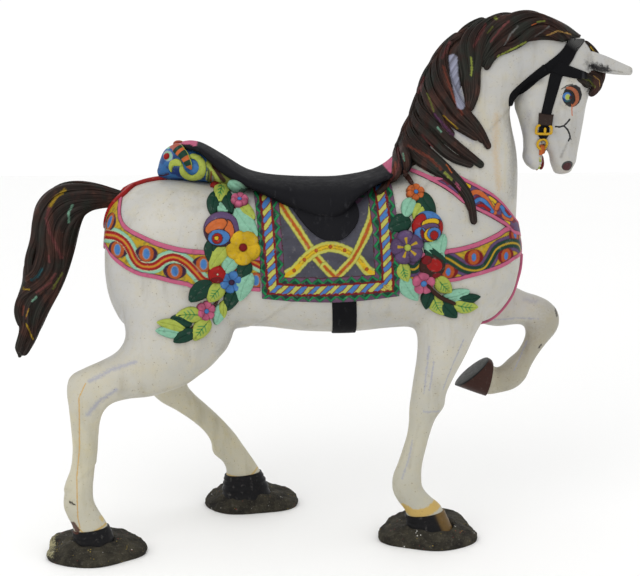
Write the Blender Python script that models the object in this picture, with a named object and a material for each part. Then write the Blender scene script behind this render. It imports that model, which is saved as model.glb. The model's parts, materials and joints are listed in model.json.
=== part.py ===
"""Carousel horse standing on three rough ground pads, at its real size in metres.

Frame: +X runs from the tail towards the head, +Y towards the horse's left side, +Z up from the floor.
The horse is one carved solid. Its body, legs, neck, head, hair, saddle, harness and flower swags are
lofts and reliefs that a fine remesh fuses, and a decimation then brings down to a faceted solid.

A loft's row is (front x, front z, back x, back z, y, half width): the two ends of one cross-section
in the side view, where it lies sideways, and half of its breadth.
"""
import math

import bmesh
import bpy
import numpy as np
from mathutils import Vector
from mathutils.bvhtree import BVHTree

# Driving dimensions
MID_PLANE_Y = -0.037
REMESH_VOXEL = 0.0055
SMOOTH_ROUNDS = 2
HORSE_TRIANGLES = 9000
PAD_SEAT_Z = 0.028
TOUCH_GAP = 0.0003
SOLE_BLOCK = ((-0.75, -0.35, -0.10), (0.45, 0.35))
RIGHT = -1
LEFT = 1

# Lofts of the white body
TRUNK_ROWS = [
    (-0.592, 0.800, -0.590, 0.730, 0.0, 0.050),
    (-0.586, 0.860, -0.582, 0.690, 0.0, 0.100),
    (-0.571, 0.925, -0.562, 0.645, 0.0, 0.138),
    (-0.540, 0.965, -0.530, 0.600, 0.0, 0.163),
    (-0.475, 0.993, -0.445, 0.560, 0.0, 0.185),
    (-0.400, 1.002, -0.350, 0.550, 0.0, 0.195),
    (-0.300, 0.995, -0.250, 0.590, 0.0, 0.193),
    (-0.180, 0.985, -0.160, 0.594, 0.0, 0.195),
    (-0.050, 0.975, -0.045, 0.581, 0.0, 0.200),
    (0.080, 0.975, 0.080, 0.578, 0.0, 0.200),
    (0.200, 1.010, 0.195, 0.587, 0.0, 0.192),
    (0.300, 1.030, 0.300, 0.588, 0.0, 0.182),
    (0.400, 1.020, 0.400, 0.594, 0.0, 0.166),
    (0.480, 0.980, 0.472, 0.607, 0.0, 0.142),
    (0.532, 0.905, 0.525, 0.665, 0.0, 0.105),
    (0.550, 0.845, 0.548, 0.730, 0.0, 0.055),
]
NECK_ROWS = [
    (0.542, 0.860, 0.120, 0.930, 0.0, 0.135),
    (0.545, 0.950, 0.180, 1.000, 0.0, 0.125),
    (0.544, 1.030, 0.220, 1.085, 0.0, 0.110),
    (0.537, 1.090, 0.260, 1.170, 0.0, 0.097),
    (0.523, 1.150, 0.305, 1.250, 0.0, 0.086),
    (0.520, 1.198, 0.360, 1.325, 0.0, 0.078),
    (0.545, 1.238, 0.435, 1.385, 0.0, 0.070),
    (0.585, 1.260, 0.525, 1.415, 0.0, 0.064),
    (0.625, 1.270, 0.610, 1.410, 0.0, 0.060),
    (0.660, 1.275, 0.685, 1.378, 0.0, 0.052),
]
HEAD_ROWS = [
    (0.712, 1.376, 0.630, 1.362, 0.0, 0.040),
    (0.735, 1.345, 0.605, 1.320, 0.0, 0.056),
    (0.745, 1.290, 0.585, 1.270, 0.0, 0.066),
    (0.736, 1.240, 0.575, 1.220, 0.0, 0.069),
    (0.726, 1.200, 0.570, 1.175, 0.0, 0.062),
    (0.719, 1.150, 0.580, 1.135, 0.0, 0.052),
    (0.712, 1.105, 0.603, 1.098, 0.0, 0.045),
    (0.706, 1.070, 0.627, 1.068, 0.0, 0.041),
    (0.702, 1.043, 0.634, 1.040, 0.0, 0.042),
    (0.692, 1.024, 0.642, 1.020, 0.0, 0.036),
]
JAW_ROWS = [
    (0.665, 1.255, 0.540, 1.245, 0.0, 0.056),
    (0.655, 1.205, 0.531, 1.200, 0.0, 0.060),
    (0.645, 1.155, 0.544, 1.158, 0.0, 0.052),
    (0.625, 1.115, 0.555, 1.118, 0.0, 0.042),
    (0.612, 1.085, 0.558, 1.082, 0.0, 0.034),
    (0.610, 1.060, 0.556, 1.056, 0.0, 0.031),
    (0.610, 1.042, 0.566, 1.036, 0.0, 0.029),
    (0.602, 1.030, 0.579, 1.026, 0.0, 0.022),
]
HIND_RIGHT_ROWS = [
    (-0.240, 0.700, -0.560, 0.790, -0.085, 0.105),
    (-0.238, 0.605, -0.545, 0.675, -0.110, 0.098),
    (-0.280, 0.528, -0.528, 0.602, -0.130, 0.085),
    (-0.357, 0.472, -0.547, 0.560, -0.148, 0.069),
    (-0.452, 0.441, -0.588, 0.537, -0.163, 0.056),
    (-0.518, 0.436, -0.637, 0.518, -0.175, 0.047),
    (-0.563, 0.425, -0.673, 0.498, -0.182, 0.042),
    (-0.588, 0.402, -0.682, 0.462, -0.186, 0.040),
    (-0.600, 0.365, -0.677, 0.405, -0.188, 0.035),
    (-0.606, 0.300, -0.671, 0.310, -0.190, 0.029),
    (-0.612, 0.245, -0.677, 0.250, -0.190, 0.029),
    (-0.618, 0.190, -0.695, 0.200, -0.190, 0.033),
    (-0.616, 0.155, -0.703, 0.150, -0.190, 0.035),
    (-0.602, 0.125, -0.695, 0.118, -0.190, 0.033),
    (-0.586, 0.098, -0.680, 0.085, -0.190, 0.037),
    (-0.572, 0.060, -0.675, 0.050, -0.190, 0.044),
    (-0.562, 0.010, -0.678, 0.005, -0.190, 0.050),
]
HIND_LEFT_ROWS = [
    (-0.225, 0.690, -0.560, 0.760, 0.085, 0.105),
    (-0.232, 0.595, -0.540, 0.640, 0.115, 0.093),
    (-0.268, 0.515, -0.515, 0.545, 0.138, 0.076),
    (-0.318, 0.458, -0.500, 0.455, 0.155, 0.060),
    (-0.358, 0.418, -0.494, 0.385, 0.168, 0.050),
    (-0.374, 0.386, -0.460, 0.337, 0.178, 0.043),
    (-0.356, 0.356, -0.412, 0.305, 0.186, 0.037),
    (-0.320, 0.320, -0.368, 0.272, 0.194, 0.032),
    (-0.281, 0.280, -0.333, 0.238, 0.201, 0.031),
    (-0.239, 0.230, -0.313, 0.205, 0.206, 0.034),
    (-0.214, 0.192, -0.306, 0.168, 0.209, 0.036),
    (-0.186, 0.150, -0.278, 0.140, 0.210, 0.034),
    (-0.168, 0.120, -0.268, 0.110, 0.210, 0.038),
    (-0.148, 0.075, -0.275, 0.065, 0.210, 0.046),
    (-0.128, 0.010, -0.280, 0.005, 0.210, 0.054),
]
FORE_RIGHT_ROWS = [
    (0.490, 0.740, 0.270, 0.740, -0.080, 0.088),
    (0.455, 0.645, 0.248, 0.640, -0.092, 0.078),
    (0.420, 0.580, 0.257, 0.580, -0.099, 0.064),
    (0.395, 0.525, 0.257, 0.530, -0.103, 0.054),
    (0.362, 0.463, 0.248, 0.463, -0.106, 0.047),
    (0.343, 0.420, 0.242, 0.420, -0.108, 0.044),
    (0.337, 0.385, 0.237, 0.380, -0.110, 0.043),
    (0.314, 0.350, 0.236, 0.345, -0.110, 0.037),
    (0.300, 0.310, 0.232, 0.308, -0.110, 0.032),
    (0.288, 0.262, 0.219, 0.262, -0.110, 0.030),
    (0.279, 0.220, 0.206, 0.222, -0.110, 0.032),
    (0.277, 0.185, 0.193, 0.185, -0.110, 0.036),
    (0.281, 0.155, 0.193, 0.148, -0.110, 0.035),
    (0.303, 0.128, 0.206, 0.118, -0.110, 0.034),
    (0.331, 0.103, 0.228, 0.088, -0.110, 0.040),
    (0.348, 0.065, 0.236, 0.055, -0.110, 0.047),
    (0.374, 0.010, 0.238, 0.005, -0.110, 0.056),
]
FORE_LEFT_ROWS = [
    (0.500, 0.740, 0.340, 0.640, 0.080, 0.085),
    (0.550, 0.690, 0.425, 0.585, 0.097, 0.068),
    (0.592, 0.665, 0.500, 0.560, 0.108, 0.055),
    (0.632, 0.651, 0.552, 0.562, 0.114, 0.048),
    (0.664, 0.635, 0.580, 0.563, 0.118, 0.045),
    (0.690, 0.608, 0.593, 0.556, 0.120, 0.043),
    (0.698, 0.573, 0.596, 0.543, 0.120, 0.041),
    (0.688, 0.540, 0.593, 0.525, 0.120, 0.037),
    (0.662, 0.508, 0.586, 0.507, 0.120, 0.033),
    (0.638, 0.475, 0.573, 0.485, 0.120, 0.030),
    (0.618, 0.440, 0.550, 0.465, 0.120, 0.031),
    (0.602, 0.402, 0.531, 0.446, 0.120, 0.034),
    (0.572, 0.374, 0.519, 0.439, 0.120, 0.035),
    (0.530, 0.361, 0.512, 0.440, 0.120, 0.033),
    (0.484, 0.356, 0.505, 0.450, 0.120, 0.039),
    (0.445, 0.370, 0.500, 0.458, 0.120, 0.046),
    (0.398, 0.388, 0.490, 0.464, 0.120, 0.052),
]
EAR_ROWS = [
    (0.730, 1.352, 0.742, 1.292, -0.040, 0.022),
    (0.768, 1.340, 0.774, 1.285, -0.047, 0.020),
    (0.802, 1.325, 0.803, 1.282, -0.052, 0.016),
    (0.835, 1.308, 0.834, 1.281, -0.054, 0.010),
]
TAIL_ROWS = [
    (-0.530, 0.962, -0.555, 0.912, 0.0, 0.026),
    (-0.600, 0.981, -0.602, 0.926, 0.0, 0.032),
    (-0.655, 0.995, -0.640, 0.918, 0.0, 0.040),
    (-0.706, 0.992, -0.652, 0.880, 0.0, 0.046),
    (-0.748, 0.970, -0.658, 0.846, 0.0, 0.050),
    (-0.776, 0.933, -0.669, 0.812, 0.0, 0.053),
    (-0.787, 0.880, -0.684, 0.770, 0.0, 0.055),
    (-0.785, 0.832, -0.700, 0.730, 0.0, 0.056),
    (-0.812, 0.772, -0.712, 0.695, 0.0, 0.057),
    (-0.820, 0.722, -0.735, 0.655, 0.0, 0.055),
    (-0.843, 0.650, -0.755, 0.618, 0.0, 0.049),
    (-0.832, 0.595, -0.778, 0.568, 0.0, 0.038),
    (-0.845, 0.543, -0.803, 0.535, 0.0, 0.027),
    (-0.838, 0.515, -0.820, 0.514, 0.0, 0.014),
]
TAIL_STRANDS = 6
TAIL_TWIST = 1.6
STRAND_DEPTH = 0.13
DOME_STEPS = (0.5, 0.85)

# Lofts of the mane, the saddle and the ram's head behind it
MANE_ROWS = [
    (0.668, 1.368, 0.706, 1.390, 0.0, 0.030),
    (0.645, 1.350, 0.660, 1.421, 0.0, 0.050),
    (0.580, 1.345, 0.592, 1.447, 0.0, 0.062),
    (0.520, 1.330, 0.512, 1.446, 0.0, 0.068),
    (0.465, 1.305, 0.436, 1.425, 0.0, 0.072),
    (0.420, 1.260, 0.364, 1.378, 0.0, 0.077),
    (0.385, 1.210, 0.309, 1.302, 0.0, 0.081),
    (0.355, 1.150, 0.277, 1.230, 0.0, 0.084),
    (0.325, 1.090, 0.257, 1.160, 0.0, 0.088),
    (0.290, 1.030, 0.238, 1.097, 0.0, 0.084),
    (0.250, 0.990, 0.218, 1.050, 0.0, 0.068),
]
SADDLE_ROWS = [
    (-0.345, 1.096, -0.345, 1.010, 0.0, 0.050),
    (-0.312, 1.089, -0.312, 0.985, 0.0, 0.092),
    (-0.257, 1.060, -0.257, 0.965, 0.0, 0.120),
    (-0.203, 1.025, -0.203, 0.950, 0.0, 0.130),
    (-0.150, 1.010, -0.150, 0.925, 0.0, 0.143),
    (-0.080, 1.004, -0.080, 0.885, 0.0, 0.165),
    (-0.020, 1.002, -0.020, 0.850, 0.0, 0.182),
    (0.040, 1.002, 0.040, 0.845, 0.0, 0.184),
    (0.090, 1.006, 0.090, 0.880, 0.0, 0.168),
    (0.125, 1.012, 0.125, 0.925, 0.0, 0.146),
    (0.164, 1.024, 0.164, 0.950, 0.0, 0.130),
    (0.198, 1.057, 0.200, 0.965, 0.0, 0.118),
    (0.226, 1.105, 0.240, 0.985, 0.0, 0.100),
]
CANTLE_ROWS = [
    (-0.400, 1.104, -0.390, 1.060, 0.0, 0.055),
    (-0.372, 1.106, -0.370, 1.030, 0.0, 0.085),
    (-0.335, 1.102, -0.335, 1.010, 0.0, 0.105),
    (-0.300, 1.088, -0.300, 1.000, 0.0, 0.110),
]
RAM_HEAD_ROWS = [
    (-0.441, 1.030, -0.432, 1.008, 0.0, 0.022),
    (-0.434, 1.055, -0.420, 1.003, 0.0, 0.034),
    (-0.420, 1.082, -0.400, 0.999, 0.0, 0.048),
    (-0.390, 1.098, -0.370, 0.997, 0.0, 0.062),
    (-0.350, 1.098, -0.335, 0.997, 0.0, 0.072),
    (-0.310, 1.080, -0.300, 0.997, 0.0, 0.078),
]
HORN_CENTRE = (-0.347, 1.037)
HORN_COIL_RADIUS = 0.030
HORN_THICKNESS = 0.011
HORN_TURNS = 1.25

# Locks of the mane that lie on the right of the neck: points (x, z), then the half breadth at the root
MANE_LOCKS = [
    ([(0.660, 1.402), (0.590, 1.388), (0.525, 1.352), (0.472, 1.325), (0.438, 1.300)], 0.022),
    ([(0.600, 1.428), (0.530, 1.395), (0.468, 1.345), (0.430, 1.285), (0.412, 1.230)], 0.024),
    ([(0.500, 1.425), (0.435, 1.380), (0.400, 1.320), (0.395, 1.250), (0.386, 1.192)], 0.026),
    ([(0.370, 1.360), (0.335, 1.290), (0.335, 1.215), (0.380, 1.155), (0.446, 1.090)], 0.026),
    ([(0.310, 1.290), (0.290, 1.210), (0.305, 1.150), (0.350, 1.125)], 0.022),
    ([(0.285, 1.230), (0.280, 1.150), (0.315, 1.095), (0.370, 1.055), (0.430, 1.046)], 0.025),
    ([(0.255, 1.150), (0.265, 1.085), (0.320, 1.035), (0.378, 0.975), (0.399, 0.900)], 0.024),
    ([(0.232, 1.110), (0.235, 1.060), (0.265, 1.030), (0.320, 1.000)], 0.018),
    ([(0.228, 1.100), (0.222, 1.050), (0.200, 1.000), (0.142, 0.967)], 0.017),
]
FAR_LOCKS = [
    ([(0.630, 1.415), (0.560, 1.385), (0.500, 1.340), (0.455, 1.290)], 0.026),
    ([(0.520, 1.425), (0.455, 1.370), (0.410, 1.300), (0.395, 1.215)], 0.028),
    ([(0.410, 1.385), (0.350, 1.300), (0.345, 1.210), (0.395, 1.140)], 0.028),
    ([(0.320, 1.290), (0.290, 1.190), (0.315, 1.110), (0.380, 1.060)], 0.028),
    ([(0.260, 1.170), (0.255, 1.090), (0.290, 1.030), (0.345, 0.985)], 0.026),
]
FORELOCKS = [
    ([(0.712, 1.372), (0.735, 1.340), (0.755, 1.300), (0.748, 1.262), (0.728, 1.228)], 0.016, -0.022),
    ([(0.712, 1.372), (0.740, 1.335), (0.762, 1.290), (0.760, 1.250), (0.745, 1.232)], 0.016, 0.004),
    ([(0.706, 1.372), (0.725, 1.330), (0.738, 1.285), (0.722, 1.255), (0.700, 1.262)], 0.014, -0.044),
]

# Harness and cloth on the flank, as left and right edges of a relief in (x, z)
CLOTH_EDGES = (
    [(-0.188, 0.992), (-0.180, 0.920), (-0.172, 0.800), (-0.163, 0.705)],
    [(0.175, 0.985), (0.180, 0.900), (0.184, 0.800), (0.185, 0.710)],
)
FLAP_EDGES = (
    [(-0.205, 0.998), (-0.140, 0.975), (-0.070, 0.905), (-0.020, 0.866)],
    [(0.140, 0.998), (0.086, 0.965), (0.094, 0.910), (0.045, 0.860)],
)
GIRTH_EDGES = (
    [(0.013, 0.720), (0.017, 0.680), (0.025, 0.640)],
    [(0.083, 0.720), (0.087, 0.680), (0.094, 0.640)],
)
BREECHING_EDGES = (
    [(-0.548, 0.950), (-0.540, 0.905), (-0.505, 0.872), (-0.440, 0.843), (-0.320, 0.825), (-0.180, 0.815)],
    [(-0.582, 0.880), (-0.575, 0.830), (-0.530, 0.790), (-0.460, 0.762), (-0.330, 0.737), (-0.180, 0.730)],
)
COLLAR_EDGES = (
    [(0.180, 0.820), (0.300, 0.828), (0.370, 0.835), (0.450, 0.860), (0.495, 0.880)],
    [(0.180, 0.745), (0.300, 0.747), (0.370, 0.753), (0.450, 0.773), (0.505, 0.798)],
)
YOKE_EDGES = (
    [(0.232, 1.072), (0.345, 1.030), (0.400, 1.000), (0.475, 0.945), (0.512, 0.905)],
    [(0.215, 1.043), (0.300, 1.000), (0.375, 0.955), (0.460, 0.905), (0.508, 0.868)],
)
LOCK_ARC = (0.22, 0.74)
LOCK_TIP = 0.2
HARNESS_LIFT = 0.0045
CLOTH_LIFT = 0.0075
FLAP_LIFT = 0.013

# Bridle straps on the head: points (x, z) and half breadth
BRIDLE_STRAPS = [
    ([(0.712, 1.372), (0.665, 1.335), (0.615, 1.295)], 0.019),
    ([(0.635, 1.310), (0.580, 1.265), (0.528, 1.218)], 0.012),
    ([(0.640, 1.295), (0.628, 1.230), (0.612, 1.130)], 0.014),
    ([(0.625, 1.305), (0.665, 1.292), (0.712, 1.284)], 0.012),
]
BRIDLE_LIFT = 0.0045
BUCKLE_EDGES = ([(0.585, 1.150), (0.587, 1.118)], [(0.633, 1.154), (0.629, 1.121)])
BUCKLE_LIFT = 0.008
BIT_RING = (0.610, 1.096, 0.018, 0.0045)
NOSTRIL_RIM = (0.682, 1.038, 0.011, 0.0040)
EYE = (0.674, 1.226, 0.017)

# Flower swags: flowers are (x, z, radius, petals), leaves are (base x, base z, tip x, tip z)
REAR_FLOWERS = [
    (-0.277, 1.004, 0.024, 5), (-0.222, 0.968, 0.023, 5), (-0.270, 0.888, 0.048, 4),
    (-0.210, 0.845, 0.047, 5), (-0.286, 0.778, 0.024, 1), (-0.243, 0.752, 0.031, 6),
    (-0.314, 0.672, 0.026, 5),
]
REAR_LEAVES = [
    (-0.252, 1.013, -0.205, 0.995), (-0.258, 0.992, -0.278, 0.953), (-0.290, 0.985, -0.305, 0.933),
    (-0.228, 0.957, -0.180, 0.923), (-0.230, 0.932, -0.178, 0.872), (-0.300, 0.868, -0.295, 0.801),
    (-0.260, 0.848, -0.296, 0.792), (-0.238, 0.812, -0.264, 0.776), (-0.196, 0.800, -0.226, 0.762),
    (-0.193, 0.768, -0.222, 0.702), (-0.300, 0.750, -0.356, 0.702), (-0.270, 0.738, -0.306, 0.696),
    (-0.232, 0.728, -0.256, 0.674), (-0.268, 0.684, -0.284, 0.634), (-0.326, 0.668, -0.388, 0.664),
    (-0.340, 0.640, -0.403, 0.658), (-0.372, 0.630, -0.437, 0.646), (-0.376, 0.612, -0.441, 0.628),
    (-0.340, 0.622, -0.396, 0.598), (-0.306, 0.640, -0.346, 0.600),
]
FRONT_FLOWERS = [
    (0.241, 0.986, 0.025, 5), (0.268, 0.893, 0.046, 4), (0.220, 0.838, 0.045, 5),
    (0.290, 0.781, 0.020, 1), (0.265, 0.744, 0.030, 5),
]
FRONT_LEAVES = [
    (0.232, 0.966, 0.211, 0.919), (0.258, 0.978, 0.294, 0.928), (0.236, 0.955, 0.262, 0.926),
    (0.228, 0.915, 0.178, 0.884), (0.284, 0.866, 0.312, 0.806), (0.272, 0.830, 0.320, 0.794),
    (0.205, 0.800, 0.240, 0.748), (0.212, 0.756, 0.250, 0.696), (0.306, 0.758, 0.338, 0.712),
    (0.285, 0.718, 0.276, 0.672), (0.298, 0.702, 0.324, 0.650), (0.328, 0.690, 0.362, 0.646),
    (0.326, 0.692, 0.392, 0.716), (0.356, 0.686, 0.415, 0.692), (0.352, 0.668, 0.411, 0.670),
]
FAR_FLOWERS = [
    (-0.250, 0.900, 0.040, 5), (-0.265, 0.770, 0.032, 5), (0.260, 0.900, 0.038, 5), (0.262, 0.770, 0.030, 5),
]
FAR_LEAVES = [
    (-0.250, 0.945, -0.235, 1.005), (-0.220, 0.880, -0.200, 0.820), (-0.290, 0.860, -0.290, 0.800),
    (-0.270, 0.735, -0.300, 0.680), (-0.235, 0.745, -0.225, 0.685), (0.255, 0.940, 0.245, 1.000),
    (0.280, 0.860, 0.295, 0.805), (0.235, 0.860, 0.220, 0.805), (0.280, 0.735, 0.310, 0.680),
    (0.245, 0.735, 0.235, 0.680),
]
FLOWER_LIFT = 0.016
LEAF_LIFT = 0.010
LEAF_BREADTH = 0.66
RELIEF_DEPTH = 0.016

# Pads: centre (x, y), radii (x, y), hoof centre (x, y), hoof radii, edge height, mound height, seed
PADS = {
    "pad_hind_right": ((-0.624, -0.166), (0.134, 0.114), (-0.620, -0.190), (0.070, 0.062), 0.020, 0.046, 1.0),
    "pad_hind_left": ((-0.194, 0.256), (0.138, 0.100), (-0.204, 0.210), (0.087, 0.066), 0.018, 0.036, 2.2),
    "pad_fore_right": ((0.300, -0.072), (0.136, 0.130), (0.306, -0.110), (0.079, 0.068), 0.020, 0.042, 4.0),
}
PAD_RAYS = 24
PAD_LUMPS = 0.05
PAD_BACK_RISE = 0.022

COLOURS = {
    "horse": ((0.57, 0.56, 0.50, 1.0), 0.45),
    "pad": ((0.035, 0.033, 0.027, 1.0), 0.85),
}


def clear_scene():
    """Remove whatever the file already holds."""
    for thing in list(bpy.data.objects):
        bpy.data.objects.remove(thing, do_unlink=True)


def make_material(name, colour, roughness):
    """A painted, non-metallic Principled surface."""
    material = bpy.data.materials.new(name)
    material.use_nodes = True
    shader = material.node_tree.nodes["Principled BSDF"]
    shader.inputs["Base Color"].default_value = colour
    shader.inputs["Roughness"].default_value = roughness
    shader.inputs["Metallic"].default_value = 0.0
    return material


def spline(points, steps):
    """Catmull-Rom curve through the rows of points, with that many steps from one to the next."""
    points = np.asarray(points, float)
    padded = np.vstack([2 * points[0] - points[1], points, 2 * points[-1] - points[-2]])
    t = np.linspace(0.0, 1.0, steps, endpoint=False)[:, None]
    spans = []
    for i in range(len(points) - 1):
        a, b, c, d = padded[i:i + 4]
        spans.append(0.5 * (2 * b + (c - a) * t + (2 * a - 5 * b + 4 * c - d) * t**2
                            + (3 * b - a - 3 * c + d) * t**3))
    return np.vstack(spans + [points[-1:]])


def rings_to_mesh(rings):
    """Skin a stack of equal rings and close both ends with a fan to the ring's centre."""
    count, sides, _ = rings.shape
    verts = [tuple(p) for p in rings.reshape(-1, 3)]
    verts += [tuple(rings[0].mean(axis=0)), tuple(rings[-1].mean(axis=0))]
    first, last = count * sides, count * sides + 1
    faces = []
    for i in range(count - 1):
        for j in range(sides):
            k = (j + 1) % sides
            faces.append((i * sides + j, i * sides + k, (i + 1) * sides + k, (i + 1) * sides + j))
    for j in range(sides):
        k = (j + 1) % sides
        faces.append((first, k, j))
        faces.append((last, (count - 1) * sides + j, (count - 1) * sides + k))
    return verts, faces


def loft(rows, sides=20, steps=4, power=2.0, egg=0.0, strands=0, twist=0.0, dome=0.5):
    """Closed tube through the rows: superelliptic sections, domed at both ends.

    egg widens the front of each section and narrows its back. strands cuts that many grooves, which
    turn round the tube by twist turns from one end to the other.
    """
    dense = spline(rows, steps)
    angle = np.linspace(0.0, 2 * math.pi, sides, endpoint=False)
    cosine = np.sign(np.cos(angle)) * np.abs(np.cos(angle)) ** (2 / power)
    sine = np.sign(np.sin(angle)) * np.abs(np.sin(angle)) ** (2 / power)
    front = np.stack([dense[:, 0], dense[:, 4], dense[:, 1]], axis=1)
    back = np.stack([dense[:, 2], dense[:, 4], dense[:, 3]], axis=1)
    middle, half = (front + back) / 2, (front - back) / 2
    along = np.linspace(0.0, 1.0, len(dense))
    groove = np.ones((len(dense), sides))
    if strands:
        phase = strands * angle[None, :] + 2 * math.pi * twist * along[:, None]
        groove -= STRAND_DEPTH * np.abs(np.sin(phase / 2)) ** 6
    breadth = dense[:, 5][:, None] * sine[None, :] * (1 + egg * cosine[None, :])
    rings = middle[:, None, :] + (half[:, None, :] * cosine[None, :, None]) * groove[:, :, None]
    rings[:, :, 1] += breadth * groove
    caps = []
    for end, inner in ((0, 1), (-1, -2)):
        outward = middle[end] - middle[inner]
        outward /= max(np.linalg.norm(outward), 1e-9)
        reach = dome * min(np.linalg.norm(half[end]), dense[end, 5])
        cap = []
        for share in DOME_STEPS:
            shrunk = (rings[end] - middle[end]) * math.sqrt(1 - share * share)
            cap.append(middle[end] + shrunk + outward * reach * share)
        caps.append(cap if end else cap[::-1])
    return rings_to_mesh(np.concatenate([np.stack(caps[0]), rings, np.stack(caps[1])]))


class Surface:
    """The outer surface of the lofts made so far, which reliefs and locks are laid on."""

    def __init__(self, meshes):
        verts, faces = merge(meshes)
        self.tree = BVHTree.FromPolygons([Vector(v) for v in verts], faces)

    def touch(self, x, z, side):
        """Point and outward normal where a line from that side, along Y, first meets the surface."""
        point, normal, _, _ = self.tree.ray_cast(Vector((x, side, z)), Vector((0.0, -side, 0.0)))
        if point is None:
            point, normal, _, _ = self.tree.find_nearest(Vector((x, side * 0.05, z)))
        if normal.y * side < 0:
            normal = -normal
        return np.array(point), np.array(normal)


def merge(meshes):
    """One list of points and one of faces from several."""
    verts, faces = [], []
    for part_verts, part_faces in meshes:
        start = len(verts)
        verts += part_verts
        faces += [tuple(start + i for i in face) for face in part_faces]
    return verts, faces


def relief(surface, edges, lift, side, rows=12, across=8, crown=8.0):
    """A strap, cloth or leaf laid on the surface between two edge curves, with its back sunk into it.

    Its height is lift x (1 - |s|^crown) across, where s runs from -1 to 1 between the edges.
    """
    left, right = (spline(edge, max(2, rows // (len(edge) - 1))) for edge in edges)
    share = np.linspace(-1.0, 1.0, across)
    rings = []
    for a, b in zip(left, right):
        outer, inner = [], []
        for s in share:
            x, z = (a * (1 - s) + b * (1 + s)) / 2
            point, normal = surface.touch(x, z, side)
            outer.append(point + normal * lift * (1 - 0.7 * abs(s) ** crown))
            inner.append(point - normal * RELIEF_DEPTH)
        rings.append(outer + inner[::-1])
    return rings_to_mesh(np.array(rings))


def leaf(surface, base_x, base_z, tip_x, tip_z, side):
    """Pointed oval leaf: its half breadth follows sin(pi u^0.8) from the base to the tip."""
    base, tip = np.array([base_x, base_z]), np.array([tip_x, tip_z])
    length = np.linalg.norm(tip - base)
    across = np.array([tip[1] - base[1], base[0] - tip[0]]) / length
    u = np.linspace(0.04, 0.96, 7)[:, None]
    half = LEAF_BREADTH * length / 2 * np.sin(math.pi * u**0.8)
    middle = base + (tip - base) * u
    return relief(surface, (middle - across * half, middle + across * half), LEAF_LIFT, side, rows=7,
                  across=5, crown=2.0)


def flower(surface, x, z, radius, petals, side):
    """Domed flower: the rim is radius x (0.86 + 0.14 |cos(petals angle / 2)|) and the eye is sunk."""
    point, normal = surface.touch(x, z, side)
    normal = Vector(normal)
    right = Vector((0.0, 0.0, 1.0)).cross(normal).normalized()
    up = normal.cross(right)
    count = max(10, 3 * petals)
    rings = []
    for share, height in ((1.0, -RELIEF_DEPTH), (1.0, 0.30), (0.72, 1.0), (0.30, 0.70), (0.18, 1.0)):
        lift = height if height < 0 else height * FLOWER_LIFT * min(1.0, radius / 0.03)
        ring = []
        for i in range(count):
            angle = 2 * math.pi * i / count
            lobe = 0.86 + 0.14 * abs(math.cos(petals * angle / 2))
            reach = radius * share * (lobe if share > 0.5 else 1.0)
            ring.append(Vector(point) + right * reach * math.cos(angle) + up * reach * math.sin(angle)
                        + normal * lift)
        rings.append(ring)
    return rings_to_mesh(np.array(rings))


def lock(surface, points, half_breadth, side, y=None, sides=8):
    """Tapered lock of hair that lies on the surface, or at a given y.

    Its half breadth follows sin^0.7 over the part LOCK_ARC of a half turn, never less than LOCK_TIP.
    """
    path = spline(points, 4)
    count = len(path)
    along = np.linspace(0.0, 1.0, count)
    start, reach = LOCK_ARC
    size = half_breadth * np.clip(np.sin(math.pi * (start + reach * along)) ** 0.7, LOCK_TIP, 1.0)
    slope = np.gradient(path, axis=0)
    slope /= np.linalg.norm(slope, axis=1)[:, None]
    rings = []
    for (x, z), (dx, dz), r in zip(path, slope, size):
        if y is None:
            point, _ = surface.touch(x, z, side)
            centre = np.array([x, point[1] + side * 0.25 * r, z])
        else:
            centre = np.array([x, y, z])
        ring = []
        for i in range(sides):
            angle = 2 * math.pi * i / sides
            offset = r * math.cos(angle)
            ring.append(centre + np.array([-dz * offset, 0.85 * r * math.sin(angle), dx * offset]))
        rings.append(ring)
    return rings_to_mesh(np.array(rings))


def ring(surface, x, z, radius, thickness, side, count=16, sides=6):
    """Round ring that lies half sunk in the surface."""
    _, normal = surface.touch(x, z, side)
    rings = []
    for angle in np.linspace(0.0, 2 * math.pi, count + 1)[:-1]:
        outward = np.array([math.cos(angle), 0.0, math.sin(angle)])
        point, _ = surface.touch(x + radius * outward[0], z + radius * outward[2], side)
        rings.append([point + thickness * (outward * math.cos(a) + normal * math.sin(a))
                      for a in np.linspace(0, 2 * math.pi, sides, endpoint=False)])
    verts, faces = rings_to_mesh(np.array(rings))
    turns = count * sides
    seam = [((count - 1) * sides + j, (count - 1) * sides + (j + 1) % sides, (j + 1) % sides, j)
            for j in range(sides)]
    return verts[:turns], [face for face in faces if max(face) < turns] + seam


def eyeball(surface, x, z, radius, side):
    """Round bulge of the eye, two fifths of it proud of the head."""
    point, normal = surface.touch(x, z, side)
    centre = point - normal * radius * 0.2
    polar = np.linspace(0.15, math.pi - 0.15, 7)
    turn = np.linspace(0.0, 2 * math.pi, 12, endpoint=False)
    rings = []
    for tilt in polar:
        flat = np.stack([np.cos(turn), np.zeros_like(turn), np.sin(turn)], axis=1) * math.sin(tilt)
        rings.append(centre + radius * (flat + np.array([0.0, math.cos(tilt), 0.0])))
    return rings_to_mesh(np.array(rings))


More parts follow.
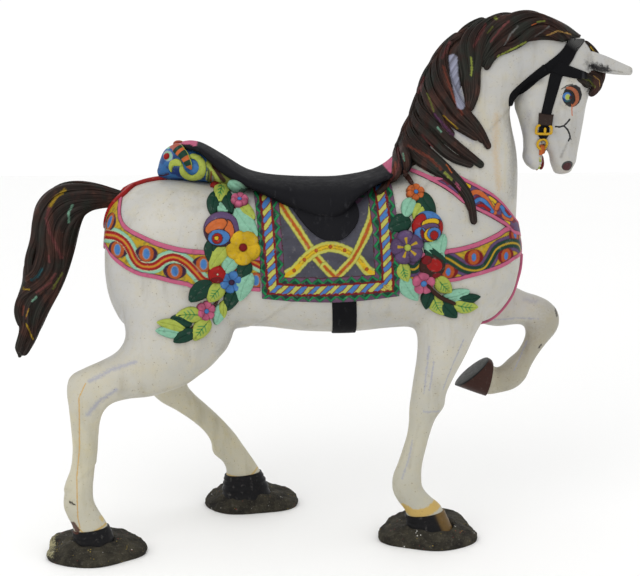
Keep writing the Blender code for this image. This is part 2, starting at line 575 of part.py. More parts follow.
def horn(side):
    """Ram's horn: a tapering tube on a flat spiral at the side of the ram's head."""
    count = 22
    rings = []
    for i in range(count):
        u = i / (count - 1)
        angle = math.pi * 0.75 - 2 * math.pi * HORN_TURNS * u
        radius = HORN_COIL_RADIUS * (1 - 0.72 * u)
        centre = np.array([HORN_CENTRE[0] + radius * math.cos(angle), side * (0.078 + 0.012 * u),
                           HORN_CENTRE[1] + radius * math.sin(angle)])
        outward = np.array([math.cos(angle), 0.0, math.sin(angle)])
        thick = HORN_THICKNESS * (1 - 0.45 * u)
        rings.append([centre + outward * thick * math.cos(a) + np.array([0.0, thick * math.sin(a), 0.0])
                      for a in np.linspace(0, 2 * math.pi, 8, endpoint=False)])
    return rings_to_mesh(np.array(rings))


def mirrored(rows):
    """The same rows on the other side of the mid plane."""
    return [row[:4] + (-row[4],) + row[5:] for row in rows]


def horse_meshes():
    """Every loft and relief of the carved horse, in the order they are laid on each other."""
    body = [
        loft(TRUNK_ROWS, sides=28, power=2.3, dome=0.1),
        loft(NECK_ROWS, sides=24, power=2.1, egg=0.12),
        loft(HEAD_ROWS, sides=20, power=2.3),
        loft(JAW_ROWS, sides=16, power=2.2),
        loft(HIND_RIGHT_ROWS, sides=18, dome=0.0),
        loft(HIND_LEFT_ROWS, sides=18, dome=0.0),
        loft(FORE_RIGHT_ROWS, sides=18, dome=0.0),
        loft(FORE_LEFT_ROWS, sides=18, dome=0.15),
        loft(EAR_ROWS, sides=12),
        loft(mirrored(EAR_ROWS), sides=12),
    ]
    skin = Surface(body)
    parts = []
    for side in (RIGHT, LEFT):
        parts.append(relief(skin, BREECHING_EDGES, HARNESS_LIFT, side, rows=20))
        parts.append(relief(skin, COLLAR_EDGES, HARNESS_LIFT, side, rows=16))
        parts.append(relief(skin, YOKE_EDGES, HARNESS_LIFT, side, rows=16))
        parts.append(relief(skin, CLOTH_EDGES, CLOTH_LIFT, side, rows=12, across=14, crown=24.0))
        parts.append(relief(skin, FLAP_EDGES, FLAP_LIFT, side, rows=12, across=10))
        parts.append(relief(skin, GIRTH_EDGES, HARNESS_LIFT, side, rows=6))
        for points, half in BRIDLE_STRAPS:
            parts.append(relief(skin, strap_edges(points, half), BRIDLE_LIFT, side, rows=8, across=5))
        parts.append(relief(skin, BUCKLE_EDGES, BUCKLE_LIFT, side, rows=3, across=4))
        parts.append(ring(skin, *BIT_RING, side))
        parts.append(ring(skin, *NOSTRIL_RIM, side))
        parts.append(eyeball(skin, *EYE, side))
        parts.append(horn(side))
    parts.append(loft(TAIL_ROWS, sides=36, steps=5, strands=TAIL_STRANDS, twist=TAIL_TWIST))
    parts.append(loft(SADDLE_ROWS, sides=28, power=2.6))
    parts.append(loft(CANTLE_ROWS, sides=20, power=2.4))
    parts.append(loft(RAM_HEAD_ROWS, sides=18))
    mane = loft(MANE_ROWS, sides=20)
    parts.append(mane)
    hair = Surface(body + [mane])
    parts += [lock(hair, points, half, RIGHT) for points, half in MANE_LOCKS]
    parts += [lock(hair, points, half, LEFT) for points, half in FAR_LOCKS]
    parts += [lock(hair, points, half, RIGHT, y=y) for points, half, y in FORELOCKS]
    parts += [leaf(skin, *place, RIGHT) for place in REAR_LEAVES + FRONT_LEAVES]
    parts += [flower(skin, *place, RIGHT) for place in REAR_FLOWERS + FRONT_FLOWERS]
    parts += [leaf(skin, *place, LEFT) for place in FAR_LEAVES]
    parts += [flower(skin, *place, LEFT) for place in FAR_FLOWERS]
    return body + parts


def strap_edges(points, half):
    """The two edges of a strap of even breadth along a line of points."""
    path = spline(points, 3)
    slope = np.gradient(path, axis=0)
    slope /= np.linalg.norm(slope, axis=1)[:, None]
    across = np.stack([-slope[:, 1], slope[:, 0]], axis=1) * half
    return path - across, path + across


def add_object(name, meshes, parent, material):
    """Closed bodies with outward faces, joined in one mesh object under the parent."""
    verts, faces = merge(meshes)
    mesh = bpy.data.meshes.new(name)
    mesh.from_pydata(verts, [], faces)
    work = bmesh.new()
    work.from_mesh(mesh)
    bmesh.ops.recalc_face_normals(work, faces=work.faces)
    work.to_mesh(mesh)
    work.free()
    thing = bpy.data.objects.new(name, mesh)
    thing.parent = parent
    mesh.materials.append(material)
    bpy.context.scene.collection.objects.link(thing)
    return thing


def add_sole_cutter(parent, material):
    """A block up to the pads' seats, which trims the three standing hooves flat."""
    low, high = SOLE_BLOCK
    block = box_mesh(low, high + (PAD_SEAT_Z + TOUCH_GAP,))
    cutter = add_object("sole_cutter", [block], parent, material)
    cutter.hide_render = True
    cutter.display_type = "WIRE"
    return cutter


def box_mesh(low, high):
    """Closed box between two corners."""
    verts = [(x, y, z) for x in (low[0], high[0]) for y in (low[1], high[1]) for z in (low[2], high[2])]
    faces = [(0, 1, 3, 2), (4, 6, 7, 5), (0, 4, 5, 1), (2, 3, 7, 6), (0, 2, 6, 4), (1, 5, 7, 3)]
    return verts, faces


def add_horse(parent, material):
    """The carved horse: its lofts fused by a remesh, thinned to facets and trimmed under the hooves."""
    horse = add_object("horse", horse_meshes(), parent, material)
    remesh = horse.modifiers.new("fuse", "REMESH")
    remesh.mode = "VOXEL"
    remesh.voxel_size = REMESH_VOXEL
    smooth = horse.modifiers.new("soften", "SMOOTH")
    smooth.factor = 0.5
    smooth.iterations = SMOOTH_ROUNDS
    thin = horse.modifiers.new("facet", "DECIMATE")
    thin.ratio = 1.0
    trim = horse.modifiers.new("soles", "BOOLEAN")
    trim.operation = "DIFFERENCE"
    trim.solver = "EXACT"
    trim.object = add_sole_cutter(parent, material)
    thin.ratio = facet_ratio(horse, thin, trim)
    return horse


def facet_ratio(horse, thin, trim):
    """Share of the fused mesh's triangles that leaves HORSE_TRIANGLES."""
    thin.show_viewport = trim.show_viewport = False
    graph = bpy.context.evaluated_depsgraph_get()
    fused = horse.evaluated_get(graph).to_mesh()
    fused.calc_loop_triangles()
    ratio = HORSE_TRIANGLES / len(fused.loop_triangles)
    thin.show_viewport = trim.show_viewport = True
    return ratio


def pad_mesh(centre, radii, hoof, hoof_radii, edge, mound, seed):
    """Lumpy pad: a flat seat for the hoof, a mound close round it, then a fall to a thin edge.

    Each ring's radius wavers by PAD_LUMPS x two sines whose phases come from the seed, and the side
    that faces +Y stands higher by PAD_BACK_RISE.
    """
    angle = np.linspace(0.0, 2 * math.pi, PAD_RAYS, endpoint=False)
    waver = 1 + PAD_LUMPS * (np.sin(3 * angle + seed) + 0.6 * np.sin(5 * angle + 2.3 * seed))
    unit = np.stack([np.cos(angle), np.sin(angle)], axis=1)
    rim = np.array(centre) + np.array(radii) * unit * waver[:, None]
    wall = np.array(hoof) + np.array(hoof_radii) * unit
    lumps = 1 + 0.25 * np.sin(2 * angle + 1.7 * seed) + 0.15 * np.sin(7 * angle + seed)
    rise = PAD_BACK_RISE * np.clip(np.sin(angle), 0.0, 1.0)
    rings = [
        (rim, 0.0 * angle),
        (rim, edge * (0.85 + 0.15 * lumps) + rise),
        (wall + (rim - wall) * 0.45, edge + (mound - edge) * 0.45 * lumps + rise),
        (wall + (rim - wall) * 0.12, mound * (0.75 + 0.25 * lumps)),
        (wall, PAD_SEAT_Z + 0.0 * angle),
    ]
    return rings_to_mesh(np.stack([np.column_stack([flat, height]) for flat, height in rings]))


def build():
    """The whole part under one empty that sets its mid plane."""
    clear_scene()
    root = bpy.data.objects.new("carousel_horse", None)
    root.location = (0.0, MID_PLANE_Y, 0.0)
    bpy.context.scene.collection.objects.link(root)
    add_horse(root, make_material("carved_horse", *COLOURS["horse"]))
    for name, sizes in PADS.items():
        add_object(name, [pad_mesh(*sizes)], root, make_material(name, *COLOURS["pad"]))
    bpy.context.view_layer.update()


build()
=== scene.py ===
"""Looks of a carved and painted carousel horse that stands on three rough pads.

The horse is carved wood under hand-laid paint. Each sub-assembly below is a class that works its
meshes out as numpy grids, and each finish is a small frozen class that builds a node material.

Places are metres on the horse's own mid plane: +X to the head, +Z up, and the side of the horse that
is turned to the viewer is its right, at -Y.
"""
import json
import logging
import math
from dataclasses import dataclass
from enum import Enum

import bpy
import numpy as np
from mathutils import Matrix, Vector


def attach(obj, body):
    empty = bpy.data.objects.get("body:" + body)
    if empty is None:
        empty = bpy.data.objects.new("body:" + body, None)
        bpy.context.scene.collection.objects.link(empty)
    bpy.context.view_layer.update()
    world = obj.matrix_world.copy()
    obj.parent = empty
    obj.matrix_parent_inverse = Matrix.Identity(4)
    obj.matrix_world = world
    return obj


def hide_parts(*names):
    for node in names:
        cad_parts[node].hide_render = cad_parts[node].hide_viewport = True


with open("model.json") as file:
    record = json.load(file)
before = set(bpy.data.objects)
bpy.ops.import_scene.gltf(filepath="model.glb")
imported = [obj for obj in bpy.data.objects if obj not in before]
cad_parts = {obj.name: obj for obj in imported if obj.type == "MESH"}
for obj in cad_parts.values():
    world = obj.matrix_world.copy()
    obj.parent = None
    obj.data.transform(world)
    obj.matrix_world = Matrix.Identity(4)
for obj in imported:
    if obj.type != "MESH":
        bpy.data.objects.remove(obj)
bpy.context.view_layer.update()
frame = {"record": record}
BODY = "root"
PAD_MOUNT = "pad_fore_right_underside"
PAD_MOUNT_FROM_MID_PLANE = -0.072

log = logging.getLogger("carousel_horse")
Points = list[tuple[float, ...]]
Array = np.ndarray
Material = bpy.types.Material
Socket = bpy.types.NodeSocket


class Side(Enum):
    """The two sides of the horse, with the sign of Y that each lies at."""

    RIGHT = -1
    LEFT = 1

    @property
    def word(self) -> str:
        """The side as it ends a piece's name."""
        return self.name.lower()


class Pot(Enum):
    """The painter's colours, as display values from 0 to 255."""

    WHITE = (206, 203, 194)
    CREAM = (205, 196, 168)
    BLUE_GREY = (160, 163, 184)
    SHADOW = (150, 147, 140)
    PINK = (196, 98, 130)
    RED = (158, 28, 26)
    CRIMSON = (118, 22, 28)
    ORANGE = (200, 104, 52)
    RUST = (176, 62, 30)
    BLUE = (72, 124, 186)
    DEEP_BLUE = (38, 62, 118)
    YELLOW = (214, 176, 34)
    MUSTARD = (190, 156, 38)
    LIME = (172, 186, 82)
    ROPE_YELLOW = (192, 192, 92)
    DARK_GREEN = (24, 62, 48)
    GREEN = (30, 132, 78)
    MINT = (142, 196, 168)
    PURPLE = (96, 74, 112)
    PLUM = (58, 34, 58)
    MAUVE = (104, 76, 100)
    CLOTH_GREY = (76, 76, 86)
    BLACK = (24, 24, 26)
    CHARCOAL = (32, 32, 35)
    BROWN = (62, 40, 34)
    BARK = (58, 34, 28)
    HAIR = (54, 42, 37)
    DUSTY_ROSE = (128, 66, 64)
    GOLD = (214, 170, 40)
    OCHRE = (206, 164, 92)
    IVORY = (214, 206, 160)
    GREY = (120, 120, 118)
    TEAL = (40, 92, 100)
    OLIVE = (112, 118, 52)
    MAROON = (72, 26, 30)
    SOLE = (36, 39, 34)
    CORONET = (204, 172, 98)
    HOOF_BROWN = (66, 42, 36)
    RUST_BROWN = (84, 50, 40)
    CHIP = (52, 44, 38)
    FAR_LEG_SHADE = (150, 140, 108)
    LID = (170, 100, 70)
    BEAD = (175, 85, 35)
    RAM_BLUE = (58, 108, 164)
    SALMON = (176, 92, 74)
    TOE_GOLD = (118, 92, 50)
    STREAK_ROSE = (118, 66, 66)
    STREAK_RUST = (136, 70, 54)
    STREAK_PURPLE = (104, 60, 100)

    @property
    def rgb(self) -> Array:
        """The colour in linear light, a little deeper than shown, as the bright surround lifts it."""
        share = np.array(self.value, float) / 255.0
        return 0.77 * np.where(share <= 0.04045, share / 12.92, ((share + 0.055) / 1.055) ** 2.4)


def mid_plane() -> float:
    """World Y of the horse's mid plane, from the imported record's mount under the near fore pad."""
    mounts = {mount["name"]: mount for mount in frame["record"]["mounts"]}
    return mounts[PAD_MOUNT]["pos_m"][1] - PAD_MOUNT_FROM_MID_PLANE


MID_Y = mid_plane()


# ---------------------------------------------------------------- curves and waves


def curve(points: Points | Array, count: int) -> Array:
    """Catmull-Rom curve through points, at equal steps of its parameter.

    Args:
        points: rows of the same length, in order along the curve.
        count: number of rows wanted.

    Returns:
        Array of count rows.
    """
    rows = np.asarray(points, float)
    padded = np.vstack([2 * rows[0] - rows[1], rows, 2 * rows[-1] - rows[-2]])
    place = np.linspace(0.0, len(rows) - 1.0, count)
    step = np.minimum(place.astype(int), len(rows) - 2)
    t = (place - step)[:, None]
    a, b, c, d = (padded[step + i] for i in range(4))
    return 0.5 * (2 * b + (c - a) * t + (2 * a - 5 * b + 4 * c - d) * t**2 + (3 * b - a - 3 * c + d) * t**3)


def even(points: Points | Array, count: int) -> Array:
    """The same curve with its points at equal distances along it.

    Args:
        points: rows in order along the curve.
        count: number of rows wanted.

    Returns:
        Array of count rows.
    """
    fine = curve(points, 16 * len(points))
    reach = np.concatenate([[0.0], np.cumsum(np.linalg.norm(np.diff(fine, axis=0), axis=1))])
    wanted = np.linspace(0.0, reach[-1], count)
    return np.stack([np.interp(wanted, reach, column) for column in fine.T], axis=1)


def smooth_step(value: Array) -> Array:
    """3 t^2 - 2 t^3 of the value held between 0 and 1."""
    t = np.clip(value, 0.0, 1.0)
    return t * t * (3 - 2 * t)


def waver(places: Array, wavelength: float, seed: float) -> Array:
    """Gentle irregular wave over places: the mean of five sines in fixed, uneven directions.

    Args:
        places: array of rows (x, z) or (x, y, z).
        wavelength: length of the longest wave, in metres.
        seed: shifts every phase.

    Returns:
        One value from about -1 to 1 for each row.
    """
    total = np.zeros(len(places))
    for i in range(5):
        turn = 2.4 * i + seed
        way = np.array([math.cos(turn), math.sin(turn), math.sin(1.7 * turn + 0.6)])[: places.shape[1]]
        total += np.sin(places @ way * 2 * math.pi * (1 + 0.43 * i) / wavelength + 3.1 * seed + 1.9 * i)
    return total / 2.6


def near_line(places: Array, points: Points | Array) -> tuple[Array, Array]:
    """Distance from each place to a chain of straight runs, and how far along the chain that is.

    Args:
        places: array of rows (x, z) or (x, y, z).
        points: corners of the chain, in the same coordinates.

    Returns:
        Distances, and lengths along the chain, both in metres.
    """
    corners = np.asarray(points, float)
    nearest = np.full(len(places), np.inf)
    along = np.zeros(len(places))
    start = 0.0
    for a, b in zip(corners[:-1], corners[1:]):
        run = b - a
        length = float(np.linalg.norm(run))
        share = np.clip((places - a) @ run / max(length**2, 1e-12), 0.0, 1.0)
        distance = np.linalg.norm(places - a - share[:, None] * run, axis=1)
        closer = distance < nearest
        nearest = np.where(closer, distance, nearest)
        along = np.where(closer, start + share * length, along)
        start += length
    return nearest, along


# ---------------------------------------------------------------- solids


@dataclass
class Solid:
    """Points, faces and paint of a closed body, before it becomes an object.

    quad_uv and tri_uv hold a place on the body's own map for every corner of every face.
    """

    points: Array
    quads: Array
    tris: Array
    quad_uv: Array
    tri_uv: Array
    paint: Array

    def outward(self) -> "Solid":
        """Turn every face over if the body's signed volume is negative."""
        halves = np.concatenate([self.tris, self.quads[:, [0, 1, 2]], self.quads[:, [0, 2, 3]]])
        a, b, c = (self.points[halves[:, i]] for i in range(3))
        if np.einsum("ij,ij->", a, np.cross(b, c)) < 0:
            self.quads, self.quad_uv = self.quads[:, ::-1], self.quad_uv[:, ::-1]
            self.tris, self.tri_uv = self.tris[:, ::-1], self.tri_uv[:, ::-1]
        return self

    def painted(self, colour: Array) -> "Solid":
        """The same body in one colour, or in one colour for each of its points."""
        self.paint = np.broadcast_to(colour, self.points.shape).copy()
        return self


def join(solids: list[Solid]) -> Solid:
    """One Solid that holds several, each still closed."""
    starts = np.cumsum([0] + [len(solid.points) for solid in solids[:-1]])
    return Solid(
        np.concatenate([solid.points for solid in solids]),
        np.concatenate([solid.quads + start for solid, start in zip(solids, starts)]),
        np.concatenate([solid.tris + start for solid, start in zip(solids, starts)]),
        np.concatenate([solid.quad_uv for solid in solids]),
        np.concatenate([solid.tri_uv for solid in solids]),
        np.concatenate([solid.paint for solid in solids]),
    )


def tube(rings: Array) -> Solid:
    """Skin over a stack of equal rings, with a fan to each end ring's middle.

    Args:
        rings: array (ring, side, 3).

    Returns:
        Closed Solid. Its map runs 0 to 1 along the stack and 0 to 1 round each ring.
    """
    count, sides, _ = rings.shape
    i, j = np.meshgrid(np.arange(count - 1), np.arange(sides), indexing="ij")
    i, j = i.ravel(), j.ravel()
    k = (j + 1) % sides
    quads = np.stack([i * sides + j, i * sides + k, (i + 1) * sides + k, (i + 1) * sides + j], axis=1)
    u0, u1, v0, v1 = i / (count - 1), (i + 1) / (count - 1), j / sides, (j + 1) / sides
    quad_uv = np.stack([np.stack(pair, axis=1) for pair in ((u0, v0), (u0, v1), (u1, v1), (u1, v0))], axis=1)
    side = np.arange(sides)
    after = (side + 1) % sides
    first, last = np.full(sides, count * sides), np.full(sides, count * sides + 1)
    end = (count - 1) * sides
    tris = np.concatenate([np.stack([first, after, side], axis=1),
                           np.stack([last, end + side, end + after], axis=1)])
    share = np.stack([side / sides, (side + 1) / sides], axis=1)
    low = np.stack([np.full(sides, 0.0), share.mean(axis=1)], axis=1)
    tri_uv = np.concatenate([
        np.stack([low, np.stack([0 * side, share[:, 1]], 1), np.stack([0 * side, share[:, 0]], 1)], axis=1),
        np.stack([low + [1.0, 0.0], np.stack([0 * side + 1, share[:, 0]], 1),
                  np.stack([0 * side + 1, share[:, 1]], 1)], axis=1),
    ])
    points = np.concatenate([rings.reshape(-1, 3), rings[:1].mean(axis=1), rings[-1:].mean(axis=1)])
    return Solid(points, quads, tris, quad_uv, tri_uv, np.ones_like(points)).outward()


def slab(top: Array, inward: Array, paint: Array) -> Solid:
    """Closed sheet: a grid of points on top, a wall down from its border, and strips across below.

    Args:
        top: array (row, column, 3) of the upper surface.
        inward: array (row, column, 3), the step from each upper point to the one below it.
        paint: array (row, column, 3) of colours.

    Returns:
        Closed Solid whose map runs 0 to 1 across the columns and 0 to 1 down the rows.
    """
    rows, cols, _ = top.shape
    index = np.arange(rows * cols).reshape(rows, cols)
    quads = [np.stack([index[:-1, :-1], index[:-1, 1:], index[1:, 1:], index[1:, :-1]], -1).reshape(-1, 4)]
    loop = np.concatenate([index[0, :], index[1:, -1], index[-1, -2::-1], index[-2:0:-1, 0]])
    low = rows * cols + np.arange(len(loop))
    after, low_after = np.roll(loop, -1), np.roll(low, -1)
    quads.append(np.stack([after, loop, low, low_after], axis=1))
    right = low[cols - 1: cols + rows - 1]
    left = np.concatenate([low[:1], low[2 * cols + rows - 3:][::-1]])
    quads.append(np.stack([right[:-1], left[:-1], left[1:], right[1:]], axis=1))
    head = low[:cols]
    foot = low[cols + rows - 2: 2 * cols + rows - 2][::-1]
    j = np.arange(1, cols - 1)
    tris = np.concatenate([np.stack([np.full(len(j), head[0]), head[j + 1], head[j]], axis=1),
                           np.stack([np.full(len(j), foot[0]), foot[j], foot[j + 1]], axis=1)])
    flat_top, flat_in = top.reshape(-1, 3), inward.reshape(-1, 3)
    points = np.concatenate([flat_top, flat_top[loop] + flat_in[loop]])
    v, u = np.meshgrid(np.linspace(0, 1, rows), np.linspace(0, 1, cols), indexing="ij")
    place = np.stack([u.ravel(), v.ravel()], axis=1)
    place = np.concatenate([place, place[loop]])
    faces = np.concatenate(quads)
    # The wall's foot and the underside take the border colour at 0.55: painted shade where the sheet meets
    # what it lies on.
    colours = np.concatenate([paint.reshape(-1, 3), paint.reshape(-1, 3)[loop] * 0.55])
    return Solid(points, faces, tris, place[faces], place[tris], colours).outward()


def mesh_of(name: str, solid: Solid) -> bpy.types.Mesh:
    """Blender mesh of a Solid, with its map and its Paint attribute."""
    mesh = bpy.data.meshes.new(name)
    corners = np.concatenate([solid.quads.ravel(), solid.tris.ravel()])
    sizes = np.concatenate([np.full(len(solid.quads), 4), np.full(len(solid.tris), 3)])
    mesh.vertices.add(len(solid.points))
    mesh.vertices.foreach_set("co", solid.points.astype(np.float32).ravel())
    mesh.loops.add(len(corners))
    mesh.loops.foreach_set("vertex_index", corners.astype(np.int32))
    mesh.polygons.add(len(sizes))
    mesh.polygons.foreach_set("loop_start", np.concatenate([[0], np.cumsum(sizes)[:-1]]).astype(np.int32))
    mesh.polygons.foreach_set("loop_total", sizes.astype(np.int32))
    layer = mesh.uv_layers.new(name="Map")
    places = np.concatenate([solid.quad_uv.ravel(), solid.tri_uv.ravel()])
    layer.data.foreach_set("uv", places.astype(np.float32))
    set_paint(mesh, solid.paint)
    mesh.update(calc_edges=True)
    mesh.validate()
    return mesh


def set_paint(mesh: bpy.types.Mesh, colours: Array) -> None:
    """Store one linear colour for each point in the mesh's Paint attribute."""
    layer = mesh.color_attributes.get("Paint") or mesh.color_attributes.new("Paint", "FLOAT_COLOR", "POINT")
    full = np.concatenate([colours, np.ones((len(colours), 1))], axis=1)
    layer.data.foreach_set("color", full.astype(np.float32).ravel())


def set_value(mesh: bpy.types.Mesh, name: str, values: Array) -> None:
    """Store one number for each point in a named attribute of the mesh."""
    layer = mesh.attributes.get(name) or mesh.attributes.new(name, "FLOAT", "POINT")
    layer.data.foreach_set("value", values.astype(np.float32))


def place_mesh(mesh: bpy.types.Mesh, name: str, material: Material,
               sharp: float = 50.0) -> bpy.types.Object:
    """Put a finished mesh in the scene as a piece of the horse.

    Args:
        mesh: the mesh, in the horse's own coordinates.
        name: the piece's name.
        material: its finish.
        sharp: angle in degrees past which an edge is drawn sharp.

    Returns:
        The piece, which rides on the one body.
    """
    mesh.transform(Matrix.Translation((0.0, MID_Y, 0.0)))
    mesh.shade_smooth()
    mesh.set_sharp_from_angle(angle=math.radians(sharp))
    mesh.materials.clear()
    mesh.materials.append(material)
    piece = bpy.data.objects.new(name, mesh)
    bpy.context.scene.collection.objects.link(piece)
    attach(piece, BODY)
    log.info("%s: %d faces", name, len(mesh.polygons))
    return piece


def add_piece(name: str, solids: list[Solid], material: Material,
              sharp: float = 50.0) -> bpy.types.Object:
    """Join solids into one piece of the horse. Arguments as for place_mesh."""
    return place_mesh(mesh_of(name, join(solids)), name, material, sharp)


def thin(piece: bpy.types.Object, share: float) -> None:
    """Merge a piece's smallest and flattest faces until only a share of them is left."""
    thinner = piece.modifiers.new("thin", "DECIMATE")
    thinner.ratio = share


def loft(rows: Points, sides: int = 24, steps: int = 8, power: float = 2.0, egg: float = 0.0,
         dome: float = 0.5, swell: float = 0.0) -> Array:
    """Rings through the rows: superelliptic sections, domed at both ends.

    A row is (front x, front z, back x, back z, y, half breadth). A section's point at angle a is its
    middle + half its depth x cos(a)^(2/power) + half its breadth x sin(a)^(2/power) x (1 + egg cos(a)).

    Args:
        rows: one row for each section.
        sides: points round a ring.
        steps: rings for each row.
        power: 2 for an ellipse, more for a squarer section.
        egg: share by which the front is broader than the back.
        dome: height of the end domes, as a share of the end section.
        swell: metres by which every section grows outwards.

    Returns:
        Array (ring, side, 3).
    """
    dense = curve(rows, steps * (len(rows) - 1) + 1)
    angle = np.linspace(0.0, 2 * math.pi, sides, endpoint=False)
    cosine = np.sign(np.cos(angle)) * np.abs(np.cos(angle)) ** (2 / power)
    sine = np.sign(np.sin(angle)) * np.abs(np.sin(angle)) ** (2 / power)
    front, back = dense[:, [0, 4, 1]], dense[:, [2, 4, 3]]
    middle, half = (front + back) / 2, (front - back) / 2
    depth = np.linalg.norm(half, axis=1, keepdims=True)
    half = half * (1 + swell / np.maximum(depth, 1e-6))
    rings = middle[:, None, :] + half[:, None, :] * cosine[None, :, None]
    rings[:, :, 1] += (dense[:, 5:6] + swell) * sine * (1 + egg * cosine)
    caps = []
    share = np.array([0.3, 0.55, 0.75, 0.9, 0.98])
    for end, inner in ((0, 1), (-1, -2)):
        outward = middle[end] - middle[inner]
        outward = outward / max(float(np.linalg.norm(outward)), 1e-9)
        reach = dome * min(float(depth[end, 0]), dense[end, 5])
        shrunk = (rings[end] - middle[end])[None] * np.sqrt(1 - share**2)[:, None, None]
        caps.append(middle[end] + shrunk + outward * (reach * share)[:, None, None])
    return np.concatenate([caps[0][::-1], rings, caps[1]])


def mirrored(rows: Points) -> Points:
    """The same loft rows on the other side of the mid plane."""
    return [row[:4] + (-row[4],) + row[5:] for row in rows]


def rod(path: Array, across: Array, up: Array, breadth: Array, height: Array, sides: int = 12,
        ribs: int = 0, rib_depth: float = 0.0, turn: float = 0.0) -> Solid:
    """Tapered rod along a path, with ribs that run along it.

    A ring's point at angle a is path + breadth cos(a) across + height sin(a) up, and the ring's size is
    less by rib_depth x |sin(ribs a / 2 + turn along)|^8, which leaves grooves.

    Args:
        path: array (n, 3).
        across: unit vectors (n, 3) across the rod.
        up: unit vectors (n, 3) out of the surface it lies on.
        breadth: half breadth for each point of the path.
        height: half height for each point of the path.
        sides: points round a ring.
        ribs: number of ribs round it.
        rib_depth: depth of a groove as a share of the radius.
        turn: radians by which the ribs turn from one end to the other.

    Returns:
        Closed Solid with its map along (u) and round (v) the rod.
    """
    angle = np.linspace(0.0, 2 * math.pi, sides, endpoint=False)
    along = np.linspace(0.0, 1.0, len(path))[:, None]
    size = 1 - rib_depth * np.abs(np.cos(ribs * angle[None, :] / 2 + turn * along)) ** 8 if ribs else 1.0
    flat = breadth[:, None] * np.cos(angle)[None, :] * size
    tall = height[:, None] * np.sin(angle)[None, :] * size
    rings = path[:, None, :] + flat[:, :, None] * across[:, None, :] + tall[:, :, None] * up[:, None, :]
    return tube(rings)


def fused(name: str, solids: list[Solid], voxel: float) -> tuple[Array, Array]:
    """Points and quads of one skin round several closed bodies.

    Args:
        name: name for the working object.
        solids: the closed bodies, which may run into each other.
        voxel: size of the new faces, in metres.

    Returns:
        Points (n, 3) and quads (m, 4).
    """
    thing = bpy.data.objects.new(name, mesh_of(name, join(solids)))
    bpy.context.scene.collection.objects.link(thing)
    remesh = thing.modifiers.new("fuse", "REMESH")
    remesh.mode = "VOXEL"
    remesh.voxel_size = voxel
    finished = thing.evaluated_get(bpy.context.evaluated_depsgraph_get()).to_mesh()
    points = np.empty(3 * len(finished.vertices), np.float32)
    finished.vertices.foreach_get("co", points)
    corners = np.empty(len(finished.loops), np.int32)
    finished.loops.foreach_get("vertex_index", corners)
    old = thing.data
    bpy.data.objects.remove(thing, do_unlink=True)
    bpy.data.meshes.remove(old)
    return points.reshape(-1, 3).astype(float), corners.reshape(-1, 4)


class Skin:
    """A closed surface of quads whose points are moved in bulk."""

    def __init__(self, points: Array, quads: Array) -> None:
        """Keep the points and find which of them are neighbours.

        Args:
            points: array (n, 3).
            quads: array (m, 4).
        """
        self.points, self.quads = points, quads
        pairs = np.concatenate([quads[:, [i, (i + 1) % 4]] for i in range(4)]).astype(np.int64)
        pairs.sort(axis=1)
        code = np.unique(pairs[:, 0] * len(points) + pairs[:, 1])
        self.first, self.second = code // len(points), code % len(points)
        self.ends = np.concatenate([self.first, self.second])
        self.others = np.concatenate([self.second, self.first])
        self.count = np.maximum(np.bincount(self.ends, minlength=len(points)), 1)

    def mean_of_neighbours(self, values: Array) -> Array:
        """Mean of a value, or of each column of values, over every point's neighbours."""
        columns = values.reshape(len(self.points), -1)
        sums = [np.bincount(self.ends, weights=column[self.others], minlength=len(columns))
                for column in columns.T]
        return (np.stack(sums, axis=1) / self.count[:, None]).reshape(values.shape)

    def normals(self) -> Array:
        """Outward unit normal at each point, from the cross products of each quad's diagonals."""
        a, b, c, d = (self.points[self.quads[:, i]] for i in range(4))
        face = np.cross(c - a, d - b)
        sums = [np.bincount(self.quads.ravel(), weights=np.repeat(face[:, i], 4), minlength=len(self.points))
                for i in range(3)]
        total = np.stack(sums, axis=1)
        return total / np.maximum(np.linalg.norm(total, axis=1, keepdims=True), 1e-12)

    def smooth(self, rounds: int, share: float = 0.5, mask: Array | float = 1.0) -> None:
        """Move each point that share of the way to its neighbours' mean, for some rounds, in the mask."""
        weight = share * (mask[:, None] if isinstance(mask, Array) else mask)
        for _ in range(rounds):
            self.points += weight * (self.mean_of_neighbours(self.points) - self.points)

    def fill(self, rounds: int, mask: Array) -> None:
        """Fill inner corners: a point moves outwards by how far its neighbours' mean stands off it."""
        for _ in range(rounds):
            pull = self.mean_of_neighbours(self.points) - self.points
            normal = self.normals()
            rise = np.einsum("ij,ij->i", pull, normal)
            self.points += (np.clip(rise, 0.0, None) * mask)[:, None] * normal + 0.15 * mask[:, None] * pull

    def hollows(self, rounds: int = 3) -> Array:
        """0 on open surface to 1 deep in a crease, from how far neighbours stand off, evened out."""
        pull = self.mean_of_neighbours(self.points) - self.points
        step = np.linalg.norm(self.points[self.first] - self.points[self.second], axis=1).mean()
        depth = np.einsum("ij,ij->i", pull, self.normals()) / step
        for _ in range(rounds):
            depth = 0.5 * depth + 0.5 * self.mean_of_neighbours(depth)
        return np.clip(depth * 7.0, -1.0, 1.0)

    def carve(self, line: Points, width: float, depth: float, side: Side | None = None) -> None:
        """Press a rounded furrow along a line seen from the side; a negative depth raises a ridge.

        The depth is depth x exp(-(distance / width)^2), along the normal, on what faces that side.

        Args:
            line: points (x, z).
            width: distance at which the furrow has died away to a third, in metres.
            depth: depth at its middle, in metres.
            side: the side of the horse, or None for both.
        """
        normal = self.normals()
        distance, _ = near_line(self.points[:, [0, 2]], line)
        facing = np.abs(normal[:, 1]) if side is None else side.value * normal[:, 1]
        press = depth * np.exp(-(distance / width) ** 2) * smooth_step(facing * 1.6)
        self.points -= press[:, None] * normal

    def solid(self) -> Solid:
        """The surface as a Solid, with a flat side-view map and white paint."""
        place = self.points[:, [0, 2]]
        none = np.empty((0, 3), int)
        return Solid(self.points, self.quads, none, place[self.quads], np.empty((0, 3, 2)),
                     np.ones_like(self.points)).outward()


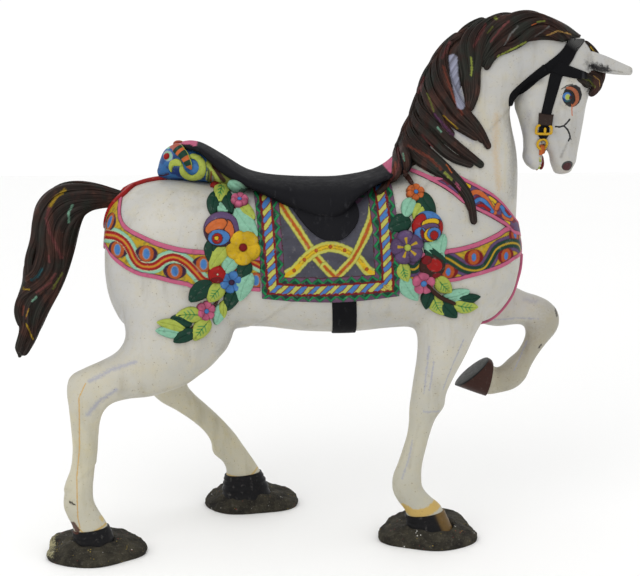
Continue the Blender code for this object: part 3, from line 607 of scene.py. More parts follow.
class Ground:
    """A finished surface that thinner things are laid on."""

    def __init__(self, solids: list[Solid]) -> None:
        """Join the bodies in a working object, in the horse's own coordinates."""
        self.thing = bpy.data.objects.new("ground", mesh_of("ground", join(solids)))
        bpy.context.scene.collection.objects.link(self.thing)

    def lay(self, places: Array, side: Side | None = None) -> tuple[Array, Array]:
        """Move points on to the surface.

        Args:
            places: array (..., 3). With a side, each slides along Y from far out on that side until it
                meets the surface, and without one it goes to the nearest place on it.
            side: the side of the horse, or None.

        Returns:
            The points on the surface and the unit normals there, both shaped as places.
        """
        start = places.reshape(-1, 3).copy()
        if side is not None:
            start[:, 1] = side.value * 1.0
        on = self._wrapped(start, side, 0.0)
        if side is not None:
            missed = np.abs(on[:, 1] - side.value) < 1e-6
            if missed.any():
                start[missed] = places.reshape(-1, 3)[missed]
                on[missed] = self._wrapped(start[missed], None, 0.0)
        above = self._wrapped(on, None, 0.01)
        normal = above - on
        normal /= np.maximum(np.linalg.norm(normal, axis=1, keepdims=True), 1e-9)
        return on.reshape(places.shape), normal.reshape(places.shape)

    def _wrapped(self, places: Array, side: Side | None, offset: float) -> Array:
        """Points after a Shrinkwrap on to the surface; arguments as for lay, with a height above it."""
        mesh = bpy.data.meshes.new("laying")
        mesh.vertices.add(len(places))
        mesh.vertices.foreach_set("co", places.astype(np.float32).ravel())
        thing = bpy.data.objects.new("laying", mesh)
        bpy.context.scene.collection.objects.link(thing)
        wrap = thing.modifiers.new("wrap", "SHRINKWRAP")
        wrap.target = self.thing
        wrap.wrap_method = "NEAREST_SURFACEPOINT" if side is None else "PROJECT"
        wrap.wrap_mode = "ABOVE_SURFACE"
        wrap.offset = offset
        if side is not None:
            wrap.use_project_y = True
            wrap.use_positive_direction = side is Side.RIGHT
            wrap.use_negative_direction = side is Side.LEFT
        finished = thing.evaluated_get(bpy.context.evaluated_depsgraph_get()).to_mesh()
        moved = np.empty(3 * len(places), np.float32)
        finished.vertices.foreach_get("co", moved)
        bpy.data.objects.remove(thing, do_unlink=True)
        bpy.data.meshes.remove(mesh)
        return moved.reshape(-1, 3).astype(float)

    def remove(self) -> None:
        """Take the working object out of the scene."""
        mesh = self.thing.data
        bpy.data.objects.remove(self.thing, do_unlink=True)
        bpy.data.meshes.remove(mesh)


# ---------------------------------------------------------------- brushwork


def near(gap: Array, half: float | Array, soft: float = 0.0011) -> Array:
    """1 where a distance is under half and 0 where it is over, easing from one to the other."""
    return np.clip((half - gap) / soft + 0.5, 0.0, 1.0)


class Brush:
    """Lays colours over an array of colours, each where its mask says."""

    def __init__(self, pot: Pot, count: int) -> None:
        """Start from one colour on that many points."""
        self.colour = np.tile(pot.rgb, (count, 1))

    def lay(self, mask: Array, pot: Pot) -> None:
        """Cover the points where the mask is true, or mix the paint in by the mask's share."""
        share = np.asarray(mask, float)[:, None]
        self.colour = self.colour * (1 - share) + pot.rgb * share

    def within(self, gap: Array, rings: tuple[tuple[float, Pot], ...]) -> None:
        """Cover the points nearer than each half breadth in turn, with a soft edge."""
        for half, pot in rings:
            self.lay(near(gap, half), pot)

    def jewel(self, place: Array, middle: tuple[float, float], rings: tuple[tuple[float, float, Pot], ...],
              turn: float = 0.0) -> None:
        """Ovals one inside another about a middle: rows of half breadth, half height and colour."""
        off = place - np.array(middle)
        over = off[:, 0] * math.cos(turn) + off[:, 1] * math.sin(turn)
        up = off[:, 1] * math.cos(turn) - off[:, 0] * math.sin(turn)
        for half_over, half_up, pot in rings:
            rim = (np.hypot(over / half_over, up / half_up) - 1) * min(half_over, half_up)
            self.lay(near(rim, 0.0), pot)


# ---------------------------------------------------------------- finishes


class Tree:
    """Short calls that build the node tree of one material."""

    def __init__(self, name: str) -> None:
        """Start a Principled material with that name."""
        self.material = bpy.data.materials.new(name)
        self.material.use_nodes = True
        self.nodes, self.links = self.material.node_tree.nodes, self.material.node_tree.links
        self.shader = self.nodes["Principled BSDF"]
        self.place = self.add("ShaderNodeTexCoord", {}).outputs["Object"]

    def add(self, kind: str, inputs: dict, **settings: object) -> bpy.types.Node:
        """Add a node.

        Args:
            kind: its type name.
            inputs: value or socket for each named or numbered input.
            settings: properties of the node.

        Returns:
            The node.
        """
        node = self.nodes.new(kind)
        for key, value in settings.items():
            setattr(node, key, value)
        for key, value in inputs.items():
            if isinstance(value, Socket):
                self.links.new(value, node.inputs[key])
            else:
                node.inputs[key].default_value = value
        return node

    def noise(self, scale: float, detail: float = 4.0, rough: float = 0.55,
              place: Socket | None = None) -> Socket:
        """Noise from 0 to 1 at that many lumps a metre."""
        node = self.add("ShaderNodeTexNoise", {"Vector": place or self.place, "Scale": scale,
                                               "Detail": detail, "Roughness": rough})
        return node.outputs["Fac"]

    def cells(self, scale: float, place: Socket | None = None, feature: str = "DISTANCE_TO_EDGE") -> Socket:
        """Voronoi distance at that many cells a metre."""
        node = self.add("ShaderNodeTexVoronoi", {"Vector": place or self.place, "Scale": scale},
                        feature=feature)
        return node.outputs["Distance"]

    def span(self, value: Socket, low: float, high: float, to_low: float = 0.0,
             to_high: float = 1.0) -> Socket:
        """The value's stretch from low to high taken to another one, and held inside it."""
        node = self.add("ShaderNodeMapRange", {"Value": value, "From Min": low, "From Max": high,
                                               "To Min": to_low, "To Max": to_high})
        return node.outputs["Result"]

    def sum(self, kind: str, a: Socket | float, b: Socket | float) -> Socket:
        """One Math node of that kind."""
        return self.add("ShaderNodeMath", {0: a, 1: b}, operation=kind).outputs[0]

    def mix(self, share: Socket | float, a: object, b: object, kind: str = "MIX") -> Socket:
        """Two colours mixed; a and b are sockets, Pots or linear colours."""
        node = self.add("ShaderNodeMix", {"Factor": share}, data_type="RGBA", blend_type=kind)
        for socket, value in ((node.inputs[6], a), (node.inputs[7], b)):
            if isinstance(value, Socket):
                self.links.new(value, socket)
            else:
                colour = value.rgb if isinstance(value, Pot) else value
                socket.default_value = (*colour, 1.0)
        return node.outputs[2]

    def veil(self, base: Socket, cover: Socket, low: float, high: float, share: float, colour: object,
             kind: str = "MIX") -> Socket:
        """The base under a colour: none of it where the cover is at low, and that share of it at high."""
        return self.mix(self.span(cover, low, high, 0.0, share), base, colour, kind)

    def stretched(self, along: tuple[float, float, float], turn: tuple[float, float, float] = (0, 0, 0),
                  source: Socket | None = None) -> Socket:
        """Coordinates scaled by a different amount along each axis, after a turn."""
        node = self.add("ShaderNodeMapping", {"Vector": source or self.place, "Scale": along,
                                              "Rotation": turn})
        return node.outputs["Vector"]

    def value(self, name: str) -> Socket:
        """A named number kept on the mesh."""
        return self.add("ShaderNodeAttribute", {}, attribute_name=name).outputs["Fac"]

    def paint(self) -> Socket:
        """The Paint colour kept on the mesh."""
        return self.add("ShaderNodeAttribute", {}, attribute_name="Paint").outputs["Color"]

    def vector(self, kind: str, a: object, b: object, out: int = 0) -> Socket:
        """One Vector Math node of that kind, and its vector (0) or number (1) output."""
        return self.add("ShaderNodeVectorMath", {0: a, 1: b}, operation=kind).outputs[out]

    def near(self, line: Points) -> Socket:
        """Distance, as seen from the side, to a chain of straight runs between places (x, z)."""
        flat = self.vector("MULTIPLY", self.place, (1.0, 0.0, 1.0))
        nearest = None
        for a, b in zip(line[:-1], line[1:]):
            run = Vector((b[0] - a[0], 0.0, b[1] - a[1]))
            off = self.vector("SUBTRACT", flat, (a[0], 0.0, a[1]))
            share = self.span(self.vector("DOT_PRODUCT", off, run / run.length_squared, 1), 0.0, 1.0)
            foot = self.add("ShaderNodeVectorMath", {0: run, "Scale": share}, operation="SCALE").outputs[0]
            gap = self.vector("DISTANCE", off, foot, 1)
            nearest = gap if nearest is None else self.sum("MINIMUM", nearest, gap)
        return nearest

    def oval(self, middle: tuple[float, float], half: tuple[float, float], turn: float = 0.0) -> Socket:
        """0 at an oval's middle to 1 on its rim, as seen from the side."""
        off = self.vector("SUBTRACT", self.place, (middle[0], 0.0, middle[1]))
        c, s = math.cos(turn), math.sin(turn)
        over = self.vector("DOT_PRODUCT", off, (c / half[0], 0.0, s / half[0]), 1)
        up = self.vector("DOT_PRODUCT", off, (-s / half[1], 0.0, c / half[1]), 1)
        squares = self.sum("ADD", self.sum("MULTIPLY", over, over), self.sum("MULTIPLY", up, up))
        return self.sum("SQRT", squares, 0.0)

    def marks(self, base: Socket, strokes: "list[Stroke]") -> Socket:
        """Brush strokes over a base colour, each ragged at its edge."""
        ragged = self.noise(160.0, 3.0)
        for stroke in strokes:
            gap = self.sum("DIVIDE", self.near(stroke.line), stroke.half)
            gap = self.sum("ADD", gap, self.span(ragged, 0.3, 0.7, -stroke.ragged, stroke.ragged))
            base = self.veil(base, gap, 1.15, 1.15 - stroke.soft, stroke.share, stroke.pot)
        return base

    def finish(self, colour: Socket, rough: Socket, height: Socket, strength: float, distance: float,
               shine: float = 0.3) -> Material:
        """Link colour, roughness and bump, set the specular level, and hand back the material."""
        self.shader.inputs["Specular IOR Level"].default_value = shine
        bump = self.add("ShaderNodeBump", {"Height": height, "Strength": strength, "Distance": distance})
        self.links.new(colour, self.shader.inputs["Base Color"])
        self.links.new(rough, self.shader.inputs["Roughness"])
        self.links.new(bump.outputs["Normal"], self.shader.inputs["Normal"])
        return self.material


@dataclass(frozen=True)
class Stroke:
    """A brush stroke on the side view: line, half breadth, colour, strength, softness, ragged edge."""

    line: Points
    half: float
    pot: Pot
    share: float = 0.8
    soft: float = 0.4
    ragged: float = 0.25


BODY_STROKES = [
    Stroke([(-0.456, 0.52), (-0.53, 0.53), (-0.64, 0.485)], 0.03, Pot.CREAM, 0.35, 1.1),
    Stroke([(-0.618, 0.493), (-0.56, 0.522), (-0.497, 0.542)], 0.0066, Pot.BLUE_GREY, 0.62, 1.0, 0.6),
    Stroke([(-0.625, 0.405), (-0.596, 0.438), (-0.55, 0.47)], 0.007, Pot.BLUE_GREY, 0.65, 1.0, 0.6),
    Stroke([(-0.63, 0.487), (-0.647, 0.452), (-0.648, 0.4), (-0.651, 0.31), (-0.66, 0.23), (-0.66, 0.118),
            (-0.655, 0.092)], 0.0019, Pot.OCHRE, 0.85, 0.6, 0.4),
    Stroke([(-0.661, 0.09), (-0.647, 0.078), (-0.628, 0.077), (-0.58, 0.097)],
           0.0028, Pot.CORONET, 0.9, 0.5),
    Stroke([(-0.674, 0.097), (-0.664, 0.084)], 0.0085, Pot.RUST_BROWN, 0.95, 0.4, 0.2),
    # Painted shade: the darker far thigh seen past the edge of the near thigh.
    Stroke([(-0.227, 0.621), (-0.252, 0.583), (-0.271, 0.562)], 0.018, Pot.SHADOW, 0.45, 1.1, 0.5),
    # Painted shade on the far foreleg, darker and warmer than the near side.
    Stroke([(0.69, 0.6), (0.64, 0.52), (0.59, 0.44), (0.53, 0.4)], 0.08, Pot.FAR_LEG_SHADE, 0.48, 1.0, 0.2),
    Stroke([(-0.6, 0.112), (-0.596, 0.106)], 0.006, Pot.YELLOW, 0.5, 1.0, 0.6),
    Stroke([(-0.268, 0.106), (-0.224, 0.103), (-0.192, 0.108), (-0.174, 0.124)],
           0.003, Pot.CORONET, 0.8, 0.6),
    Stroke([(0.224, 0.103), (0.247, 0.089), (0.282, 0.093), (0.32, 0.11)],
           0.0115, Pot.CORONET, 1.0, 0.3, 0.2),
    Stroke([(0.288, 0.56), (0.275, 0.431)], 0.0034, Pot.BLUE_GREY, 0.6, 1.0, 0.9),
    Stroke([(0.3, 0.52), (0.29, 0.44)], 0.0026, Pot.BLUE_GREY, 0.6, 0.8, 0.9),
    Stroke([(0.38, 0.579), (0.352, 0.51), (0.328, 0.441)], 0.0022, Pot.BLUE_GREY, 0.6, 0.8, 0.8),
    Stroke([(0.275, 0.381), (0.319, 0.378)], 0.0034, Pot.BLUE_GREY, 0.5, 0.8, 0.9),
    Stroke([(0.247, 0.296), (0.236, 0.24), (0.218, 0.19)], 0.0032, Pot.BLUE_GREY, 0.55, 1.0, 0.9),
    Stroke([(0.487, 0.59), (0.56, 0.592), (0.625, 0.588)], 0.0032, Pot.BLUE_GREY, 0.6, 1.0, 0.9),
    Stroke([(0.585, 0.645), (0.62, 0.635)], 0.008, Pot.BLUE_GREY, 0.4, 1.0, 0.5),
    Stroke([(0.601, 0.518), (0.582, 0.475), (0.562, 0.435)], 0.002, Pot.BLUE_GREY, 0.6, 0.8, 0.8),
    Stroke([(0.68, 0.612), (0.684, 0.592)], 0.0034, Pot.CHIP, 0.9, 0.8, 0.9),
    Stroke([(0.639, 0.509), (0.633, 0.5)], 0.003, Pot.CHIP, 0.9, 0.8, 0.9),
    Stroke([(-0.678, 0.162), (-0.669, 0.157)], 0.004, Pot.CHIP, 0.95, 0.8, 0.9),
    Stroke([(0.47, 1.175), (0.466, 1.08), (0.476, 0.985)], 0.013, Pot.OCHRE, 0.34, 1.1, 0.4),
    Stroke([(0.497, 1.1), (0.492, 0.975)], 0.006, Pot.CREAM, 0.45, 1.0, 0.4),
    Stroke([(0.425, 1.33), (0.412, 1.25), (0.44, 1.15)], 0.015, Pot.CREAM, 0.55, 1.1, 0.4),
    Stroke([(0.516, 1.16), (0.522, 1.06), (0.522, 0.96)], 0.017, Pot.GREY, 0.42, 1.1, 0.5),
    Stroke([(0.355, 1.305), (0.365, 1.255), (0.378, 1.205)], 0.012, Pot.BLUE_GREY, 0.75, 0.9, 0.4),
    Stroke([(0.345, 1.15), (0.4, 1.11)], 0.008, Pot.BLUE_GREY, 0.45, 1.0, 0.4),
]
HEAD_STROKES = [
    Stroke([(0.545, 1.33), (0.61, 1.345)], 0.012, Pot.BLUE_GREY, 0.35, 1.1, 0.4),
    Stroke([(0.515, 1.29), (0.56, 1.31), (0.6, 1.35)], 0.005, Pot.SHADOW, 0.4, 1.1, 0.5),
    Stroke([(0.56, 1.18), (0.552, 1.09), (0.572, 1.045)], 0.01, Pot.BLUE_GREY, 0.35, 1.1, 0.5),
    Stroke([(0.67, 1.1), (0.655, 1.06)], 0.004, Pot.GREY, 0.4, 1.1, 0.5),
    Stroke([(0.676, 1.022), (0.66, 1.02)], 0.01, Pot.DUSTY_ROSE, 0.16, 1.2, 0.4),
    Stroke([(0.645, 1.246), (0.651, 1.25), (0.658, 1.255), (0.674, 1.259)], 0.0017, Pot.BLACK),
    Stroke([(0.654, 1.248), (0.658, 1.256)], 0.0012, Pot.BLACK),
    Stroke([(0.676, 1.204), (0.678, 1.182), (0.679, 1.174)], 0.0017, Pot.ORANGE, 0.9),
    Stroke([(0.635, 1.144), (0.647, 1.143), (0.657, 1.146), (0.666, 1.155), (0.672, 1.163)],
           0.0025, Pot.BLACK, 1.0),
    Stroke([(0.657, 1.146), (0.668, 1.136), (0.675, 1.123), (0.677, 1.114), (0.673, 1.105)],
           0.0025, Pot.BLACK, 1.0),
    Stroke([(0.677, 1.115), (0.68, 1.108)], 0.0015, Pot.BLACK, 0.9),
    # This and the next three strokes: painted shade at the base of the ear and along its hollow, which is
    # not carved.
    Stroke([(0.716, 1.312), (0.722, 1.3)], 0.011, Pot.GREY, 0.75, 1.1, 0.6),
    Stroke([(0.733, 1.304), (0.764, 1.297)], 0.0125, Pot.CHARCOAL, 0.92, 0.7, 0.4),
    Stroke([(0.726, 1.306), (0.778, 1.294)], 0.0048, Pot.CHARCOAL, 0.9, 0.8, 0.5),
    Stroke([(0.772, 1.297), (0.81, 1.29)], 0.002, Pot.SHADOW, 0.8, 0.9, 0.5),
    Stroke([(0.753, 1.312), (0.757, 1.302)], 0.003, Pot.CHARCOAL, 0.6, 0.9, 0.9),
    Stroke([(0.832, 1.296), (0.838, 1.291)], 0.006, Pot.GREY, 0.45, 1.1, 0.6),
]


@dataclass(frozen=True)
class WhitePaint:
    """Old off-white paint on carved wood: mottled, brushed, chipped and cracked, with painted shade and
    grime in creases and low down.
    """

    name: str = "old_white_paint"
    grime: float = 0.8
    gloss: float = 0.44

    def build(self) -> Material:
        """Make the material."""
        tree = Tree(self.name)
        broad, fine = tree.noise(5.0, 5.0, 0.6), tree.noise(38.0, 5.0, 0.65)
        speck = tree.noise(210.0, 2.0, 0.6)
        base = tree.mix(tree.span(broad, 0.35, 0.68), Pot.WHITE, (0.395, 0.39, 0.365))
        base = tree.veil(base, fine, 0.46, 0.74, 0.6, Pot.CREAM)
        cool = tree.noise(3.1, 3.0, 0.5, tree.stretched((1.0, 1.0, 0.6)))
        base = tree.veil(base, cool, 0.47, 0.72, 0.55, (0.32, 0.335, 0.385))
        smear = tree.noise(26.0, 4.0, 0.6, tree.stretched((1.0, 1.0, 0.22)))
        base = tree.veil(base, smear, 0.54, 0.78, 0.42, (0.24, 0.215, 0.165))
        low = tree.span(tree.vector("DOT_PRODUCT", tree.place, (0.0, 0.0, 1.0), 1), 0.62, 0.3)
        base = tree.mix(low, base, (1.08, 1.04, 0.86), "MULTIPLY")
        # Painted shade mixed with grime: darker in the mesh's creases and towards its bottom.
        crease = tree.span(tree.value("Grime"), 0.05, 0.75, 0.0, self.grime)
        patchy = tree.sum("MULTIPLY", crease, tree.span(fine, 0.25, 0.65, 0.45, 1.0))
        base = tree.mix(patchy, base, (0.085, 0.068, 0.052))
        base = self.marked(tree, base)
        dots = tree.sum("MULTIPLY", tree.span(speck, 0.64, 0.71), tree.span(fine, 0.4, 0.58))
        base = tree.mix(tree.sum("MULTIPLY", dots, 0.6), base, (0.08, 0.06, 0.05))
        line = tree.noise(11.0, 6.0, 0.62)
        crack = tree.span(tree.sum("ABSOLUTE", tree.sum("SUBTRACT", line, 0.5), 0.0), 0.0, 0.0035, 1.0, 0.0)
        crack = tree.sum("MULTIPLY", crack, tree.span(tree.noise(6.0, 3.0), 0.56, 0.68, 0.0, 0.25))
        base = tree.mix(crack, base, (0.14, 0.12, 0.1))
        brush = tree.noise(120.0, 3.0, 0.6, tree.stretched((0.35, 1.0, 0.35), (0.3, 0.5, 0.0)))
        height = tree.sum("ADD", tree.sum("MULTIPLY", brush, 0.6), tree.sum("MULTIPLY", fine, 1.0))
        height = tree.sum("SUBTRACT", height, tree.sum("MULTIPLY", crack, 0.6))
        rough = tree.span(fine, 0.3, 0.75, self.gloss - 0.08, self.gloss + 0.16)
        return tree.finish(base, rough, height, strength=0.4, distance=0.0014, shine=0.28)

    def marked(self, tree: Tree, base: Socket) -> Socket:
        """The painter's strokes and the chips of body and legs, and painted shade behind the near thigh and
        on the far foreleg.
        """
        return tree.marks(base, BODY_STROKES)


@dataclass(frozen=True)
class FacePaint(WhitePaint):
    """The same white with the face drawn on it: eye outline, cheek lines and nostrils, and painted shade at
    and in each ear.
    """

    name: str = "old_white_face_paint"

    def marked(self, tree: Tree, base: Socket) -> Socket:
        """Eye outline, nostril and strokes, with painted shade at the base and in the hollow of the ear."""
        for middle, half, turn, pot, share in (
                ((0.676, 1.2275), (0.027, 0.03), 0.0, Pot.BLACK, 1.0),
                ((0.6735, 1.0362), (0.0165, 0.0132), 0.25, Pot.CHARCOAL, 0.95),
                ((0.6725, 1.0345), (0.0125, 0.0098), 0.25, Pot.MAROON, 0.9)):
            rim = tree.sum("ADD", tree.oval(middle, half, turn),
                           tree.span(tree.noise(120.0), 0.3, 0.7, -0.04, 0.04))
            base = tree.veil(base, rim, 1.04, 0.97, share, pot)
        return tree.marks(base, HEAD_STROKES)


@dataclass(frozen=True)
class BrushPaint:
    """Artist's colours laid by hand: each point's own paint, uneven, worn and a little dirty."""

    name: str
    gloss: float = 0.4
    wear: float = 0.35
    bump: float = 0.3

    def build(self) -> Material:
        """Make the material."""
        tree = Tree(self.name)
        fine, grit = tree.noise(70.0, 5.0, 0.65), tree.noise(260.0, 3.0, 0.6)
        lap = tree.noise(150.0, 3.0, 0.55, tree.stretched((0.3, 1.0, 1.0), (0.0, 0.7, 0.0)))
        base = tree.paint()
        base = tree.veil(base, lap, 0.35, 0.75, 0.3, (0.62, 0.6, 0.58), "MULTIPLY")
        base = tree.veil(base, fine, 0.58, 0.8, self.wear, (0.34, 0.32, 0.3))
        base = tree.veil(base, fine, 0.44, 0.24, self.wear * 1.5, (0.028, 0.022, 0.02))
        base = tree.veil(base, grit, 0.66, 0.76, 0.45, (0.05, 0.04, 0.035))
        height = tree.sum("ADD", lap, tree.sum("MULTIPLY", fine, 0.8))
        rough = tree.span(fine, 0.3, 0.75, self.gloss - 0.06, self.gloss + 0.22)
        return tree.finish(base, rough, height, strength=self.bump, distance=0.001, shine=0.1)


@dataclass(frozen=True)
class HairPaint:
    """Dark paint on carved locks, with painted shade in its grooves, painted highlight and wear on its
    ridges, and a few bright loose strokes.
    """

    name: str = "carved_hair_paint"
    streaks: tuple[Stroke, ...] = ()
    strands: float = 24.0

    def build(self) -> Material:
        """Make the material; the strands run along each lock's own map."""
        tree = Tree(self.name)
        lock_map = tree.add("ShaderNodeUVMap", {}, uv_map="Map").outputs["UV"]
        strand = tree.noise(1.0, 3.0, 0.6, tree.stretched((4.0, self.strands, 1.0), source=lock_map))
        fine, broad = tree.noise(85.0, 5.0, 0.65), tree.noise(13.0, 4.0, 0.6)
        base = tree.mix(tree.span(broad, 0.46, 0.66, 0.0, 0.7), tree.paint(), (0.03, 0.026, 0.024))
        base = tree.veil(base, broad, 0.5, 0.34, 0.6, (0.046, 0.022, 0.018))
        lean = tree.noise(21.0, 3.0, 0.6, tree.stretched((1.0, 1.0, 0.5), (0.0, 0.7, 0.0)))
        base = tree.veil(base, lean, 0.5, 0.62, 0.8, (0.022, 0.027, 0.022))
        base = tree.veil(base, lean, 0.45, 0.36, 0.7, (0.07, 0.03, 0.022))
        base = tree.marks(base, list(self.streaks))
        # Painted shade: darker where the strand bump is low.
        base = tree.mix(tree.span(strand, 0.42, 0.6, 0.8, 0.0), base, (0.28, 0.26, 0.25), "MULTIPLY")
        # Painted highlight mixed with wear: lighter where the strand bump is high, in patches.
        ridge_highlight_and_wear = tree.sum("MULTIPLY", tree.span(strand, 0.54, 0.74), tree.span(broad, 0.42, 0.68))
        base = tree.mix(tree.sum("MULTIPLY", ridge_highlight_and_wear, 0.28), base, (0.12, 0.085, 0.07))
        base = tree.veil(base, fine, 0.66, 0.8, 0.25, (0.15, 0.13, 0.11))
        rough = tree.span(fine, 0.3, 0.75, 0.44, 0.7)
        height = tree.sum("ADD", strand, tree.sum("MULTIPLY", fine, 0.35))
        return tree.finish(base, rough, height, strength=0.55, distance=0.0022, shine=0.08)


@dataclass(frozen=True)
class SaddlePaint:
    """Charcoal paint with pale scuffs that run down it, and fine cracks."""

    name: str = "saddle_charcoal_paint"

    def build(self) -> Material:
        """Make the material."""
        tree = Tree(self.name)
        fine, broad = tree.noise(60.0, 5.0, 0.65), tree.noise(9.0, 4.0, 0.6)
        scuff = tree.noise(30.0, 5.0, 0.7, tree.stretched((1.3, 1.0, 0.25), (0.0, 0.35, 0.0)))
        base = tree.mix(tree.span(broad, 0.35, 0.7, 0.0, 0.6), tree.paint(), (0.72, 0.72, 0.76), "MULTIPLY")
        scuffs = tree.sum("MULTIPLY", tree.span(scuff, 0.58, 0.74), tree.span(broad, 0.38, 0.62))
        base = tree.mix(tree.sum("MULTIPLY", scuffs, 0.4), base, (0.13, 0.13, 0.14))
        base = tree.veil(base, fine, 0.66, 0.8, 0.25, (0.1, 0.085, 0.075))
        crack = tree.span(tree.cells(34.0), 0.0, 0.02, 1.0, 0.0)
        crack = tree.sum("MULTIPLY", crack, tree.span(broad, 0.48, 0.6, 0.0, 0.6))
        base = tree.mix(crack, base, (0.008, 0.008, 0.009))
        rough = tree.span(scuff, 0.35, 0.72, 0.55, 0.8)
        height = tree.sum("SUBTRACT", tree.sum("ADD", fine, scuff), crack)
        return tree.finish(base, rough, height, strength=0.25, distance=0.001, shine=0.03)


@dataclass(frozen=True)
class PadCrust:
    """Near-black lumpy crust with worn grey edges and a few flecks of red, yellow and white."""

    name: str = "dark_pad_crust"

    def build(self) -> Material:
        """Make the material."""
        tree = Tree(self.name)
        lump, fine, grit = tree.noise(24.0, 6.0, 0.65), tree.noise(95.0, 6.0, 0.7), tree.noise(420.0, 3.0)
        base = tree.mix(tree.span(lump, 0.32, 0.66), (0.012, 0.011, 0.01), (0.05, 0.045, 0.032))
        base = tree.veil(base, fine, 0.56, 0.74, 0.65, (0.11, 0.1, 0.085))
        base = tree.veil(base, grit, 0.62, 0.72, 0.5, (0.2, 0.18, 0.15))
        for scale, colour in ((120.0, (0.3, 0.035, 0.03)), (150.0, (0.5, 0.36, 0.05)),
                              (90.0, (0.55, 0.54, 0.5))):
            dot = tree.span(tree.cells(scale, feature="F1"), 0.12, 0.2, 1.0, 0.0)
            dot = tree.sum("MULTIPLY", dot, tree.span(tree.noise(scale * 0.31, 2.0), 0.6, 0.64))
            base = tree.mix(dot, base, colour)
        fleck = Stroke([(-0.755, 0.018), (-0.738, 0.026)], 0.011, Pot.IVORY, 0.55, 1.0, 0.9)
        base = tree.marks(base, [fleck])
        rough = tree.span(fine, 0.3, 0.75, 0.62, 0.92)
        height = tree.sum("ADD", lump, tree.sum("ADD", fine, tree.sum("MULTIPLY", grit, 0.3)))
        return tree.finish(base, rough, height, strength=0.6, distance=0.0025, shine=0.08)


# ---------------------------------------------------------------- sections of the carving

TRUNK_ROWS: Points = [
    (-0.587, 0.8, -0.585, 0.73, 0.0, 0.05), (-0.582, 0.86, -0.578, 0.69, 0.0, 0.1),
    (-0.571, 0.925, -0.562, 0.645, 0.0, 0.138), (-0.54, 0.965, -0.53, 0.6, 0.0, 0.163),
    (-0.475, 0.993, -0.445, 0.56, 0.0, 0.185), (-0.4, 1.002, -0.35, 0.55, 0.0, 0.195),
    (-0.3, 0.995, -0.25, 0.59, 0.0, 0.193), (-0.18, 0.985, -0.16, 0.594, 0.0, 0.195),
    (-0.05, 0.975, -0.045, 0.581, 0.0, 0.2), (0.08, 0.975, 0.08, 0.578, 0.0, 0.2),
    (0.2, 1.01, 0.195, 0.587, 0.0, 0.192), (0.3, 1.03, 0.3, 0.588, 0.0, 0.182),
    (0.4, 1.02, 0.4, 0.594, 0.0, 0.166), (0.48, 0.98, 0.472, 0.607, 0.0, 0.142),
    (0.532, 0.905, 0.525, 0.665, 0.0, 0.105), (0.55, 0.845, 0.548, 0.73, 0.0, 0.055),
]
NECK_ROWS: Points = [
    (0.542, 0.86, 0.12, 0.93, 0.0, 0.135), (0.545, 0.95, 0.18, 1.0, 0.0, 0.125),
    (0.544, 1.03, 0.22, 1.085, 0.0, 0.11), (0.537, 1.09, 0.26, 1.17, 0.0, 0.097),
    (0.523, 1.15, 0.305, 1.25, 0.0, 0.086), (0.52, 1.198, 0.36, 1.325, 0.0, 0.078),
    (0.545, 1.238, 0.435, 1.385, 0.0, 0.07), (0.585, 1.26, 0.525, 1.415, 0.0, 0.064),
    (0.625, 1.27, 0.61, 1.41, 0.0, 0.06), (0.66, 1.275, 0.685, 1.378, 0.0, 0.052),
]
HEAD_ROWS: Points = [
    (0.712, 1.376, 0.63, 1.362, 0.0, 0.04), (0.735, 1.345, 0.605, 1.32, 0.0, 0.056),
    (0.745, 1.29, 0.585, 1.27, 0.0, 0.066), (0.736, 1.24, 0.575, 1.22, 0.0, 0.069),
    (0.726, 1.2, 0.57, 1.175, 0.0, 0.062), (0.719, 1.15, 0.58, 1.135, 0.0, 0.052),
    (0.712, 1.105, 0.603, 1.098, 0.0, 0.045), (0.706, 1.07, 0.627, 1.068, 0.0, 0.041),
    (0.702, 1.043, 0.634, 1.04, 0.0, 0.042), (0.692, 1.024, 0.642, 1.02, 0.0, 0.036),
]
JAW_ROWS: Points = [
    (0.665, 1.255, 0.54, 1.245, 0.0, 0.056), (0.655, 1.205, 0.531, 1.2, 0.0, 0.06),
    (0.645, 1.155, 0.544, 1.158, 0.0, 0.052), (0.625, 1.115, 0.555, 1.118, 0.0, 0.042),
    (0.612, 1.085, 0.558, 1.082, 0.0, 0.034), (0.61, 1.06, 0.556, 1.056, 0.0, 0.031),
    (0.61, 1.042, 0.566, 1.036, 0.0, 0.029), (0.602, 1.03, 0.579, 1.026, 0.0, 0.022),
]
HIND_RIGHT_ROWS: Points = [
    (-0.24, 0.7, -0.56, 0.79, -0.085, 0.105), (-0.238, 0.605, -0.545, 0.675, -0.11, 0.098),
    (-0.28, 0.528, -0.528, 0.602, -0.13, 0.085), (-0.357, 0.472, -0.547, 0.56, -0.148, 0.069),
    (-0.452, 0.441, -0.588, 0.537, -0.163, 0.056), (-0.518, 0.436, -0.637, 0.518, -0.175, 0.047),
    (-0.563, 0.425, -0.673, 0.498, -0.182, 0.042), (-0.588, 0.402, -0.682, 0.462, -0.186, 0.04),
    (-0.6, 0.365, -0.677, 0.405, -0.188, 0.035), (-0.606, 0.3, -0.671, 0.31, -0.19, 0.029),
    (-0.612, 0.245, -0.677, 0.25, -0.19, 0.029), (-0.618, 0.19, -0.695, 0.2, -0.19, 0.033),
    (-0.616, 0.155, -0.703, 0.15, -0.19, 0.035), (-0.602, 0.125, -0.695, 0.118, -0.19, 0.033),
    (-0.586, 0.098, -0.68, 0.085, -0.19, 0.037), (-0.572, 0.06, -0.675, 0.05, -0.19, 0.044),
    (-0.562, 0.01, -0.678, 0.005, -0.19, 0.05),
]
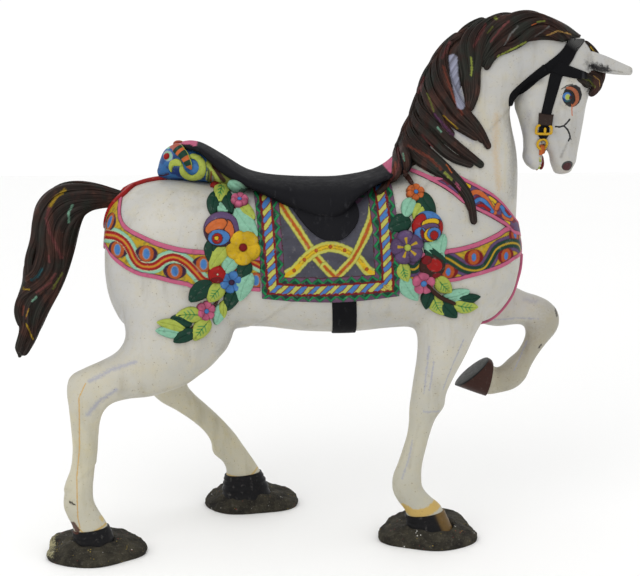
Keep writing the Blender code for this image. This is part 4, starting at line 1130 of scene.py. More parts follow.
HIND_LEFT_ROWS: Points = [
    (-0.225, 0.69, -0.56, 0.76, 0.085, 0.105), (-0.232, 0.595, -0.54, 0.64, 0.115, 0.093),
    (-0.268, 0.515, -0.515, 0.545, 0.138, 0.076), (-0.318, 0.458, -0.5, 0.455, 0.155, 0.06),
    (-0.358, 0.418, -0.494, 0.385, 0.168, 0.05), (-0.374, 0.386, -0.46, 0.337, 0.178, 0.043),
    (-0.356, 0.356, -0.412, 0.305, 0.186, 0.037), (-0.32, 0.32, -0.368, 0.272, 0.194, 0.032),
    (-0.281, 0.28, -0.333, 0.238, 0.201, 0.031), (-0.239, 0.23, -0.313, 0.205, 0.206, 0.034),
    (-0.214, 0.192, -0.306, 0.168, 0.209, 0.036), (-0.186, 0.15, -0.278, 0.14, 0.21, 0.034),
    (-0.168, 0.12, -0.268, 0.11, 0.21, 0.038), (-0.148, 0.075, -0.275, 0.065, 0.21, 0.046),
    (-0.128, 0.01, -0.28, 0.005, 0.21, 0.054),
]
FORE_RIGHT_ROWS: Points = [
    (0.49, 0.74, 0.27, 0.74, -0.08, 0.088), (0.455, 0.645, 0.248, 0.64, -0.092, 0.078),
    (0.42, 0.58, 0.257, 0.58, -0.099, 0.064), (0.395, 0.525, 0.257, 0.53, -0.103, 0.054),
    (0.362, 0.463, 0.248, 0.463, -0.106, 0.047), (0.343, 0.42, 0.242, 0.42, -0.108, 0.044),
    (0.337, 0.385, 0.237, 0.38, -0.11, 0.043), (0.314, 0.35, 0.236, 0.345, -0.11, 0.037),
    (0.3, 0.31, 0.232, 0.308, -0.11, 0.032), (0.288, 0.262, 0.219, 0.262, -0.11, 0.03),
    (0.279, 0.22, 0.206, 0.222, -0.11, 0.032), (0.277, 0.185, 0.193, 0.185, -0.11, 0.036),
    (0.281, 0.155, 0.193, 0.148, -0.11, 0.035), (0.303, 0.128, 0.206, 0.118, -0.11, 0.034),
    (0.331, 0.103, 0.228, 0.088, -0.11, 0.04), (0.348, 0.065, 0.236, 0.055, -0.11, 0.047),
    (0.374, 0.01, 0.238, 0.005, -0.11, 0.056),
]
FORE_LEFT_ROWS: Points = [
    (0.5, 0.74, 0.34, 0.64, 0.08, 0.085), (0.55, 0.69, 0.425, 0.585, 0.097, 0.068),
    (0.592, 0.665, 0.5, 0.56, 0.108, 0.055), (0.632, 0.651, 0.552, 0.562, 0.114, 0.048),
    (0.664, 0.635, 0.58, 0.563, 0.118, 0.045), (0.69, 0.608, 0.593, 0.556, 0.12, 0.043),
    (0.698, 0.573, 0.596, 0.543, 0.12, 0.041), (0.688, 0.54, 0.593, 0.525, 0.12, 0.037),
    (0.662, 0.508, 0.586, 0.507, 0.12, 0.033), (0.638, 0.475, 0.573, 0.485, 0.12, 0.03),
    (0.618, 0.44, 0.55, 0.465, 0.12, 0.031), (0.602, 0.402, 0.531, 0.446, 0.12, 0.034),
    (0.572, 0.374, 0.519, 0.439, 0.12, 0.035), (0.53, 0.361, 0.512, 0.44, 0.12, 0.033),
    (0.484, 0.356, 0.505, 0.45, 0.12, 0.039), (0.445, 0.37, 0.5, 0.458, 0.12, 0.046),
    (0.398, 0.388, 0.49, 0.464, 0.12, 0.052),
]
EAR_ROWS: Points = [
    (0.73, 1.346, 0.742, 1.292, -0.04, 0.022), (0.768, 1.333, 0.774, 1.285, -0.047, 0.02),
    (0.802, 1.318, 0.803, 1.282, -0.052, 0.016), (0.835, 1.304, 0.834, 1.281, -0.054, 0.01),
]
TAIL_ROWS: Points = [
    (-0.53, 0.962, -0.555, 0.912, 0.0, 0.026), (-0.6, 0.981, -0.602, 0.926, 0.0, 0.032),
    (-0.655, 0.995, -0.64, 0.918, 0.0, 0.04), (-0.706, 0.992, -0.652, 0.88, 0.0, 0.046),
    (-0.748, 0.97, -0.658, 0.846, 0.0, 0.05), (-0.776, 0.933, -0.669, 0.812, 0.0, 0.053),
    (-0.787, 0.88, -0.684, 0.77, 0.0, 0.055), (-0.785, 0.832, -0.7, 0.73, 0.0, 0.056),
    (-0.812, 0.772, -0.712, 0.695, 0.0, 0.057), (-0.82, 0.722, -0.735, 0.655, 0.0, 0.055),
    (-0.843, 0.65, -0.755, 0.618, 0.0, 0.049), (-0.832, 0.595, -0.778, 0.568, 0.0, 0.038),
    (-0.845, 0.543, -0.803, 0.535, 0.0, 0.027), (-0.838, 0.515, -0.82, 0.514, 0.0, 0.014),
]
MANE_ROWS: Points = [
    (0.668, 1.368, 0.706, 1.39, 0.0, 0.03), (0.645, 1.35, 0.66, 1.421, 0.0, 0.05),
    (0.58, 1.345, 0.592, 1.447, 0.0, 0.062), (0.52, 1.33, 0.512, 1.446, 0.0, 0.068),
    (0.465, 1.305, 0.436, 1.425, 0.0, 0.072), (0.42, 1.26, 0.364, 1.378, 0.0, 0.077),
    (0.385, 1.21, 0.309, 1.302, 0.0, 0.081), (0.355, 1.15, 0.277, 1.23, 0.0, 0.084),
    (0.325, 1.09, 0.257, 1.16, 0.0, 0.088), (0.29, 1.03, 0.238, 1.097, 0.0, 0.084),
    (0.25, 0.99, 0.218, 1.05, 0.0, 0.068),
]
SADDLE_ROWS: Points = [
    (-0.375, 1.103, -0.372, 1.088, 0.0, 0.05), (-0.35, 1.104, -0.35, 1.084, 0.0, 0.08),
    (-0.325, 1.098, -0.325, 1.078, 0.0, 0.096), (-0.3, 1.086, -0.298, 1.052, 0.0, 0.108),
    (-0.257, 1.06, -0.257, 1.014, 0.0, 0.122), (-0.203, 1.025, -0.203, 0.988, 0.0, 0.135),
    (-0.15, 1.01, -0.15, 0.962, 0.0, 0.143), (-0.08, 1.004, -0.08, 0.92, 0.0, 0.16),
    (-0.02, 1.002, -0.02, 0.89, 0.0, 0.176), (0.04, 1.002, 0.04, 0.89, 0.0, 0.178),
    (0.09, 1.006, 0.09, 0.95, 0.0, 0.164), (0.125, 1.012, 0.125, 0.978, 0.0, 0.144),
    (0.164, 1.024, 0.164, 1.0, 0.0, 0.128), (0.198, 1.05, 0.2, 1.01, 0.0, 0.118),
    (0.226, 1.088, 0.24, 1.02, 0.0, 0.1),
]
RAM_HEAD_ROWS: Points = [
    (-0.441, 1.03, -0.432, 1.008, 0.0, 0.022), (-0.434, 1.055, -0.42, 1.003, 0.0, 0.034),
    (-0.42, 1.082, -0.4, 0.999, 0.0, 0.048), (-0.39, 1.098, -0.37, 0.997, 0.0, 0.062),
    (-0.35, 1.098, -0.335, 0.997, 0.0, 0.074), (-0.31, 1.08, -0.3, 0.993, 0.0, 0.086),
    (-0.27, 1.052, -0.262, 0.985, 0.0, 0.098), (-0.23, 1.028, -0.222, 0.97, 0.0, 0.106),
]


# ---------------------------------------------------------------- sheets


def strip(left: Points, right: Points, rows: int, cols: int) -> Array:
    """Grid of places between two edge curves, each crossed at even distances.

    Args:
        left: one edge, in the side view (x, z) or in space.
        right: the other edge, in the same direction.
        rows: places along the edges.
        cols: places from one edge to the other.

    Returns:
        Array (rows, cols, 2 or 3).
    """
    a, b = even(left, rows)[:, None, :], even(right, rows)[:, None, :]
    share = np.linspace(0.0, 1.0, cols)[None, :, None]
    return a * (1 - share) + b * share


def ease(grid: Array, rounds: int) -> Array:
    """Even a grid of values out by that many rounds of averaging with its four neighbours."""
    for _ in range(rounds):
        padded = np.pad(grid, ((1, 1), (1, 1), (0, 0)), mode="edge")
        mean = (padded[:-2, 1:-1] + padded[2:, 1:-1] + padded[1:-1, :-2] + padded[1:-1, 2:]) / 4
        grid = 0.4 * grid + 0.6 * mean
    return grid


def in_space(flat: Array, y: float = 0.0) -> Array:
    """Places (x, z) of the side view as points in space at that y."""
    return np.stack([flat[..., 0], np.full(flat.shape[:-1], y), flat[..., 1]], axis=-1)


def laid(ground: Ground, places: Array, side: Side | None, lift: Array, sink: float, paint: Array,
         rounds: int = 6) -> Solid:
    """A sheet that follows the ground: each point stands its own lift above it.

    Args:
        ground: what it lies on.
        places: array (rows, cols, 3).
        side: the side it slides in from, or None for the nearest place.
        lift: array (rows, cols) of heights above the ground.
        sink: how deep the sheet's walls go into the ground.
        paint: array (rows, cols, 3).
        rounds: rounds of evening out, which carry it over small dips.

    Returns:
        Closed Solid.
    """
    on, normal = ground.lay(places, side)
    on, normal = ease(on, rounds), ease(normal, 2 * rounds)
    normal = normal / np.maximum(np.linalg.norm(normal, axis=-1, keepdims=True), 1e-9)
    return slab(on + normal * lift[..., None], -normal * (lift[..., None] + sink), paint)


def rounded(shape: tuple[int, int], size: tuple[float, float], lift: float, radius: float) -> Array:
    """Heights of a flat sheet whose edges are rounded: lift x sqrt(1 - (1 - d / radius)^2) near them.

    Args:
        shape: rows and columns.
        size: rough length along the rows and along the columns, in metres.
        lift: height of the flat.
        radius: breadth of the rounding, in metres.

    Returns:
        Array of heights of that shape.
    """
    down = np.minimum(np.linspace(0, 1, shape[0]), np.linspace(1, 0, shape[0]))[:, None] * size[0]
    over = np.minimum(np.linspace(0, 1, shape[1]), np.linspace(1, 0, shape[1]))[None, :] * size[1]
    inset = np.clip(np.minimum(down, over) / radius, 0.0, 1.0)
    return lift * np.sqrt(np.clip(1 - (1 - inset) ** 2, 0.0, 1.0))


# ---------------------------------------------------------------- the white horse


@dataclass
class WhiteHorse:
    """The carved body, neck and legs, and the head, which meet under the bridle's crown strap."""

    body_voxel: float = 0.0046
    head_voxel: float = 0.0024
    body_share: float = 0.27
    head_share: float = 0.34
    fillet_rounds: int = 42
    seam: tuple[float, float] = (0.72, 1.375)
    seam_normal: tuple[float, float] = (0.641, -0.768)
    tuck: float = 0.0035
    swell: float = 0.0012
    body: Skin | None = None
    head: Skin | None = None

    def build(self) -> None:
        """Fuse the lofts of the body and of the head, fill their inner corners and carve them."""
        body = [tube(loft(TRUNK_ROWS, sides=72, steps=8, power=2.3, dome=0.1)),
                tube(loft(NECK_ROWS, sides=64, steps=8, power=2.1, egg=0.12)),
                tube(loft(FORE_LEFT_ROWS, sides=56, steps=8, dome=0.0))]
        body += [tube(loft(rows, sides=56, steps=8, dome=0.0))
                 for rows in (HIND_RIGHT_ROWS, HIND_LEFT_ROWS, FORE_RIGHT_ROWS)]
        self.body = Skin(*fused("body", body, self.body_voxel))
        self.body.smooth(3)
        self.body.fill(self.fillet_rounds, smooth_step((self.body.points[:, 2] - 0.44) / 0.1))
        self.carve_body()
        self.body.smooth(2, 0.4)
        slender = smooth_step((np.abs(self.body.points[:, 2] - 0.8) - 0.15) / 0.1)
        self.body.points += (self.swell * slender)[:, None] * self.body.normals()
        head = [tube(loft(HEAD_ROWS, sides=64, steps=8, power=2.3)),
                tube(loft(JAW_ROWS, sides=48, steps=8, power=2.2)),
                tube(loft(NECK_ROWS[5:], sides=48, steps=8, power=2.1, egg=0.12)),
                tube(loft(EAR_ROWS, sides=36, steps=10)), tube(loft(mirrored(EAR_ROWS), sides=36, steps=10))]
        self.head = Skin(*fused("head", head, self.head_voxel))
        self.head.smooth(4)
        self.head.fill(8, np.ones(len(self.head.points)))
        self.carve_head()
        self.head.smooth(2, 0.4)
        for skin, sign in ((self.body, 1.0), (self.head, -1.0)):
            reach = (skin.points[:, [0, 2]] - self.seam) @ np.array(self.seam_normal) * sign
            skin.points -= self.tuck * smooth_step(reach / 0.008)[:, None] * skin.normals()

    def carve_body(self) -> None:
        """Muscles, folds and tendons, as furrows and ridges on the sides that show them."""
        for side in Side:
            for line, width, depth in BODY_FURROWS:
                self.body.carve(line, width, depth, side)
        for line, width, depth in LEG_FURROWS:
            for side in Side:
                self.body.carve(line, width, depth, side)

    def carve_head(self) -> None:
        """Cheek, eye sockets, nostrils and mouth."""
        for side in Side:
            for line, width, depth in HEAD_FURROWS:
                self.head.carve(line, width, depth, side)

    def dress(self, finish: Material, face: Material) -> None:
        """Make both pieces, with their painted shade and grime, and put them in place of the plain solid."""
        for name, skin, gain, paint, share in (("white_body", self.body, 1.0, finish, self.body_share),
                                               ("white_head", self.head, 0.8, face, self.head_share)):
            mesh = mesh_of(name, skin.solid())
            # Painted shade mixed with grime: crease depth, plus darkening towards the bottom.
            low = smooth_step((0.5 - skin.points[:, 2]) / 0.55) * 0.16
            set_value(mesh, "Grime", np.clip(skin.hollows(5) * gain + low, 0.0, 1.0))
            piece = place_mesh(mesh, name, paint, sharp=80.0)
            thin(piece, share)
            if skin is self.body:
                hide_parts("horse")


BODY_FURROWS = [
    ([(0.36, 0.74), (0.3, 0.66), (0.25, 0.6)], 0.03, 0.004),
    ([(-0.24, 0.74), (-0.3, 0.66), (-0.28, 0.6)], 0.035, 0.005),
    ([(0.47, 1.16), (0.46, 1.08), (0.47, 1.0)], 0.022, 0.003),
    ([(0.51, 1.14), (0.505, 1.05)], 0.012, -0.002),
]
LEG_FURROWS = [
    ([(-0.48, 0.47), (-0.56, 0.45), (-0.61, 0.42)], 0.012, 0.003),
    ([(-0.65, 0.4), (-0.655, 0.3), (-0.665, 0.22)], 0.007, 0.003),
    ([(-0.64, 0.46), (-0.64, 0.4)], 0.012, -0.004),
    ([(0.262, 0.34), (0.25, 0.28), (0.238, 0.22)], 0.007, 0.003),
    ([(0.29, 0.43), (0.29, 0.38)], 0.018, -0.003),
    ([(0.6, 0.53), (0.59, 0.49), (0.575, 0.45)], 0.007, 0.0028),
]
HEAD_FURROWS = [
    ([(0.674, 1.226), (0.686, 1.222)], 0.022, 0.006),
    ([(0.64, 1.25), (0.665, 1.262), (0.695, 1.256)], 0.008, -0.004),
    ([(0.645, 1.205), (0.665, 1.19), (0.69, 1.18)], 0.009, 0.003),
    ([(0.56, 1.215), (0.575, 1.165), (0.6, 1.13)], 0.012, -0.003),
    ([(0.635, 1.125), (0.65, 1.085), (0.655, 1.05)], 0.01, 0.003),
    ([(0.676, 1.04), (0.69, 1.037)], 0.008, 0.006),
    ([(0.655, 1.06), (0.665, 1.08)], 0.006, 0.002),
]


@dataclass
class Hooves:
    """Four dark hooves, each a ridged shell a little outside the foot."""

    swell: float = 0.002
    shells: int = 56

    def shell(self, rows: Points, ridge: float, drop: float) -> Solid:
        """Rings whose size wavers by the share ridge, the top one lowered by drop of the first step."""
        top = [(1 - drop) * a + drop * b for a, b in zip(rows[0], rows[1])]
        rings = loft([tuple(top)] + rows[1:], self.shells, 24, dome=0.06, swell=self.swell)
        middle = rings.mean(axis=1, keepdims=True)
        t = np.linspace(0.0, 1.0, len(rings))[:, None, None]
        wave = ridge * np.sin(6 * 2 * math.pi * t) * np.sin(math.pi * t)
        return tube(middle + (rings - middle) * (1 + wave))

    def dress(self, finish: Material) -> None:
        """Make the four hooves: gold toe on the near fore, brown wall and grey sole on the raised one."""
        for name, rows, ridge, drop in (
                ("hind_right", HIND_RIGHT_ROWS, 0.006, 0.3), ("hind_left", HIND_LEFT_ROWS, 0.022, 0.2),
                ("fore_right", FORE_RIGHT_ROWS, 0.006, 0.38), ("fore_left", FORE_LEFT_ROWS, 0.0, 0.0)):
            shell = self.shell(rows[-3:], ridge, drop)
            place = shell.points[:, [0, 2]]
            brush = Brush(Pot.BLACK, len(place))
            if name == "fore_right":
                toe = place[:, 0] - 0.298 - 0.45 * (0.1 - place[:, 1])
                brush.lay(0.9 * smooth_step(toe / 0.012), Pot.TOE_GOLD)
                brush.lay(near(np.hypot(place[:, 0] - 0.226, place[:, 1] - 0.092), 0.012), Pot.BROWN)
            if name == "hind_right":
                brush.lay(near(np.hypot(place[:, 0] + 0.668, place[:, 1] - 0.085), 0.013), Pot.RUST_BROWN)
            if name == "fore_left":
                brush.lay(np.ones(len(place)), Pot.HOOF_BROWN)
                ring = np.append(np.repeat(np.arange(len(place) // self.shells), self.shells), [0, 999])
                last = len(place) // self.shells
                brush.lay(ring > last - 9, Pot.BLACK)
                brush.lay(ring > last - 6, Pot.SOLE)
            add_piece(f"hoof_{name}", [shell.painted(brush.colour)], finish)


# ---------------------------------------------------------------- hair


LOCK_SHAPE = (0.6, 0.95, 1.0, 1.0, 0.9, 0.62)


def lock(ground: Ground | None, line: Points, half: float, side: Side, ribs: int = 7, rise: float = 0.35,
         y: float = 0.0, count: int = 50, shape: tuple[float, ...] = LOCK_SHAPE, sides: int = 22,
         flat: float = 0.8) -> Solid:
    """One carved lock: a ribbed rod along a line, with blunt, rounded ends.

    Within its own breadth of an end the rod is drawn in by sqrt(1 - (1 - d)^2), where d is the distance
    to the end in half breadths; rings stand four times closer there.

    Args:
        ground: what it lies on, or None for a lock that stands at y.
        line: points (x, z) from the root to the tip.
        half: half breadth where it is fullest, in metres.
        side: the side of the horse it lies on.
        ribs: strands round it.
        rise: how far its middle stands off the ground, as a share of its half breadth.
        y: place across the horse, where there is no ground.
        count: rings along it.
        shape: its breadth at equal steps from root to tip, as shares of the fullest.
        sides: points round it.
        flat: its height as a share of its breadth.

    Returns:
        Closed Solid.
    """
    fine = even(line, 4 * count)
    t = np.linspace(0.0, 1.0, count)
    t = t - 0.12 * np.sin(2 * math.pi * t)
    place = np.linspace(0.0, 1.0, len(fine))
    path = in_space(np.stack([np.interp(t, place, column) for column in fine.T], axis=1), y)
    length = float(np.linalg.norm(np.diff(fine, axis=0), axis=1).sum())
    breadth = half * np.interp(t, np.linspace(0.0, 1.0, 60), curve([(share,) for share in shape], 60)[:, 0])
    end = np.clip(length * np.minimum(t, 1 - t) / breadth, 0.0, 1.0)
    size = breadth * np.sqrt(np.clip(1 - (1 - end) ** 2, 0.001, 1.0))
    out = np.broadcast_to([0.0, float(side.value), 0.0], path.shape).copy()
    if ground is not None:
        path, out = ground.lay(path, side)
        for _ in range(6):
            path[1:-1] = 0.5 * path[1:-1] + 0.25 * (path[2:] + path[:-2])
            out[1:-1] = 0.5 * out[1:-1] + 0.25 * (out[2:] + out[:-2])
        out /= np.linalg.norm(out, axis=1, keepdims=True)
        path = path + out * (breadth * rise)[:, None]
    way = np.gradient(path, axis=0)
    way /= np.linalg.norm(way, axis=1, keepdims=True)
    across = np.cross(way, out)
    across /= np.linalg.norm(across, axis=1, keepdims=True)
    return rod(path, across, np.cross(across, way), size, size * flat, sides, ribs, 0.24, 1.3)


@dataclass
class Mane:
    """A dark core over the crest of the neck, and long combed locks that fall over each side."""

    core: Solid | None = None

    def build(self) -> None:
        """Work the core out from its sections."""
        self.core = tube(loft(MANE_ROWS, sides=56, steps=8, swell=-0.002)).painted(Pot.HAIR.rgb)

    def dress(self, ground: Ground, finish: Material) -> None:
        """Lay the locks over the neck and the core, and make the pieces."""
        add_piece("mane_core", [self.core], finish)
        for name, side, swell, rows in (("mane_locks_right", Side.RIGHT, 1.0, MANE_LOCKS),
                                        ("mane_locks_left", Side.LEFT, 1.25, MANE_LOCKS[::2])):
            locks = [lock(ground, line, half * swell, side).painted(Pot.HAIR.rgb) for line, half in rows]
            add_piece(name, locks, finish)
        tufts = [lock(None, line, half, Side.RIGHT, y=y).painted(Pot.HAIR.rgb)
                 for line, half, y in FORELOCKS]
        add_piece("forelock", tufts, finish)


def strokes(rows: list[tuple[Pot, float, Points]], share: float = 0.72) -> tuple[Stroke, ...]:
    """Loose strokes of one strength, from rows of colour, half breadth and line."""
    return tuple(Stroke(line, half, pot, share, 0.85, 0.5) for pot, half, line in rows)


MANE_STREAKS = strokes([
    (Pot.LIME, 0.0036, [(0.47, 1.332), (0.506, 1.351), (0.545, 1.37)]),
    (Pot.LIME, 0.005, [(0.467, 1.432), (0.468, 1.433)]),
    (Pot.OLIVE, 0.0032, [(0.455, 1.411), (0.441, 1.395)]),
    (Pot.STREAK_ROSE, 0.0044, [(0.439, 1.416), (0.421, 1.39), (0.404, 1.36)]),
    (Pot.STREAK_ROSE, 0.0032, [(0.498, 1.424), (0.472, 1.401), (0.449, 1.372)]),
    # Painted highlight: a long grey gleam along a lock.
    (Pot.GREY, 0.003, [(0.522, 1.413), (0.502, 1.392), (0.486, 1.363)]),
    (Pot.LIME, 0.0034, [(0.396, 1.33), (0.399, 1.305), (0.398, 1.284)]),
    (Pot.STREAK_RUST, 0.0046, [(0.326, 1.305), (0.337, 1.264), (0.353, 1.219), (0.374, 1.181)]),
    (Pot.OLIVE, 0.0034, [(0.284, 1.234), (0.298, 1.19)]),
    (Pot.STREAK_PURPLE, 0.005, [(0.3, 1.181), (0.327, 1.151), (0.35, 1.126)]),
    (Pot.MUSTARD, 0.0024, [(0.324, 1.178), (0.361, 1.144)]),
    (Pot.MINT, 0.0034, [(0.308, 1.147), (0.318, 1.136)]),
    (Pot.STREAK_ROSE, 0.004, [(0.348, 1.369), (0.324, 1.328)]),
    (Pot.STREAK_ROSE, 0.004, [(0.28, 1.276), (0.266, 1.234)]),
    (Pot.STREAK_RUST, 0.005, [(0.235, 1.095), (0.286, 1.068), (0.316, 1.038)]),
    (Pot.ORANGE, 0.0022, [(0.331, 1.05), (0.344, 1.029)]),
    (Pot.LIME, 0.0042, [(0.326, 1.029), (0.344, 1.011)]),
    (Pot.STREAK_ROSE, 0.0032, [(0.269, 1.125), (0.295, 1.095)]),
    (Pot.MINT, 0.0026, [(0.217, 1.077), (0.219, 1.059)]),
    (Pot.PINK, 0.0046, [(0.357, 1.001), (0.365, 0.985)]),
    (Pot.STREAK_RUST, 0.0046, [(0.196, 1.053), (0.187, 1.017), (0.177, 0.991)]),
    (Pot.ORANGE, 0.0022, [(0.56, 1.415), (0.571, 1.42)]),
    (Pot.LIME, 0.0026, [(0.573, 1.423), (0.595, 1.426)]),
    (Pot.STREAK_ROSE, 0.003, [(0.482, 1.412), (0.499, 1.426)]),
    (Pot.GREY, 0.0026, [(0.569, 1.385), (0.607, 1.412)]),
    (Pot.OCHRE, 0.0026, [(0.602, 1.388), (0.632, 1.4), (0.671, 1.39)]),
    (Pot.YELLOW, 0.0024, [(0.73, 1.3565), (0.7465, 1.337)]),
    (Pot.OLIVE, 0.003, [(0.698, 1.277), (0.722, 1.268), (0.737, 1.25)]),
    (Pot.OCHRE, 0.002, [(0.734, 1.28), (0.751, 1.268), (0.751, 1.252)]),
    (Pot.STREAK_ROSE, 0.0038, [(0.211, 1.085), (0.203, 1.045), (0.184, 1.005)]),
])
MANE_STREAKS += (Stroke([(0.352, 1.327), (0.353, 1.285), (0.363, 1.24), (0.37, 1.206)], 0.0115,
                        Pot.BLUE_GREY, 0.95, 0.4, 0.15),)
TAIL_STREAKS = strokes([
    (Pot.MUSTARD, 0.0055, [(-0.688, 0.979), (-0.712, 0.96), (-0.727, 0.938)]),
    (Pot.STREAK_ROSE, 0.0052,
     [(-0.729, 0.933), (-0.738, 0.907), (-0.731, 0.873), (-0.715, 0.835), (-0.7, 0.798)]),
    (Pot.MINT, 0.0038, [(-0.667, 0.94), (-0.678, 0.92), (-0.679, 0.893)]),
    (Pot.STREAK_ROSE, 0.004, [(-0.734, 0.805), (-0.732, 0.788)]),
    (Pot.TEAL, 0.005, [(-0.754, 0.768), (-0.762, 0.752), (-0.782, 0.737)]),
    (Pot.STREAK_ROSE, 0.0042, [(-0.719, 0.754), (-0.732, 0.73), (-0.769, 0.705)]),
    (Pot.OLIVE, 0.0038, [(-0.701, 0.754), (-0.726, 0.713)]),
    (Pot.MUSTARD, 0.0028, [(-0.809, 0.712), (-0.789, 0.712)]),
    (Pot.MINT, 0.0038, [(-0.782, 0.681), (-0.77, 0.691)]),
    (Pot.STREAK_ROSE, 0.003, [(-0.793, 0.659), (-0.802, 0.631)]),
    (Pot.MUSTARD, 0.0018, [(-0.791, 0.66), (-0.8, 0.638)]),
    (Pot.MUSTARD, 0.0026, [(-0.801, 0.617), (-0.786, 0.57)]),
    (Pot.STREAK_RUST, 0.0034, [(-0.806, 0.666), (-0.81, 0.642)]),
])


MANE_LOCKS = [
    ([(0.655, 1.375), (0.61, 1.4), (0.565, 1.4), (0.525, 1.37), (0.465, 1.34), (0.437, 1.297)], 0.0148),
    ([(0.67, 1.38), (0.615, 1.415), (0.565, 1.42), (0.495, 1.385), (0.44, 1.337), (0.431, 1.304)], 0.0148),
    ([(0.635, 1.412), (0.58, 1.433), (0.525, 1.425), (0.458, 1.383), (0.424, 1.328), (0.42, 1.304)], 0.0148),
    ([(0.61, 1.424), (0.558, 1.436), (0.516, 1.432), (0.45, 1.396), (0.416, 1.346)], 0.0148),
    ([(0.535, 1.432), (0.49, 1.426), (0.435, 1.382), (0.41, 1.316), (0.411, 1.245), (0.394, 1.188)], 0.0158),
    ([(0.49, 1.434), (0.452, 1.422), (0.404, 1.378), (0.394, 1.316), (0.401, 1.24), (0.392, 1.192)], 0.0148),
    ([(0.448, 1.427), (0.42, 1.41), (0.384, 1.368), (0.38, 1.305), (0.392, 1.228), (0.388, 1.197)], 0.014),
    ([(0.402, 1.404), (0.352, 1.362), (0.33, 1.305), (0.354, 1.222), (0.414, 1.148), (0.448, 1.088)], 0.015),
    ([(0.384, 1.388), (0.33, 1.34), (0.312, 1.268), (0.346, 1.198), (0.409, 1.136), (0.433, 1.106)], 0.0158),
    ([(0.362, 1.37), (0.31, 1.312), (0.3, 1.237), (0.338, 1.172), (0.394, 1.131), (0.418, 1.116)], 0.0158),
    ([(0.322, 1.338), (0.288, 1.268), (0.288, 1.228), (0.321, 1.157), (0.353, 1.123)], 0.0158),
    ([(0.304, 1.31), (0.27, 1.235), (0.266, 1.202), (0.309, 1.142), (0.358, 1.097), (0.431, 1.042)], 0.0158),
    ([(0.282, 1.272), (0.252, 1.202), (0.255, 1.163), (0.304, 1.105), (0.347, 1.068), (0.404, 1.045)],
     0.0148),
    ([(0.268, 1.25), (0.238, 1.17), (0.26, 1.102), (0.317, 1.05), (0.385, 0.972), (0.402, 0.892)], 0.0158),
    ([(0.252, 1.216), (0.226, 1.14), (0.254, 1.084), (0.315, 1.036), (0.37, 0.985), (0.396, 0.925)], 0.015),
    ([(0.238, 1.165), (0.23, 1.12), (0.252, 1.066), (0.3, 1.034), (0.343, 1.01)], 0.014),
    ([(0.238, 1.14), (0.226, 1.095), (0.226, 1.062), (0.222, 1.03)], 0.012),
    ([(0.234, 1.15), (0.215, 1.115), (0.21, 1.08), (0.202, 1.041), (0.18, 0.999), (0.147, 0.97)], 0.0138),
]
FORELOCKS = [
    ([(0.712, 1.37), (0.732, 1.348), (0.752, 1.318), (0.762, 1.285), (0.752, 1.252), (0.726, 1.23)],
     0.015, -0.01),
    ([(0.714, 1.37), (0.742, 1.338), (0.758, 1.3), (0.757, 1.262), (0.738, 1.236)], 0.015, 0.012),
    ([(0.7, 1.284), (0.728, 1.28), (0.748, 1.272), (0.746, 1.25), (0.73, 1.232)], 0.0145, -0.04),
    ([(0.686, 1.28), (0.712, 1.277), (0.738, 1.262), (0.74, 1.244), (0.724, 1.226)], 0.0125, -0.052),
    ([(0.684, 1.274), (0.704, 1.266), (0.722, 1.25)], 0.01, -0.062),
    ([(0.69, 1.282), (0.716, 1.278), (0.74, 1.264), (0.742, 1.244), (0.726, 1.228)], 0.0135, 0.048),
]


@dataclass
class Tail:
    """A thick body of hair that arches from the dock, with six long strands down each side."""

    half: float = 0.0165
    rings: int = 64
    shape: tuple[float, ...] = (0.55, 0.85, 1.0, 1.0, 1.0, 0.8)
    core: Solid | None = None

    def build(self) -> None:
        """Work the core out from its sections, a little inside the strands."""
        self.core = tube(loft(TAIL_ROWS, sides=48, steps=6, swell=-0.004)).painted(Pot.HAIR.rgb)

    def dress(self, finish: Material) -> None:
        """Lay the strands over the core, and make the pieces."""
        ground = Ground([self.core])
        add_piece("tail_core", [self.core], finish)
        for side, name in ((Side.RIGHT, "tail_strands_right"), (Side.LEFT, "tail_strands_left")):
            strands = [lock(ground, line, self.half, side, count=self.rings, shape=self.shape)
                       for line in TAIL_STRANDS]
            add_piece(name, [strand.painted(Pot.HAIR.rgb) for strand in strands], finish)
        ground.remove()


TAIL_STRANDS = [
    [(-0.535, 0.957), (-0.63, 0.977), (-0.71, 0.97), (-0.757, 0.912), (-0.766, 0.846), (-0.786, 0.788),
     (-0.788, 0.746)],
    [(-0.537, 0.952), (-0.637, 0.964), (-0.706, 0.948), (-0.745, 0.893), (-0.749, 0.818), (-0.768, 0.762),
     (-0.797, 0.731)],
    [(-0.54, 0.948), (-0.647, 0.951), (-0.712, 0.918), (-0.733, 0.863), (-0.729, 0.79), (-0.757, 0.732),
     (-0.8, 0.698), (-0.82, 0.65), (-0.81, 0.605)],
    [(-0.545, 0.944), (-0.64, 0.938), (-0.694, 0.899), (-0.715, 0.839), (-0.713, 0.77), (-0.75, 0.72),
     (-0.796, 0.675), (-0.8, 0.615), (-0.828, 0.532)],
    [(-0.551, 0.94), (-0.63, 0.932), (-0.677, 0.888), (-0.696, 0.825), (-0.708, 0.752), (-0.752, 0.697),
     (-0.78, 0.64), (-0.793, 0.578), (-0.822, 0.523)],
    [(-0.575, 0.94), (-0.64, 0.927), (-0.671, 0.88), (-0.694, 0.796), (-0.724, 0.714), (-0.763, 0.645),
     (-0.787, 0.59), (-0.808, 0.552)],
]


# ---------------------------------------------------------------- saddle and cloth


